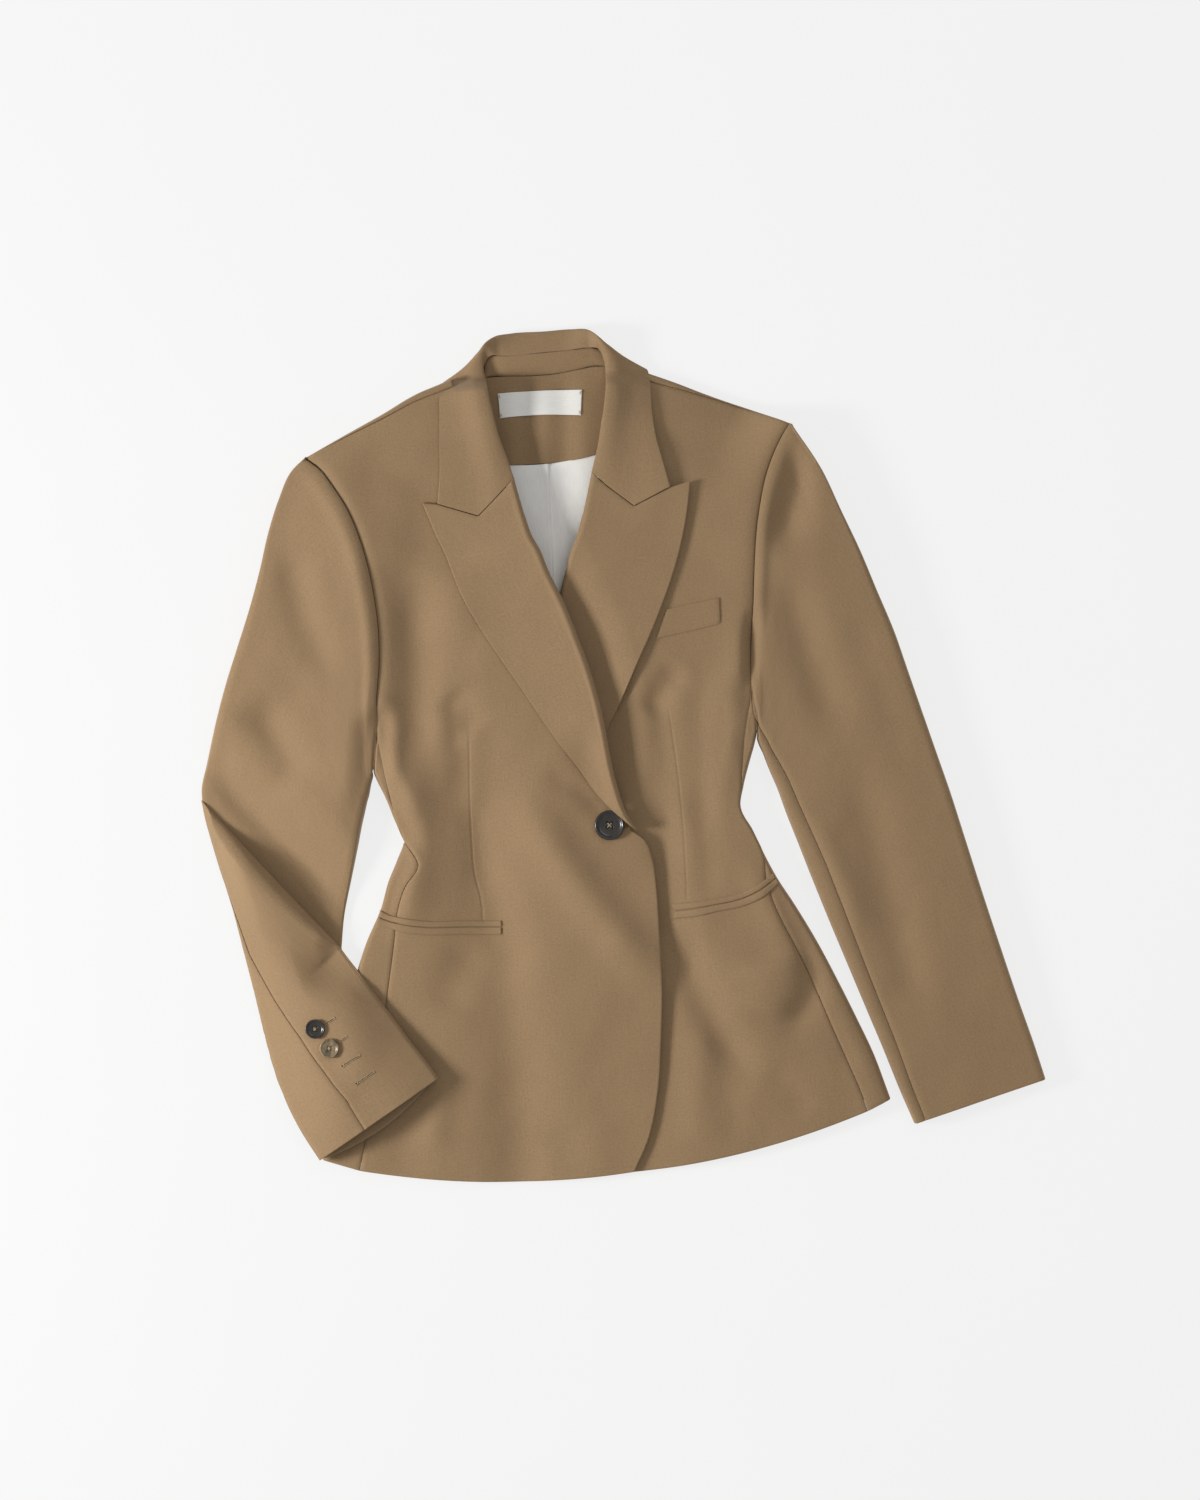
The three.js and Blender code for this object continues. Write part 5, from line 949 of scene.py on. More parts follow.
def side_panel(name, T, rows):
    """Wraps round the body's edge. Where the front's seam has rolled to the very edge the panel
    starts on the turn; above the underarm it runs up to a point under the sleeve."""
    seam, fold, back = xy(T, "seam"), xy(T, "fold"), xy(T, "back")
    t = places(fold, rows, 0.1)
    seam, fold, back = curve(seam, t), curve(fold, t), curve(back, t)
    up = np.clip(scalar(T["up"], t), 0, 1)
    out = unit(fold - seam)
    way = unit(np.gradient(fold, axis=0))
    across = np.stack([way[:, 1], -way[:, 0]], 1)
    across = across * np.sign((across * (fold - back)).sum(1))[:, None]
    out = unit(lerp(across, out, smooth(1.5, 6, np.linalg.norm(fold - seam, axis=1))[:, None]))
    out_back = unit(lerp(unit(fold - back), across, up[:, None]))
    w = np.linalg.norm(fold - seam, axis=1)
    reach = np.maximum(w, EDGE_RADIUS + 0.6)
    s = spread(18, 0.3)[:-1]
    a, b = fold - out * reach[:, None], fold - out * EDGE_RADIUS
    x, y = lerp(a[:, :1], b[:, :1], s), lerp(a[:, 1:], b[:, 1:], s)
    P1, N1 = flat_grid(x, y, top(x, y))
    P2, N2 = turned(fold, out, out_back, EDGE_RADIUS, ground, top, ANGLES)
    s = np.linspace(0, 1, 12)[1:]
    a, b = fold - out_back * EDGE_RADIUS, back + out_back * SEAM
    b = lerp(b, fold - out_back * (EDGE_RADIUS + 0.6), up[:, None])
    x, y = lerp(a[:, :1], b[:, :1], s), lerp(a[:, 1:], b[:, 1:], s)
    P3, N3 = flat_grid(x, y, rise(y), DOWN)
    P, N = np.concatenate([P1, P2, P3], 1), np.concatenate([N1, N2, N3], 1)
    run = np.concatenate([np.zeros((rows, 1)), np.cumsum(np.linalg.norm(np.diff(P, axis=1), axis=2), axis=1)], 1)
    top_length, half = run[:, 17], run[:, 17 + ANGLES.index(0)]
    inward = np.clip(w, 0, reach)
    on_turn = lerp(half + 0.5, top_length, np.arccos(np.clip(1 - w / EDGE_RADIUS, 0, 1)) / (math.pi / 2))
    start = np.where(w < EDGE_RADIUS, on_turn, np.maximum(reach - w, 0)) + SEAM
    P, N = cut(P, N, start, 0, np.concatenate([spread(26, 0.4) * 0.62, 0.62 + 0.38 * np.linspace(0, 1, 14)[1:]]))
    P[:, :, 2] += (up * 1.6)[:, None] * (N[:, :, 2] < -0.2)
    press(P[:, :12], N[:, :12], "left", 0.7, 1.6)
    return shell(name, P, N, CLOTH, weave_flat(P, 4.5))


CENTRE_BACK = {"hem": np.array([-12.3, -351.0]), "neck": np.array([-65.9, 324.7])}


def back_panel(name, T, arm, shoulder, hand, columns=58):
    u = np.linspace(0, shoulder["rows"] - 1, columns)
    top_line, out, turn_by = shoulder_curve(shoulder, hand, u)
    first = np.argmax(shoulder["turn"] > 0.9)
    is_turned = u >= first - 1e-6
    share = (top_line[:, 0] - top_line[0, 0]) / (top_line[-1, 0] - top_line[0, 0])
    low = T["up"] < 0.5
    sides = np.concatenate([xy(T, "back")[low][::-1], arm[:-1]])
    nb = int(low.sum())
    t = np.concatenate([places(sides[:nb], 110, 0.1), nb - 1 + places(sides[nb - 1:], 60, 0.1)[1:]])
    edge = curve(sides, t)
    arm_y, tip, neck = sides[nb][1], top_line[-1], CENTRE_BACK["neck"]
    is_arm = smooth(nb - 1, nb, t)
    cy = lerp(edge[:, 1], arm_y + (edge[:, 1] - arm_y) * (neck[1] - arm_y) / (tip[1] - arm_y), is_arm)
    w = (cy - CENTRE_BACK["hem"][1]) / (neck[1] - CENTRE_BACK["hem"][1])
    centre = CENTRE_BACK["hem"] + (neck - CENTRE_BACK["hem"]) * w[:, None]
    way = unit(edge - centre)
    a, b = centre + way * SEAM, edge - way * SEAM
    bow = is_arm * smooth(0.45, 1, (edge[:, 1] - arm_y) / (tip[1] - arm_y))
    chord = lerp(top_line[0, 1], tip[1], share)
    x = lerp(a[:, :1], b[:, :1], share)
    y = lerp(a[:, 1:], b[:, 1:], share) + bow[:, None] * (top_line[:, 1] - chord)[None, :]
    P0, N0 = flat_grid(x, y, rise(y), DOWN)
    # the turn over the shoulder: up to the seam, or only as far round as the seam lies
    most = np.where(turn_by < EDGE_RADIUS, np.arccos(np.clip(1 - (turn_by - SEAM) / EDGE_RADIUS, -1, 1)), math.pi / 2)
    rows, ways = [], []
    for step in list(np.linspace(-1, 1, 11)) + [1.25, 1.5, 1.75, 2.0]:
        k = lerp(-math.pi / 2, most, (min(step, 1) + 1) / 2)
        inward = EDGE_RADIUS * (1 - np.cos(k))
        if step > 1:
            inward = lerp(inward, np.maximum(turn_by - SEAM, inward + 0.02 * step), step - 1)
        inward = np.where(is_turned, inward, EDGE_RADIUS)
        p = top_line - out * inward[:, None]
        height = rise(p[:, 1])
        plain = height + EDGE_RADIUS * (1 + np.sin(k))
        over = top(p[:, 0], p[:, 1])
        plain = np.where(k > 0, np.maximum(plain, lerp(plain, over, np.sin(np.maximum(k, 0)))), plain)
        if step > 1:
            plain = np.where(turn_by > EDGE_RADIUS, over, plain)
        if step == 2.0:
            plain = plain - 0.55
        z = np.where(is_turned, plain, height)
        n = np.where(is_turned[:, None], np.column_stack([out * np.cos(k)[:, None], np.sin(k)]), DOWN)
        rows.append(np.column_stack([p, z]))
        ways.append(n)
    P, N = np.concatenate([P0, np.stack(rows)]), np.concatenate([N0, np.stack(ways)])
    skip = np.zeros((P.shape[0] - 1, columns - 1), bool)
    skip[len(P0):, :] = ~(is_turned[:-1] & is_turned[1:])[None, :]
    return shell(name, P, N, CLOTH, weave_flat(P, 4.5), skip)


ARM_RIGHT = np.concatenate([[[-210.6, -9.5]], xy(FRONT_RIGHT, "side")[14:]])
ARM_LEFT = np.concatenate([[[110.9, 32.0]], xy(FRONT_LEFT, "side")[15:]])

# ---------------------------------------------------------------- sleeves
BOW = [1, 0.82, 0.66, 0.5, 0.36, 0.24, 0.14, 0.06, 0]


class Sleeve:
    """A flattened sleeve from the armhole down: rows of places from its inner fold to its outer."""

    def __init__(self, T, arm, rows, columns, seam):
        self.n = len(arm)
        ins, outs = xy(T, "in"), xy(T, "out")
        first_in, first_out = ins[0], outs[0]
        chord = first_out - first_in
        length = np.linalg.norm(chord)
        along = chord / length
        across = np.array([-along[1], along[0]])
        tau = np.linspace(0, self.n - 1, columns)
        a = curve(arm, tau)
        s = (a - first_in) @ along / length
        off = (a - first_in) @ across / length
        k = places((ins + outs) / 2, rows, 0.25)
        self.k, self.tau = k, tau
        self.i, self.o = curve(ins, k), curve(outs, k)
        self.w = np.linalg.norm(self.o - self.i, axis=1)
        self.d = (self.o - self.i) / self.w[:, None]
        across_k = np.stack([-self.d[:, 1], self.d[:, 0]], 1)
        blend = smooth(0, 6, k)[:, None]
        bow = np.interp(k, np.arange(len(BOW)), BOW)[:, None]
        low, high = EDGE_RADIUS / self.w, 1 - EDGE_RADIUS / self.w
        if seam:
            even = lerp(scalar(T["seam"], k)[:, None], high[:, None], tau[None, :] / (self.n - 0.5))
        else:
            even = lerp(low[:, None], high[:, None], (tau[None, :] + 0.5) / self.n)
        share = lerp(s[None, :], even, blend)
        self.at = (self.i[:, None, :] + self.d[:, None, :] * (share * self.w[:, None])[..., None]
                   + across_k[:, None, :] * (off[None, :] * self.w[:, None] * bow)[..., None])
        self.at[0] = a

    def place(self, tau):
        """Column at a place counted in armhole points."""
        j = np.interp(tau, self.tau, np.arange(len(self.tau)))
        lo = int(min(j, len(self.tau) - 2))
        return lerp(self.at[:, lo], self.at[:, lo + 1], j - lo)


def shift_arm(arm, hand):
    return arm + np.array([hand * SEAM, 0])


def laid(p, height, n=UP):
    """Columns of places as a grid on a height."""
    x, y = p[..., 0], p[..., 1]
    return flat_grid(x, y, height(x, y), n)


def join(*parts):
    return np.concatenate([p for p, _ in parts], 1), np.concatenate([n for _, n in parts], 1)


def top_sleeve(name, S, height, base, rows_press=True):
    p = S.at.copy()
    p[:, 0] += S.d * SEAM
    under_to = S.place(S.n - 2) + S.d * SEAM
    last = S.at[:, -1]
    below = np.stack([lerp(last, under_to, s) for s in (0, 0.34, 0.67, 1)], 1)
    P, N = join(laid(p, height), turned(S.o, S.d, S.d, EDGE_RADIUS, base, height, ANGLES), laid(below, base, DOWN))
    press(P[:, :12], N[:, :12], "left", 0.9, 2.2)
    sink_cap(P, N, S)
    return shell(name, P, N, CLOTH, weave_by_length(P))


def sink_cap(P, N, S, depth=0.7, reach=1.7):
    """The armhole seam: the sleeve's head turns in along it, with a little fullness just beyond."""
    run = np.concatenate([np.zeros((1, P.shape[1])), np.cumsum(np.linalg.norm(np.diff(P, axis=0), axis=2), axis=0)])
    n = S.at.shape[1]
    cols = slice(0, n)
    head = np.sin(math.pi * np.clip(np.linspace(0, 1, n) * 1.0, 0, 1)) ** 0.5
    P[:, cols, 2] += (-depth * np.exp(-((run[:, cols] / reach) ** 2)) + 2.3 * head[None, :] * np.exp(-(((run[:, cols] - 9) / 7) ** 2)))


def under_sleeve(name, S, height, base):
    start = S.place(S.n - 2) - S.d * SEAM
    first = S.i + S.d * EDGE_RADIUS
    flat = np.stack([lerp(start, first, s) for s in np.linspace(0, 1, 40)[:-1]], 1)
    front_seam = S.at[:, 0] - S.d * SEAM
    inner = turned(S.i, -S.d, -S.d, EDGE_RADIUS, base, height, ANGLES[::-1])
    up = np.stack([lerp(first, front_seam, s) for s in (0.5, 1)], 1)
    # row 0 keeps to the armhole below as well
    P0, N0 = laid(flat, base, DOWN)
    P, N = join((P0, N0), inner, laid(up, height))
    press(P[:, -6:], N[:, -6:], "right", 0.8, 2.2)
    return P, N


def under_armhole(P, S, columns=39, reach=70):
    """Lay the under sleeve's flat part along the armhole instead of straight across it."""
    arm = S.at[0]
    tau = np.linspace(S.n - 2, 0, columns)
    j = np.interp(tau, S.tau, np.arange(len(S.tau)))
    lo = np.minimum(j.astype(int), len(S.tau) - 2)
    want = lerp(arm[lo], arm[lo + 1], (j - lo)[:, None])
    delta = want - P[0, :columns, :2]
    delta[-1] *= 0
    fade = 1 - smooth(0, reach, np.concatenate([[0], np.cumsum(np.linalg.norm(np.diff(S.i, axis=0), axis=1))]))
    P[:, :columns, :2] += delta[None] * fade[:, None, None]


# ---------------------------------------------------------------- collar and lapels
COLLAR_COLUMNS = ["in", "fold", "near", "mid", "rim"]
COLLAR_PARTS = [0, 0.5, 1, 1.4, 2, 2.5, 3, 3.5, 4]


def uniform(points, t):
    """The plain spline that the collar's sections follow."""
    p = np.asarray(points, float)
    i = np.clip(np.floor(t).astype(int), 0, len(p) - 2)
    u = (np.asarray(t) - i)[:, None]
    q = lambda k: p[np.clip(k, 0, len(p) - 1)]
    a, b, c, d = q(i - 1), q(i), q(i + 1), q(i + 2)
    return 0.5 * (2 * b + (c - a) * u + (2 * a - 5 * b + 4 * c - d) * u * u + (3 * b - a - 3 * c + d) * u ** 3)


def gorge_line(row, tip):
    net = np.array([[COLLAR[c + "_x"][row], COLLAR[c + "_y"][row]] for c in COLLAR_COLUMNS])
    t = np.linspace(1, 4, 61)
    soft, sharp = uniform(net, t), np.stack([np.interp(t, np.arange(5), net[:, k]) for k in range(2)], 1)
    p = lerp(soft, sharp, smooth(1.2, 2.2, t)[:, None])
    p[:, 1] -= GORGE_GAP * lerp(-1.4, 1.0, smooth(1.1, 1.7, t))
    p = np.concatenate([p, np.array([lerp(p[-1], np.array(tip), s) for s in (0.25, 0.5, 0.75, 1)])])
    run = np.concatenate([[0], np.cumsum(np.linalg.norm(np.diff(p, axis=0), axis=1))])
    return p, run / run[-1]


def lapel(name, T, gorge, height, hand, rows=150, columns=44):
    line, share = gorge
    roll = np.concatenate([xy(T, "roll"), line[:1]])
    out = np.concatenate([xy(T, "out"), line[-1:]])
    roll_height = np.append(T["roll"], T["roll"][-1])
    lift = np.append(T["lift"], T["lift"][-1])
    last = len(roll) - 1
    t = places((roll + out) / 2, rows, 0.3)
    roll, out = curve(roll, t), curve(out, t)
    roll_height, lift = scalar(roll_height, t), scalar(lift, t)
    w = np.linalg.norm(out - roll, axis=1)
    far = (out - roll) / w[:, None]
    gorge_way = unit(line[6] - line[0])
    bent = smooth(last - 2.4, last, t)
    flat = unit(lerp(far, gorge_way[None, :], bent[:, None]))
    radius = np.minimum((roll_height + CLOTH) / 2, w * 0.4)
    foot = roll + flat * radius[:, None]
    middle = height(foot[:, 0], foot[:, 1]) - CLOTH + radius
    P, N = [], []
    for angle in np.linspace(-90, 90, 13):
        a = math.radians(angle)
        p = roll + flat * (radius * (1 - math.cos(a)))[:, None]
        P.append(np.column_stack([p, middle + radius * math.sin(a)]))
        N.append(np.column_stack([-flat * math.cos(a), np.full(rows, math.sin(a))]))
    s = np.linspace(0, 1, columns + 1)[1:]
    s = lerp(s, np.sin(math.pi / 2 * s), 0.25)
    start = radius / w
    straight_share = start[:, None] + (1 - start[:, None]) * s[None, :]
    g_share = share[0] + (1 - share[0]) * s
    gx, gy = np.interp(lerp(radius[-1] / w[-1], 1, s), share, line[:, 0]), np.interp(lerp(radius[-1] / w[-1], 1, s), share, line[:, 1])
    end_share = lerp(radius[-1] / w[-1], 1, s)
    ex, ey = roll[-1, 0] + (out[-1, 0] - roll[-1, 0]) * end_share, roll[-1, 1] + (out[-1, 1] - roll[-1, 1]) * end_share
    x = roll[:, :1] + far[:, :1] * w[:, None] * straight_share + (gx - ex)[None, :] * bent[:, None]
    y = roll[:, 1:] + far[:, 1:] * w[:, None] * straight_share + (gy - ey)[None, :] * bent[:, None]
    low = lift + LAPEL_CLOTH
    high = np.maximum(low, 2 * radius - CLOTH)
    # the right lapel lies tilted: highest along its roll
    tilt = 4.2 * (1 - bent * 0.6) * smooth(0, 3, t) if hand < 0 else np.zeros(rows)
    P[:] = [p + np.array([0, 0, 1.0]) * tilt[:, None] for p in P]
    z = height(x, y) + low[:, None] + (high - low)[:, None] * (1 - straight_share) ** 1.6 + tilt[:, None] * (1 - straight_share)
    P1, N1 = flat_grid(x, y, z)
    P, N = np.concatenate([np.stack(P, 1), P1], 1), np.concatenate([np.stack(N, 1), N1], 1)
    press(P[:, 13:], N[:, 13:], "end", 0.5, 2.0)
    return shell(name, P, N, LAPEL_CLOTH, weave_by_length(P))


SHOULDER_LINES = [(fine(xy(SHOULDER_RIGHT)[3:], 6), 1.0), (fine(xy(SHOULDER_LEFT)[3:], 6), -1.0)]


def collar_base(x, y, right_side):
    """What the collar's leaf lies on: the fronts, falling away beyond the shoulder's fold."""
    line, sign = SHOULDER_LINES[0 if right_side else 1]
    # the fold's line is carried on past its ends, so that the leaf has no step beside them
    k = min(5, len(line) - 1)
    a, b = line[0] - line[k], line[-1] - line[-1 - k]
    line = np.vstack([line[0] + a / np.linalg.norm(a) * 70, line, line[-1] + b / np.linalg.norm(b) * 70])
    d, _, side, _, _ = nearest(line, x, y)
    inside = d * side * -sign
    h = top(x, y) if right_side else under(x, y)
    return lerp(2.5, h, smooth(-1, 13, inside))


def collar_mesh(name, rows=250, columns=72):
    n = COLLAR["rows"]
    middle = int(np.argmax(COLLAR["fold_z"] == 6.5))
    net = np.stack([np.stack([COLLAR[c + "_x"], COLLAR[c + "_y"], COLLAR[c + "_z"]], 1) for c in COLLAR_COLUMNS], 1)
    mid = net[:, 2, :2]
    t = places(mid, rows, 0.2)
    steps = np.interp(np.linspace(0, 1, columns), [0, 0.12, 0.34, 1], [0, 1, 2, 4])
    # the cut ends are straight lines with a corner, the sections between are soft
    steps[np.argmin(np.abs(steps - 3))] = 3.0
    sections = np.stack([curve(net[:, c], t) for c in range(5)], 1)
    flags = smooth(0, 1, np.interp(t, np.arange(n), COLLAR["on"]))
    grid = np.stack([uniform(sections[i], steps) for i in range(rows)])
    sharp = np.stack([np.stack([np.interp(steps, np.arange(5), sections[i][:, k]) for k in range(3)], 1) for i in range(rows)])
    ends = np.maximum(smooth(1.15, 0, t), smooth(n - 2.15, n - 1, t))
    keep = smooth(1.2, 2.2, steps)
    grid[..., :2] = lerp(grid[..., :2], sharp[..., :2], (ends[:, None] * keep[None, :])[..., None])
    x, y = grid[..., 0], grid[..., 1]
    h = np.zeros_like(x)
    right_side = t < middle
    h[right_side] = collar_base(x[right_side], y[right_side], True)
    h[~right_side] = collar_base(x[~right_side], y[~right_side], False)
    # the leaf on the left front stands up at its fold and slopes away from it
    grid[..., 2] += 2.2 * (smooth(middle + 0.6, middle + 2, t) * smooth(n - 0.5, n - 3, t))[:, None] * smooth(3.4, 1.4, steps)[None, :]
    # and stands off the front towards its point
    fall = smooth(n - 5.5, n - 1.5, t)[:, None] * smooth(2.2, 4, steps)[None, :]
    grid[..., 2] = np.maximum(grid[..., 2] + h * flags[:, None] + 4.2 * fall, 0)
    u = np.gradient(grid, axis=0)
    v = np.gradient(grid, axis=1)
    N = unit(np.cross(v, u))
    if N[2 * rows // n, columns // 2, 2] < 0:
        N = -N
    return shell(name, grid, N, COLLAR_CLOTH, weave_by_length(grid))


def band(T, a, b, steps, height, rows=60, sag=True, crowd=0.2):
    A, B = xy(T, a), xy(T, b)
    t = places((A + B) / 2, rows, crowd)
    A, B = curve(A, t), curve(B, t)
    s = np.asarray(steps)
    dip = scalar(T["sag"], t) if sag and "sag" in T else np.zeros(rows)
    x = lerp(A[:, :1], B[:, :1], s)
    y = lerp(A[:, 1:], B[:, 1:], s) - dip[:, None] * 4 * s * (1 - s)
    return x, y, height(x, y), t

# ---------------------------------------------------------------- materials
def material(name):
    m = bpy.data.materials.new(name)
    m.use_nodes = True
    nt = m.node_tree
    nt.nodes.clear()
    out = nt.nodes.new("ShaderNodeOutputMaterial")
    bsdf = nt.nodes.new("ShaderNodeBsdfPrincipled")
    nt.links.new(bsdf.outputs[0], out.inputs[0])
    return m, nt, bsdf


class Nodes:
    def __init__(self, nt):
        self.nt = nt

    def add(self, kind, **values):
        n = self.nt.nodes.new(kind)
        for k, v in values.items():
            if k in n.inputs.keys() if hasattr(n.inputs, "keys") else False:
                n.inputs[k].default_value = v
            else:
                setattr(n, k, v)
        return n

    def link(self, a, b):
        self.nt.links.new(a, b)

    def math(self, op, a, b=None, clamp=False):
        n = self.nt.nodes.new("ShaderNodeMath")
        n.operation = op
        n.use_clamp = clamp
        for i, v in enumerate((a, b)):
            if v is None:
                continue
            if isinstance(v, (int, float)):
                n.inputs[i].default_value = v
            else:
                self.link(v, n.inputs[i])
        return n.outputs[0]

    def noise(self, vector, scale, detail=2.0, rough=0.5, stretch=(1, 1, 1)):
        m = self.nt.nodes.new("ShaderNodeMapping")
        m.inputs["Scale"].default_value = stretch
        self.link(vector, m.inputs["Vector"])
        n = self.nt.nodes.new("ShaderNodeTexNoise")
        n.inputs["Scale"].default_value = scale
        n.inputs["Detail"].default_value = detail
        n.inputs["Roughness"].default_value = rough
        self.link(m.outputs[0], n.inputs["Vector"])
        return n.outputs[0]

    def mix(self, factor, a, b, blend="MIX"):
        n = self.nt.nodes.new("ShaderNodeMix")
        n.data_type = "RGBA"
        n.blend_type = blend
        if isinstance(factor, (int, float)):
            n.inputs[0].default_value = factor
        else:
            self.link(factor, n.inputs[0])
        for i, v in ((6, a), (7, b)):
            if isinstance(v, tuple):
                n.inputs[i].default_value = v
            else:
                self.link(v, n.inputs[i])
        return n.outputs[2]

    def ramp(self, value, stops):
        n = self.nt.nodes.new("ShaderNodeValToRGB")
        e = n.color_ramp.elements
        while len(e) < len(stops):
            e.new(0.5)
        for k, (pos, col) in enumerate(stops):
            e[k].position = pos
            e[k].color = col
        self.link(value, n.inputs[0])
        return n.outputs[0]

    def bump(self, height, strength, distance, normal=None):
        n = self.nt.nodes.new("ShaderNodeBump")
        n.inputs["Strength"].default_value = strength
        n.inputs["Distance"].default_value = distance
        self.link(height, n.inputs["Height"])
        if normal is not None:
            self.link(normal, n.inputs["Normal"])
        return n.outputs[0]


def srgb(r, g, b):
    f = lambda c: ((c / 255 + 0.055) / 1.055) ** 2.4 if c / 255 > 0.04045 else c / 255 / 12.92
    return (f(r), f(g), f(b), 1.0)


def worsted_material(name, base=(146, 120, 89), twill=1.0):
    """A fine two-ply worsted twill: a diagonal rib, yarns of slightly different tone, soft mottling."""
    m, nt, bsdf = material(name)
    n = Nodes(nt)
    uv = n.add("ShaderNodeUVMap", uv_map="weave").outputs[0]
    # twill rib, about 0.9 mm from line to line
    sep = n.add("ShaderNodeSeparateXYZ")
    n.link(uv, sep.inputs[0])
    u, v = sep.outputs[0], sep.outputs[1]
    diag = n.math("ADD", n.math("MULTIPLY", u, 2 * math.pi / 0.95), n.math("MULTIPLY", v, 2 * math.pi / 0.62))
    rib = n.math("MULTIPLY", n.math("ADD", n.math("SINE", diag), 1.0), 0.5)
    pick = n.math("MULTIPLY", n.math("ADD", n.math("SINE", n.math("MULTIPLY", v, 2 * math.pi / 0.45)), 1.0), 0.5)
    # yarns: streaks that are long one way and narrow the other
    warp = n.noise(uv, 1.0, 3.0, 0.6, (1.15, 0.05, 1))
    weft = n.noise(uv, 1.0, 3.0, 0.6, (0.06, 1.1, 1))
    fibre = n.noise(uv, 0.9, 4.0, 0.65)
    cloud = n.noise(uv, 0.018, 3.0, 0.5)
    b = srgb(*base)
    dark = tuple(c * 0.80 for c in b[:3]) + (1.0,)
    light = tuple(min(c * 1.17, 1) for c in b[:3]) + (1.0,)
    grain = n.noise(uv, 2.1, 2.0, 0.5)
    slub = n.noise(uv, 0.50, 2.0, 0.6)
    tone = n.math("ADD", n.math("MULTIPLY", warp, 0.26), n.math("MULTIPLY", weft, 0.18))
    tone = n.math("ADD", tone, n.math("MULTIPLY", fibre, 0.50))
    tone = n.math("ADD", n.math("ADD", tone, -0.17), n.math("MULTIPLY", grain, 0.40))
    tone = n.math("ADD", tone, n.math("MULTIPLY", n.math("SUBTRACT", rib, 0.5), 0.05 * twill))
    tone = n.math("ADD", tone, n.math("MULTIPLY", n.math("SUBTRACT", cloud, 0.5), 0.14))
    tone = n.math("ADD", tone, n.math("MULTIPLY", n.math("SUBTRACT", slub, 0.5), 0.42))
    colour = n.ramp(tone, [(0.28, dark), (0.50, b), (0.74, light)])
    n.link(colour, bsdf.inputs["Base Color"])
    rough = n.math("ADD", n.math("MULTIPLY", fibre, 0.14), 0.74, clamp=True)
    n.link(rough, bsdf.inputs["Roughness"])
    bsdf.inputs["Specular IOR Level"].default_value = 0.28
    bsdf.inputs["Sheen Weight"].default_value = 0.16
    bsdf.inputs["Sheen Roughness"].default_value = 0.45
    bsdf.inputs["Sheen Tint"].default_value = (1.0, 0.93, 0.84, 1)
    weave = n.math("ADD", n.math("MULTIPLY", rib, 0.7), n.math("MULTIPLY", pick, 0.3))
    normal = n.bump(weave, 0.35 * twill, 0.00010)
    yarns = n.math("ADD", n.math("MULTIPLY", warp, 0.5), n.math("ADD", n.math("MULTIPLY", weft, 0.4), n.math("MULTIPLY", fibre, 0.5)))
    normal = n.bump(yarns, 0.34, 0.00028, normal)
    soft = n.noise(uv, 0.045, 3.0, 0.55)
    normal = n.bump(soft, 0.22, 0.0022, normal)
    n.link(normal, bsdf.inputs["Normal"])
    return m


def satin_material(name):
    m, nt, bsdf = material(name)
    n = Nodes(nt)
    uv = n.add("ShaderNodeUVMap", uv_map="weave").outputs[0]
    streak = n.noise(uv, 1.0, 2.0, 0.5, (1.4, 0.10, 1))
    cloud = n.noise(uv, 0.03, 2.0, 0.5)
    tone = n.math("ADD", n.math("MULTIPLY", streak, 0.6), n.math("MULTIPLY", cloud, 0.4))
    n.link(n.ramp(tone, [(0.3, srgb(232, 231, 226)), (0.7, srgb(247, 246, 243))]), bsdf.inputs["Base Color"])
    n.link(n.math("ADD", n.math("MULTIPLY", streak, 0.2), 0.30), bsdf.inputs["Roughness"])
    bsdf.inputs["Sheen Weight"].default_value = 0.15
    n.link(n.bump(streak, 0.08, 0.0001), bsdf.inputs["Normal"])
    return m


def label_material(name):
    m, nt, bsdf = material(name)
    n = Nodes(nt)
    uv = n.add("ShaderNodeUVMap", uv_map="weave").outputs[0]
    streak = n.noise(uv, 1.0, 3.0, 0.6, (0.08, 2.2, 1))
    grain = n.noise(uv, 1.6, 2.0, 0.6)
    tone = n.math("ADD", n.math("MULTIPLY", streak, 0.6), n.math("MULTIPLY", grain, 0.4))
    n.link(n.ramp(tone, [(0.3, srgb(222, 220, 214)), (0.7, srgb(243, 242, 238))]), bsdf.inputs["Base Color"])
    bsdf.inputs["Roughness"].default_value = 0.62
    n.link(n.bump(tone, 0.35, 0.0002), bsdf.inputs["Normal"])
    return m


def horn_material(name, dark, light, spread_=0.5, rough=0.28):
    m, nt, bsdf = material(name)
    n = Nodes(nt)
    co = n.add("ShaderNodeTexCoord").outputs["Object"]
    swirl = n.noise(co, 170.0, 4.0, 0.6, (1.0, 0.35, 1.0))
    speck = n.noise(co, 900.0, 2.0, 0.5)
    tone = n.math("ADD", n.math("MULTIPLY", swirl, 0.8), n.math("MULTIPLY", speck, 0.2))
    n.link(n.ramp(tone, [(0.5 - spread_ / 2, dark), (0.5 + spread_ / 2, light)]), bsdf.inputs["Base Color"])
    n.link(n.math("ADD", n.math("MULTIPLY", speck, 0.16), rough - 0.06), bsdf.inputs["Roughness"])
    bsdf.inputs["Coat Weight"].default_value = 0.35
    bsdf.inputs["Coat Roughness"].default_value = 0.12
    n.link(n.bump(swirl, 0.12, 0.0003), bsdf.inputs["Normal"])
    return m


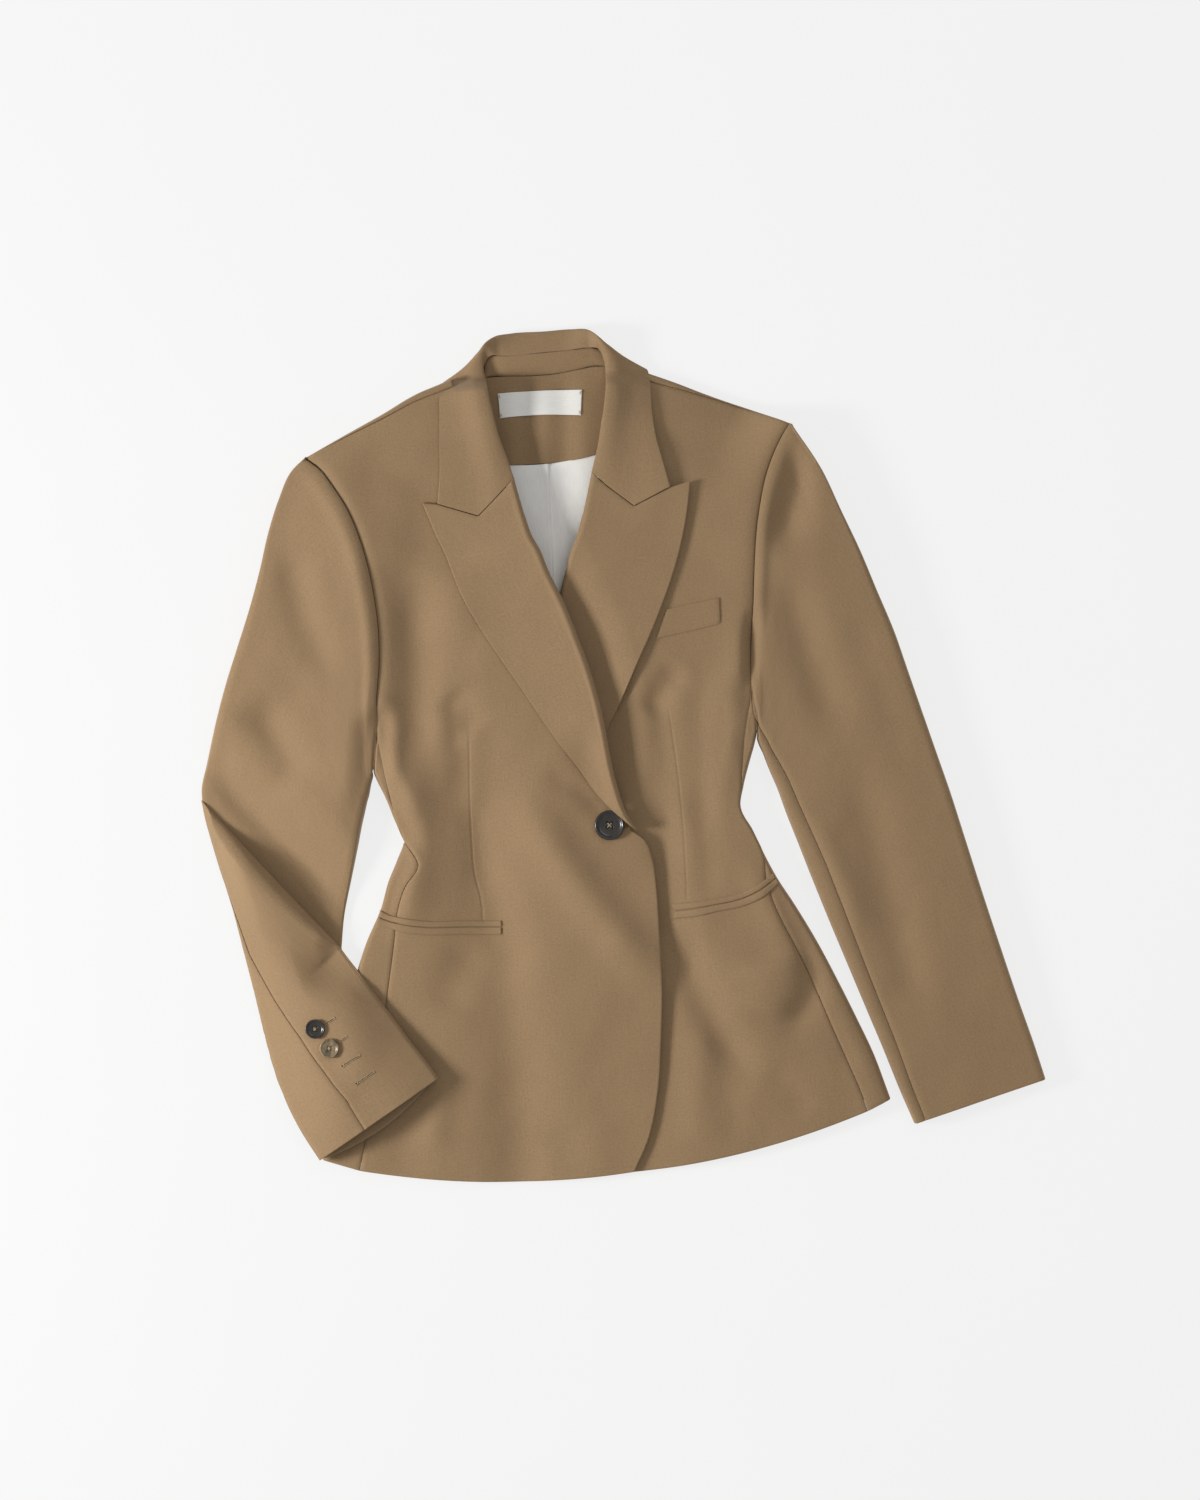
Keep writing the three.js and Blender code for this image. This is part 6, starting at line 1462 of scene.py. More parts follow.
def thread_material(name, colour):
    m, nt, bsdf = material(name)
    n = Nodes(nt)
    co = n.add("ShaderNodeTexCoord").outputs["Object"]
    ply = n.noise(co, 1500.0, 2.0, 0.5)
    dark = tuple(c * 0.72 for c in colour[:3]) + (1.0,)
    n.link(n.ramp(ply, [(0.35, dark), (0.65, colour)]), bsdf.inputs["Base Color"])
    bsdf.inputs["Roughness"].default_value = 0.7
    bsdf.inputs["Sheen Weight"].default_value = 0.2
    n.link(n.bump(ply, 0.4, 0.0002), bsdf.inputs["Normal"])
    return m


WORSTED = worsted_material("worsted_twill")
WORSTED_INSIDE = worsted_material("worsted_inside", (144, 118, 87))
SATIN = satin_material("ivory_satin")
LABEL_CLOTH = label_material("label_tape")
HORN = horn_material("horn_dark", srgb(20, 18, 17), srgb(52, 47, 43))
HORN_CUFF = horn_material("horn_light", srgb(38, 32, 27), srgb(158, 136, 104), 0.34)
THREAD = thread_material("thread_beige", srgb(176, 152, 118))
THREAD_DARK = thread_material("thread_tonal", srgb(128, 104, 78))

PIECES = {}


def piece(obj, mat, *nodes, slot="worsted"):
    obj.data.materials.clear()
    obj.data.materials.append(mat)
    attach(obj, "root")
    if nodes:
        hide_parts(*nodes)
    PIECES[obj.name] = obj
    return obj


# ---------------------------------------------------------------- the body
DART_RIGHT = fine(xy(DART_R), 6)
DART_LEFT = fine(xy(DART_L), 6)
front_right = piece(front("front_right_cloth", FRONT_RIGHT, top, -1, DART_RIGHT, 4.5, left=44, right=64), WORSTED, "front_right")
front_left = piece(front("front_left_cloth", FRONT_LEFT, under, 1, DART_LEFT, 4.5, left=44, right=56), WORSTED, "front_left")
side_right = piece(side_panel("side_right_cloth", SIDE_RIGHT, 118), WORSTED, "side_right")
side_left = piece(side_panel("side_left_cloth", SIDE_LEFT, 118), WORSTED, "side_left")
back_right = piece(back_panel("back_right_cloth", SIDE_RIGHT, ARM_RIGHT, SHOULDER_RIGHT, -1), WORSTED, "back_right")
back_left = piece(back_panel("back_left_cloth", SIDE_LEFT, ARM_LEFT, SHOULDER_LEFT, 1), WORSTED, "back_left")

# ---------------------------------------------------------------- sleeves
left = Sleeve(SLEEVE_LEFT, shift_arm(ARM_LEFT, 1), 210, 54, True)
sleeve_left_top = piece(top_sleeve("topsleeve_left_cloth", left, top, ground), WORSTED, "topsleeve_left")
P, N = under_sleeve("undersleeve_left_cloth", left, top, ground)
under_armhole(P, left)
sleeve_left_under = piece(shell("undersleeve_left_cloth", P, N, CLOTH, weave_by_length(P)), WORSTED, "undersleeve_left")

right = Sleeve(SLEEVE_RIGHT_UPPER, shift_arm(ARM_RIGHT, -1), 150, 60, False)
TUCK = 9
first_under = np.stack([lerp(right.i + right.d * (SLEEVE_TURN - SEAM), right.i + right.d * EDGE_RADIUS, s) for s in (0, 0.5)], 1)
last_under = np.stack([lerp(right.at[:, -1], right.place(right.n - 2) + right.d * SEAM, s) for s in (0, 0.34, 0.67, 1)], 1)
P, N = join(laid(first_under, ground, DOWN), turned(right.i, -right.d, -right.d, EDGE_RADIUS, ground, upper_arm, ANGLES[::-1]),
            laid(right.at, upper_arm), turned(right.o, right.d, right.d, EDGE_RADIUS, ground, upper_arm, ANGLES), laid(last_under, ground, DOWN))
first_col, cols = 2 + len(ANGLES), right.at.shape[1]
head = P[:, first_col:first_col + cols]
sink_cap(head, N, right)
# the cloth of the upper arm runs on a little way under the forearm
end_d = right.d[-1]
ahead = np.array([end_d[1], -end_d[0]])
ahead = ahead if ahead[1] < 0 else -ahead
s = np.clip((np.arange(P.shape[1]) - first_col) / (cols - 1), 0, 1)
reach = TUCK * np.sin(math.pi * s) ** 0.7
extra_P, extra_N = [], []
for step in (0.33, 0.66, 1.0):
    q = P[-1].copy()
    q[:, :2] += ahead * np.maximum(reach * step, 0.02 * step)[:, None]
    q[:, 2] -= 2.2 * (reach / TUCK) * step
    extra_P.append(q)
    extra_N.append(N[-1].copy())
base_rows = P.shape[0]
P, N = np.concatenate([P, np.stack(extra_P)]), np.concatenate([N, np.stack(extra_N)])
skip = np.zeros((P.shape[0] - 1, P.shape[1] - 1), bool)
skip[base_rows - 1:, :first_col + 3] = True
skip[base_rows - 1:, first_col + cols - 4:] = True
sleeve_right_top = piece(shell("topsleeve_right_upper_cloth", P, N, CLOTH, weave_by_length(P), skip), WORSTED, "topsleeve_right_upper")
a, b = right.i + right.d * (SLEEVE_TURN + SEAM), right.place(right.n - 2) - right.d * SEAM
flat = np.stack([lerp(b, a, s) for s in np.linspace(0, 1, 36)], 1)
P, N = laid(flat, ground, DOWN)
under_armhole(P, right, 36, 60)
sleeve_right_under = piece(shell("undersleeve_right_upper_cloth", P, N, CLOTH, weave_by_length(P)), WORSTED, "undersleeve_right_upper")

# the forearm, from the elbow tuck to the cuff
FORE_RADIUS = FORE_EDGE_HEIGHT / 2
fo, fi = xy(SLEEVE_RIGHT_FORE, "out"), xy(SLEEVE_RIGHT_FORE, "in")
t = places((fo + fi) / 2, 150, 0.35)
fo, fi = curve(fo, t), curve(fi, t)
fw = np.linalg.norm(fi - fo, axis=1)
fd = (fi - fo) / fw[:, None]
fseam = scalar(SLEEVE_RIGHT_FORE["seam"], t) * fw
crease_way = unit(fi[0] - fo[0])
crease_out = np.array([-crease_way[1], crease_way[0]])
crease_out = crease_out if crease_out @ (fo[20] - fo[0]) < 0 else -crease_out


def off_crease(p):
    """Rows beside the crease start at the inner side of its roll."""
    share = np.clip((p - fo[0]) @ crease_way / fw[0], 0, 1)
    c = -(p - fo[0]) @ crease_out
    inside = np.minimum(np.sin(math.pi * share) * 1.6, 1) ** 0.5
    from_out = np.linalg.norm(p - fo[:, None], axis=-1)
    return p - crease_out * ((roll_radius(share) * inside) * (1 - smooth(0, 42, c)) * smooth(2, 26, from_out))[..., None]


def roll_rows(P, N, columns):
    """The roll at the elbow: from the forearm's upper side round and down to the sleeve below."""
    first = P[0].copy()
    share = np.clip((first[:, :2] - fo[0]) @ crease_way / fw[0], 0, 1)
    inward = np.clip(-(first[:, :2] - fo[0]) @ crease_out, 0.02, None)
    rows, ways = [], []
    for angle in (-80, -60, -40, -20, 0, 20, 40, 60, 80):
        a = math.radians(angle)
        p = first.copy()
        p[:, :2] += crease_out * (inward * math.cos(a))[:, None]
        middle = (first[:, 2] + 1.8) / 2
        p[:, 2] = middle + (first[:, 2] - middle) * math.sin(a)
        p[:, 2] = np.where(columns, p[:, 2], first[:, 2])
        p[:, :2] = np.where(columns[:, None], p[:, :2], first[:, :2] + crease_out * 0.01 * math.cos(a))
        rows.append(p)
        ways.append(np.column_stack([np.tile(crease_out * math.cos(a), (len(p), 1)), np.full(len(p), math.sin(a))]))
    return np.concatenate([np.stack(rows), P]), np.concatenate([np.stack(ways), N])


a, b = fo + fd * FORE_RADIUS, fi - fd * FORE_RADIUS
across = off_crease(np.stack([lerp(b, a, s) for s in spread(74, 0.3)], 1))
below_in = np.stack([lerp(fi - fd * (SLEEVE_TURN - SEAM), b, s) for s in (0, 0.5)], 1)
below_out = np.stack([lerp(a, fi - fd * (SLEEVE_TURN + SEAM), s) for s in np.linspace(0, 1, 44)[1:]], 1)
dip = 8 * np.sin(math.pi * np.linspace(0, 1, 44)[1:]) ** 0.8
way = np.array([fd[-1][1], -fd[-1][0]])
for k in range(16):
    below_out[-1 - k] += way * (dip * (1 - k / 16) ** 2)[:, None]
inner_turn = turned(fi, fd, fd, FORE_RADIUS, fore_base, fore_top, ANGLES[::-1])
outer_turn = turned(fo, -fd, -fd, FORE_RADIUS, fore_base, fore_top, ANGLES)
# rows beside the crease keep their turned edges clear of the roll
FULL = join(laid(below_in, fore_bottom, DOWN), inner_turn, laid(across[:, 1:-1], fore_top), outer_turn, laid(below_out, fore_bottom, DOWN))
run = np.concatenate([np.zeros((len(t), 1)), np.cumsum(np.linalg.norm(np.diff(FULL[0], axis=1), axis=2), axis=1)], 1)
out_top = 2 + len(ANGLES) + 72
at_top, at_side = run[:, out_top], run[:, out_top + ANGLES.index(0)]
from_edge = np.maximum(fseam, 0)
# length along the section to the seam
flat_run = np.array([np.interp(fi_w - fs, np.linalg.norm(FULL[0][i, 2 + len(ANGLES) - 1:out_top + 1, :2] - fi[i], axis=1), run[i, 2 + len(ANGLES) - 1:out_top + 1])
                     for i, (fi_w, fs) in enumerate(zip(fw, from_edge))])
seam_run = np.where(from_edge > FORE_RADIUS, flat_run, lerp(at_side + 1.0, at_top, np.clip(from_edge / FORE_RADIUS, 0, 1)))
P, N = cut(*FULL, 0, seam_run - SEAM, np.concatenate([np.linspace(0, 0.14, 16)[:-1], 0.14 + 0.86 * spread(66, 0.2)]))
press(P, N, "right", 0.6, 1.6)
top_columns = N[0, :, 2] > 0.9
P, N = roll_rows(P, N, top_columns)
skip = np.zeros((P.shape[0] - 1, P.shape[1] - 1), bool)
skip[:9] = ~(top_columns[:-1] & top_columns[1:])[None, :]
fore_top_piece = piece(shell("topsleeve_right_fore_cloth", P, N, CLOTH, weave_by_length(P), skip), WORSTED, "topsleeve_right_fore")
P, N = cut(*FULL, seam_run + SEAM, 0, np.concatenate([spread(30, 0.2)[:-1] * 0.5, 0.5 + 0.5 * np.linspace(0, 1, 40)]))
press(P, N, "left", 0.6, 1.6)
fore_under_piece = piece(shell("undersleeve_right_fore_cloth", P, N, CLOTH, weave_by_length(P)), WORSTED, "undersleeve_right_fore")

# ---------------------------------------------------------------- collar and lapels
lapel_right = piece(lapel("lapel_right_cloth", LAPEL_RIGHT, gorge_line(0, LAPEL_TIPS["right"]), top, -1), WORSTED, "lapel_right")
lapel_left = piece(lapel("lapel_left_cloth", LAPEL_LEFT, gorge_line(-1, LAPEL_TIPS["left"]), under, 1, rows=140), WORSTED, "lapel_left")
collar = piece(collar_mesh("collar_cloth"), WORSTED, "collar")

x, y, z, t = band(STAND, "top", "foot", spread(14, 0.3), lambda x, y: x * 0, rows=70)
z = lerp(scalar(STAND["top_z"], t)[:, None], scalar(STAND["foot_z"], t)[:, None], spread(14, 0.3)[None, :])
P, N = flat_grid(x, y, z)
press(P, N, "left", 0.5, 1.6)
press(P, N, "right", 0.5, 1.6)
stand = piece(shell("collar_stand_cloth", P, N, CLOTH, weave_by_length(P)), WORSTED_INSIDE, "collar_stand")


def on_back(lift):
    return lambda x, y: rise(y) + CLOTH + lift


def neck_ripples(x, y):
    """Soft vertical ripples of the back neck facing."""
    total = 0 * x
    for cx, w, d in ((-96, 9, 1.2), (-82, 8, -1.4), (-66, 8, 1.5), (-49, 8, -1.3), (-33, 9, 1.0)):
        total += d * np.exp(-(((x - cx) / w) ** 2))
    return total * smooth(334, 300, y)


def puff(x, y):
    """The back lies a little puffed under the open neck."""
    return 5.0 * smooth(322, 268, y)


x, y, z, t = band(FACING, "foot", "low", spread(40, 0.3), lambda x, y: on_back(LAID_GAP + THIN_CLOTH)(x, y) + 0.5 + neck_ripples(x, y) + puff(x, y), rows=90)
P, N = flat_grid(x, y, z)
facing = piece(shell("neck_facing_cloth", P, N, THIN_CLOTH, weave_flat(P, 4.5)), WORSTED_INSIDE, "neck_facing")


def pleat(x, y):
    """The lining's ease pleat: one layer folded over the next, fading downwards."""
    a = nearest(xy(PLEAT_A), x, y)
    b = nearest(xy(PLEAT_B), x, y)
    step = 2.4 * smooth(-1.0, 0.5, a[0] * a[2]) * np.exp(-np.maximum(a[0] * a[2], 0) / 16)
    soft = 0.9 * np.exp(-((b[0] / 4.5) ** 2))
    return step + soft + 0.35 * np.sin(x / 9.0 + y / 40)


x, y, z, t = band(LINING, "a", "b", spread(84, 0.0), lambda x, y: on_back(LAID_GAP + THIN_CLOTH)(x, y) + pleat(x, y) + puff(x, y) - 0.4, rows=110)
P, N = flat_grid(x, y, z)
lining = piece(shell("back_lining_satin", P, N, THIN_CLOTH, weave_flat(P, 4.5)), SATIN, "back_lining", slot="satin")

lx, ly = [], []
A, B = xy(LABEL, "a"), xy(LABEL, "b")
t = np.linspace(0, 2, 26)
A, B, sag = curve(A, t), curve(B, t), scalar(LABEL["sag"], t)
s = spread(60, 0.2)
x = lerp(A[:, :1], B[:, :1], s)
y = lerp(A[:, 1:], B[:, 1:], s) - sag[:, None] * 4 * s * (1 - s)
z = on_back(2 * (LAID_GAP + THIN_CLOTH))(x, y) + 0.5 + neck_ripples(x, y) * 0.7 + puff(x, y)
P, N = flat_grid(x, y, z)
label = piece(shell("neck_label_tape", P, N, 0.7, weave_flat(P, 3.0)), LABEL_CLOTH, "neck_label", slot="label")


# ---------------------------------------------------------------- pockets
def jet(name, T, a, b, height, node):
    """A narrow piped strip, crowned between its two seams."""
    s = spread(13, 0.5)
    lo, hi = 0.04, 0.96
    steps = lo + (hi - lo) * s
    x, y, z, t = band(T, a, b, steps, height, rows=110, crowd=0.1)
    crown = 0.75 * np.sqrt(np.maximum(1 - (2 * s - 1) ** 2, 0))
    P, N = flat_grid(x, y, z + LAID_GAP + 0.45 + crown)
    return piece(shell(name, P, N, 0.9, weave_by_length(P)), WORSTED, node)


jets = [
    jet("hip_jet_right_upper_cloth", POCKET_RIGHT, "top", "slot", top, "hip_jet_right_upper"),
    jet("hip_jet_right_lower_cloth", POCKET_RIGHT, "slot", "low", top, "hip_jet_right_lower"),
    jet("hip_jet_left_upper_cloth", POCKET_LEFT, "top", "slot", under, "hip_jet_left_upper"),
    jet("hip_jet_left_lower_cloth", POCKET_LEFT, "slot", "low", under, "hip_jet_left_lower"),
]
x, y, z, t = band(CHEST_WELT, "top", "low", spread(24, 0.3), under, rows=60)
P, N = flat_grid(x, y, z + LAID_GAP + JET_CLOTH)
press(P, N, "right", 0.6, 2.0)
press(P, N, "start", 0.5, 1.6)
press(P, N, "end", 0.5, 1.6)
welt = piece(shell("chest_welt_cloth", P, N, JET_CLOTH, weave_by_length(P)), WORSTED, "chest_welt")


# ---------------------------------------------------------------- buttons
def turned_button(name, radius, thick, at, mat, node, tilt=(0, 0)):
    """A turned horn button: raised rim, dished middle and four drilled holes."""
    x0, y0, z0 = at
    seg = 128
    rings = np.concatenate([np.linspace(0.02, 0.5, 46), np.linspace(0.52, 0.80, 14), np.linspace(0.82, 1.0, 18)])
    prof_r = [0, 0.40, 0.66, 0.76, 0.83, 0.88, 0.93, 0.97, 0.995, 1.0]
    prof_z = [0.50, 0.53, 0.60, 0.72, 0.90, 0.985, 1.0, 0.93, 0.78, 0.62]
    z_top = np.interp(rings, prof_r, prof_z) * thick
    k = np.array([0.25, 0.5, 0.25])
    z_top[1:-1] = np.convolve(z_top, k, "valid")
    ang = np.arange(seg) * 2 * math.pi / seg
    X = rings[:, None] * radius * np.cos(ang)
    Y = rings[:, None] * radius * np.sin(ang)
    Z = np.repeat(z_top[:, None], seg, 1)
    for sx, sy in ((1, 1), (-1, 1), (-1, -1), (1, -1)):
        d = np.hypot(X - sx * radius * 0.16, Y - sy * radius * 0.16) / (radius * 0.088)
        Z -= thick * 0.46 * smooth(1.18, 0.82, d)
    grid = [np.stack([X, Y, Z], -1)]
    low = []
    for rr, zz in ((0.985, 0.30), (0.93, 0.12), (0.80, 0.0), (0.4, 0.0), (0.02, 0.0)):
        low.append(np.stack([rr * radius * np.cos(ang), rr * radius * np.sin(ang), np.full(seg, zz * thick)], -1))
    verts = np.concatenate([grid[0].reshape(-1, 3), np.concatenate(low)])
    total = len(rings) + len(low)
    verts[:, 2] += z0 + verts[:, 0] * tilt[0] + verts[:, 1] * tilt[1]
    verts[:, 0] += x0
    verts[:, 1] += y0
    idx = np.arange(total * seg).reshape(total, seg)
    nxt = np.roll(idx, -1, 1)
    quads = np.stack([idx[:-1], idx[1:], nxt[1:], nxt[:-1]], -1).reshape(-1, 4)
    caps = []
    verts = np.concatenate([verts, verts[idx[0]].mean(0)[None], verts[idx[-1]].mean(0)[None]])
    c0, c1 = len(verts) - 2, len(verts) - 1
    caps = np.concatenate([np.stack([np.full(seg, c0), idx[0], nxt[0]], 1), np.stack([np.full(seg, c1), nxt[-1], idx[-1]], 1)])
    obj = mesh_from(name, verts, quads, None, caps)
    return piece(obj, mat, node, slot="horn")


def thread(name, paths, radius, mat, sides=8):
    """Stitches: short round threads along their paths, all in one mesh."""
    verts, quads, caps, start = [], [], [], 0
    for path in paths:
        p = np.asarray(path, float)
        q = np.concatenate([p[:1], p, p[-1:]])
        tangent = unit(q[2:] - q[:-2])
        side = unit(np.cross(tangent, UP))
        up = np.cross(side, tangent)
        n = len(p)
        width = radius * np.sqrt(np.clip(1 - np.abs(np.linspace(-1, 1, n)) ** 6, 0.05, 1))
        a = np.arange(sides) * 2 * math.pi / sides
        ring = p[:, None] + width[:, None, None] * (side[:, None] * np.cos(a)[None, :, None] + up[:, None] * np.sin(a)[None, :, None])
        verts.append(ring.reshape(-1, 3))
        idx = start + np.arange(n * sides).reshape(n, sides)
        nxt = np.roll(idx, -1, 1)
        quads.append(np.stack([idx[:-1], nxt[:-1], nxt[1:], idx[1:]], -1).reshape(-1, 4))
        verts.append(np.stack([p[0], p[-1]]))
        c0, c1 = start + n * sides, start + n * sides + 1
        caps.append(np.stack([np.full(sides, c0), nxt[0], idx[0]], 1))
        caps.append(np.stack([np.full(sides, c1), idx[-1], nxt[-1]], 1))
        start += n * sides + 2
    obj = mesh_from(name, np.concatenate(verts), np.concatenate(quads), None, np.concatenate(caps))
    return piece(obj, mat)


def height_at(height, x, y):
    return float(height(np.array([float(x)]), np.array([float(y)]))[0])


def rest_height(height, x, y, r):
    a = np.arange(24) * math.pi / 12
    px = np.concatenate([[x], x + r * np.cos(a), x + r * 0.5 * np.cos(a)])
    py = np.concatenate([[y], y + r * np.sin(a), y + r * 0.5 * np.sin(a)])
    return float(height(px, py).max())


def cross_stitch(name, x, y, z, radius, thick, mat):
    h = radius * 0.16
    paths = []
    for a, b, lift in (((-h, -h), (h, h), 0.2), ((-h, h), (h, -h), 0.55)):
        for off in (-0.22, 0.0, 0.22):
            d = np.array([b[0] - a[0], b[1] - a[1]])
            nrm = np.array([-d[1], d[0]]) / np.hypot(*d) * off
            s = np.linspace(0, 1, 9)
            paths.append(np.column_stack([x + a[0] + d[0] * s + nrm[0], y + a[1] + d[1] * s + nrm[1],
                                          z + thick * 0.50 - 0.55 + (lift + 0.75) * np.sin(math.pi * s) ** 0.55]))
    return thread(name, paths, 0.2, mat)


bz = rest_height(top, -11.05, -59.5, 10.0) + 0.5
front_button = turned_button("front_button_horn", 12.75, 4.4, (-11.05, -59.5, bz), HORN, "front_button")
cross_stitch("front_button_thread", -11.05, -59.5, bz, 12.75, 4.4, THREAD)
for name, cx, cy, mat in (("cuff_button_1", -260.0, -231.6, HORN), ("cuff_button_2", -247.8, -247.8, HORN_CUFF)):
    z0 = rest_height(fore_top, cx, cy, 6.5) + 0.45
    turned_button(name + "_horn", 8.25, 3.2, (cx, cy, z0), mat, name)
    cross_stitch(name + "_thread", cx, cy, z0, 8.25, 3.2, THREAD)


# ---------------------------------------------------------------- buttonholes and small stitches
# painted shade: a dark brown thread material, laid along each buttonhole's slit and in its round eye, stands in for the
# shade inside these openings
PAINTED_SLIT_SHADE = thread_material("slit_shade", srgb(66, 52, 36))


def buttonhole(name, a, b, eye, height, half=0.95):
    """A worked buttonhole: a slit between two rows of close purl stitches, a bar at one end and,
    on the tailored ones, a small round eye at the other."""
    a, b = np.array(a, float), np.array(b, float)
    length = np.linalg.norm(b - a)
    way = (b - a) / length
    across = np.array([-way[1], way[0]])
    worked, slit = [], []
    start = 1.7 if eye else 0.5
    for at in np.arange(start, length - 0.5, 0.52):
        for side in (-1, 1):
            jog = 0.10 * math.sin(at * 9.7 + side)
            p = np.array([a + way * at + across * side * w for w in (0.22, half * 0.55 + 0.1, half * 1.15 + jog)])
            p = np.linspace(0, 1, 5)[:, None] * (p[2] - p[0])[None] + p[0][None]
            z = height(p[:, 0], p[:, 1]) + 0.12 + 0.42 * np.sin(math.pi * np.linspace(0.12, 0.88, 5))
            worked.append(np.column_stack([p, z]))
    s = np.linspace(0, 1, 12)[:, None]
    # painted shade: a thin dark thread along the slit stands in for the shade in the cut
    line = a + way * start + (way * (length - start - 0.4)) * s
    slit.append(np.column_stack([line, height(line[:, 0], line[:, 1]) + 0.10]))
    bar = b + across * np.linspace(-1, 1, 7)[:, None] * half * 1.35
    for off in (-0.28, 0.05, 0.38):
        p = bar + way * off
        worked.append(np.column_stack([p, height(p[:, 0], p[:, 1]) + 0.42]))
    if eye:
        turn = np.linspace(0, 2 * math.pi, 15)[:-1]
        centre = a + way * 0.5
        for k in turn:
            d = np.array([math.cos(k), math.sin(k)])
            p = centre + d * np.linspace(0.75, 1.85, 5)[:, None]
            worked.append(np.column_stack([p, height(p[:, 0], p[:, 1]) + 0.12 + 0.42 * np.sin(math.pi * np.linspace(0.12, 0.88, 5))]))
        # painted shade: a short, fat dark thread fills the eye, standing in for the shade in the hole
        p = centre + way * np.linspace(-0.45, 0.45, 6)[:, None]
        slit.append(np.column_stack([p, height(p[:, 0], p[:, 1]) + 0.16]))
    thread(name + "_stitches", worked, 0.21, THREAD_HOLE, sides=6)
    thread(name + "_painted_slit_shade", slit[:1], 0.13, PAINTED_SLIT_SHADE, sides=6)
    if eye:
        thread(name + "_painted_eye_shade", slit[1:], 0.62, PAINTED_SLIT_SHADE, sides=6)


THREAD_HOLE = thread_material("thread_hole", srgb(186, 160, 122))
HA, HB = xy(BUTTONHOLES, "a"), xy(BUTTONHOLES, "b")
for k in range(len(HA)):
    buttonhole("cuff_buttonhole_%d" % (k + 1), HA[k], HB[k], BUTTONHOLES["eye"][k] > 0.5, fore_top)
buttonhole("front_buttonhole", (-10.0, -60.0), (5.4, -62.6), False, top)


def lies_on(obj, p, q, count=7):
    """A path from p to q over an object's top."""
    v = np.empty(len(obj.data.vertices) * 3)
    obj.data.vertices.foreach_get("co", v)
    v = v.reshape(-1, 3) * 1000
    s = np.linspace(0, 1, count)[:, None]
    line = np.array(p) + (np.array(q) - np.array(p)) * s
    z = [v[np.hypot(v[:, 0] - a, v[:, 1] - b) < 1.6][:, 2].max() for a, b in line]
    return np.column_stack([line, z])


ends = []
LA, LB = xy(LABEL, "a"), xy(LABEL, "b")
for corner, other, along_ in ((LA[0], LA[-1], LB[0]), (LB[0], LB[-1], LA[0]), (LA[-1], LA[0], LB[-1]), (LB[-1], LB[0], LA[-1])):
    down, side = unit((other - corner)[None])[0], unit((along_ - corner)[None])[0]
    for inset in (0.9, 1.5):
        p = corner + down * 0.9 + side * inset
        path = lies_on(label, p, p + down * 3.2 + side * 0.3)
        path[:, 2] += 0.10 + 0.12 * np.sin(math.pi * np.linspace(0, 1, len(path)))
        ends.append(path)
thread("label_stitches", ends, 0.16, THREAD)

# ---------------------------------------------------------------- what each cloth was cut to
SHEETS = [
    (front_right, (0.275, 0.685), "laid", ["back_right_cloth", "back_left_cloth"], 0.128, jets[:2]),
    (front_left, (0.255, 0.685), "laid", ["back_left_cloth"], 0.111, jets[2:] + [welt]),
    (side_right, (0.120, 0.360), "folded", ["back_right_cloth"], 0.022, []),
    (side_left, (0.135, 0.350), "folded", ["back_left_cloth"], 0.0175, []),
    (back_right, (0.210, 0.675), "laid", ["ground"], 0.108, []),
    (back_left, (0.205, 0.640), "laid", ["ground"], 0.098, []),
    (sleeve_left_top, (0.190, 0.530), "laid", ["undersleeve_left_cloth"], 0.078, []),
    (sleeve_left_under, (0.170, 0.470), "laid", ["ground"], 0.063, []),
    (sleeve_right_top, (0.200, 0.330), "folded", ["undersleeve_right_upper_cloth"], 0.050, []),
    (sleeve_right_under, (0.150, 0.270), "laid", ["ground"], 0.033, []),
    (fore_top_piece, (0.125, 0.220), "folded", ["undersleeve_right_fore_cloth"], 0.020, []),
    (fore_under_piece, (0.160, 0.270), "folded", ["front_right_cloth", "side_right_cloth"], 0.030, []),
    (lapel_right, (0.105, 0.310), "folded", ["front_right_cloth"], 0.0195, []),
    (lapel_left, (0.110, 0.280), "folded", ["front_left_cloth"], 0.0175, []),
    (collar, (0.390, 0.090), "folded", ["front_right_cloth", "front_left_cloth", "back_right_cloth"], 0.025, []),
    (stand, (0.106, 0.020), "laid", ["collar_cloth"], 0.0019, []),
    (facing, (0.121, 0.078), "laid", ["back_right_cloth", "back_left_cloth"], 0.0085, []),
    (lining, (0.102, 0.132), "laid", ["back_right_cloth", "back_left_cloth"], 0.0076, []),
    (label, (0.072, 0.023), "laid", ["neck_facing_cloth"], 0.0016, []),
]


def outer_area(obj):
    me = obj.data
    a = np.empty(len(me.polygons))
    me.polygons.foreach_get("area", a)
    return a.sum() / 2


for obj, flat, held, on, area, more in SHEETS:
    measured = outer_area(obj)
    print("SHEET", obj.name, "measured %.4f" % measured, "flat %.4f" % (flat[0] * flat[1]), "ratio %.2f" % (measured / (area or flat[0] * flat[1])))

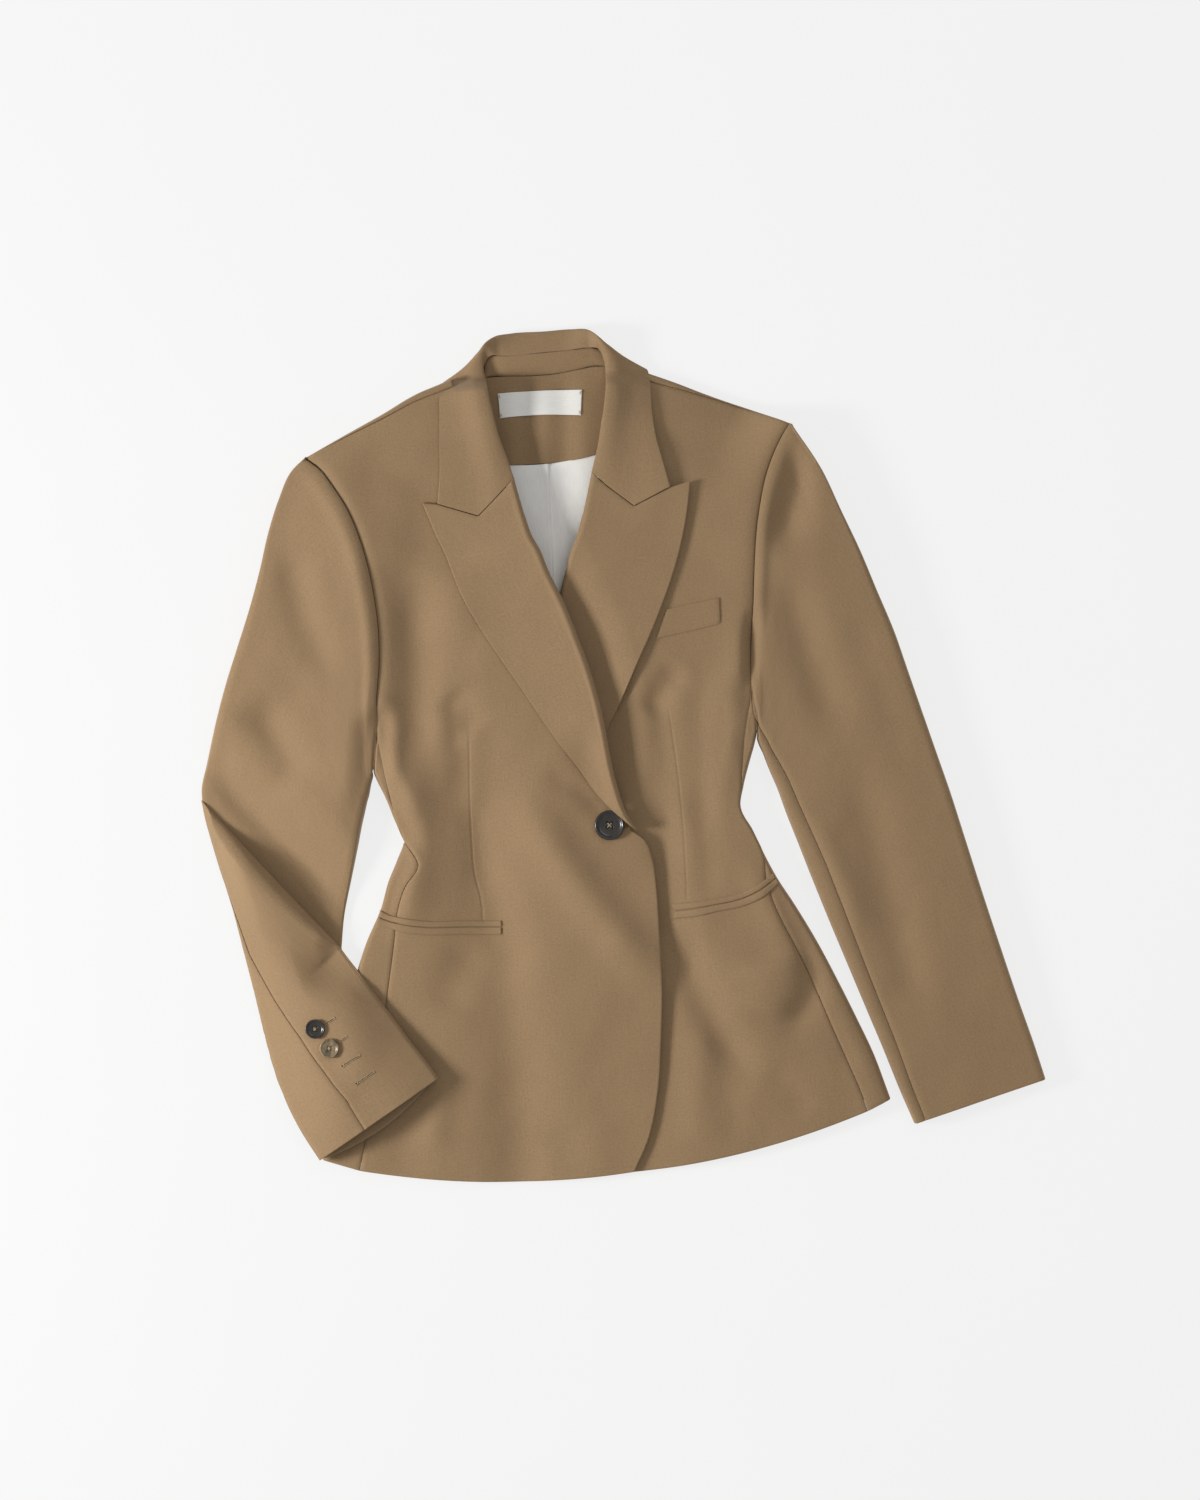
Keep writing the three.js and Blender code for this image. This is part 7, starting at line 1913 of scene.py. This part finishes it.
# ---------------------------------------------------------------- floor, light and camera
bpy.ops.mesh.primitive_plane_add(size=14, location=(0, 0, -0.0004))
floor = bpy.context.object
floor.name = "floor"
m, nt, bsdf = material("floor_pale")
n = Nodes(nt)
co = n.add("ShaderNodeTexCoord").outputs["Object"]
n.link(n.ramp(n.noise(co, 3.0, 2.0, 0.5), [(0.2, srgb(98, 98, 98)), (0.8, srgb(101, 101, 101))]), bsdf.inputs["Base Color"])
bsdf.inputs["Roughness"].default_value = 0.9
bsdf.inputs["Specular IOR Level"].default_value = 0.0
bsdf.inputs["Emission Color"].default_value = (1, 1, 1, 1)
bsdf.inputs["Emission Strength"].default_value = 0.79
floor.data.materials.append(m)

world = bpy.data.worlds.new("studio")
bpy.context.scene.world = world
world.use_nodes = True
world.node_tree.nodes["Background"].inputs[0].default_value = (1.0, 0.99, 0.98, 1)
world.node_tree.nodes["Background"].inputs[1].default_value = 0.42


def area_light(name, at, target, size, power, colour=(1, 1, 1)):
    data = bpy.data.lights.new(name, "AREA")
    data.shape = "RECTANGLE"
    data.size, data.size_y = size
    data.energy = power
    data.color = colour
    o = bpy.data.objects.new(name, data)
    bpy.context.collection.objects.link(o)
    from mathutils import Vector
    v = Vector(target) - Vector(at)
    o.location = at
    o.rotation_euler = v.to_track_quat("-Z", "Y").to_euler()
    return o


area_light("key", (-1.78, -0.21, 0.99), (0, 0, 0), (0.46, 0.46), 37, (1.0, 0.99, 0.97))
area_light("fill", (1.2, 1.6, 3.4), (0, 0, 0), (2.4, 2.4), 22, (0.98, 0.99, 1.0))

cam = bpy.data.cameras.new("camera")
cam.sensor_fit = "VERTICAL"
cam.sensor_height = 36
DISTANCE = 4.0
cam.lens = 36 * DISTANCE / 1.275
cam.clip_end = 20
camera = bpy.data.objects.new("camera", cam)
bpy.context.collection.objects.link(camera)
camera.location = ((-19.1 - 0.65) / 1000, (4.25 + 0.6) / 1000, DISTANCE + 0.010)
bpy.context.scene.camera = camera
bpy.context.scene.view_settings.view_transform = "Standard"
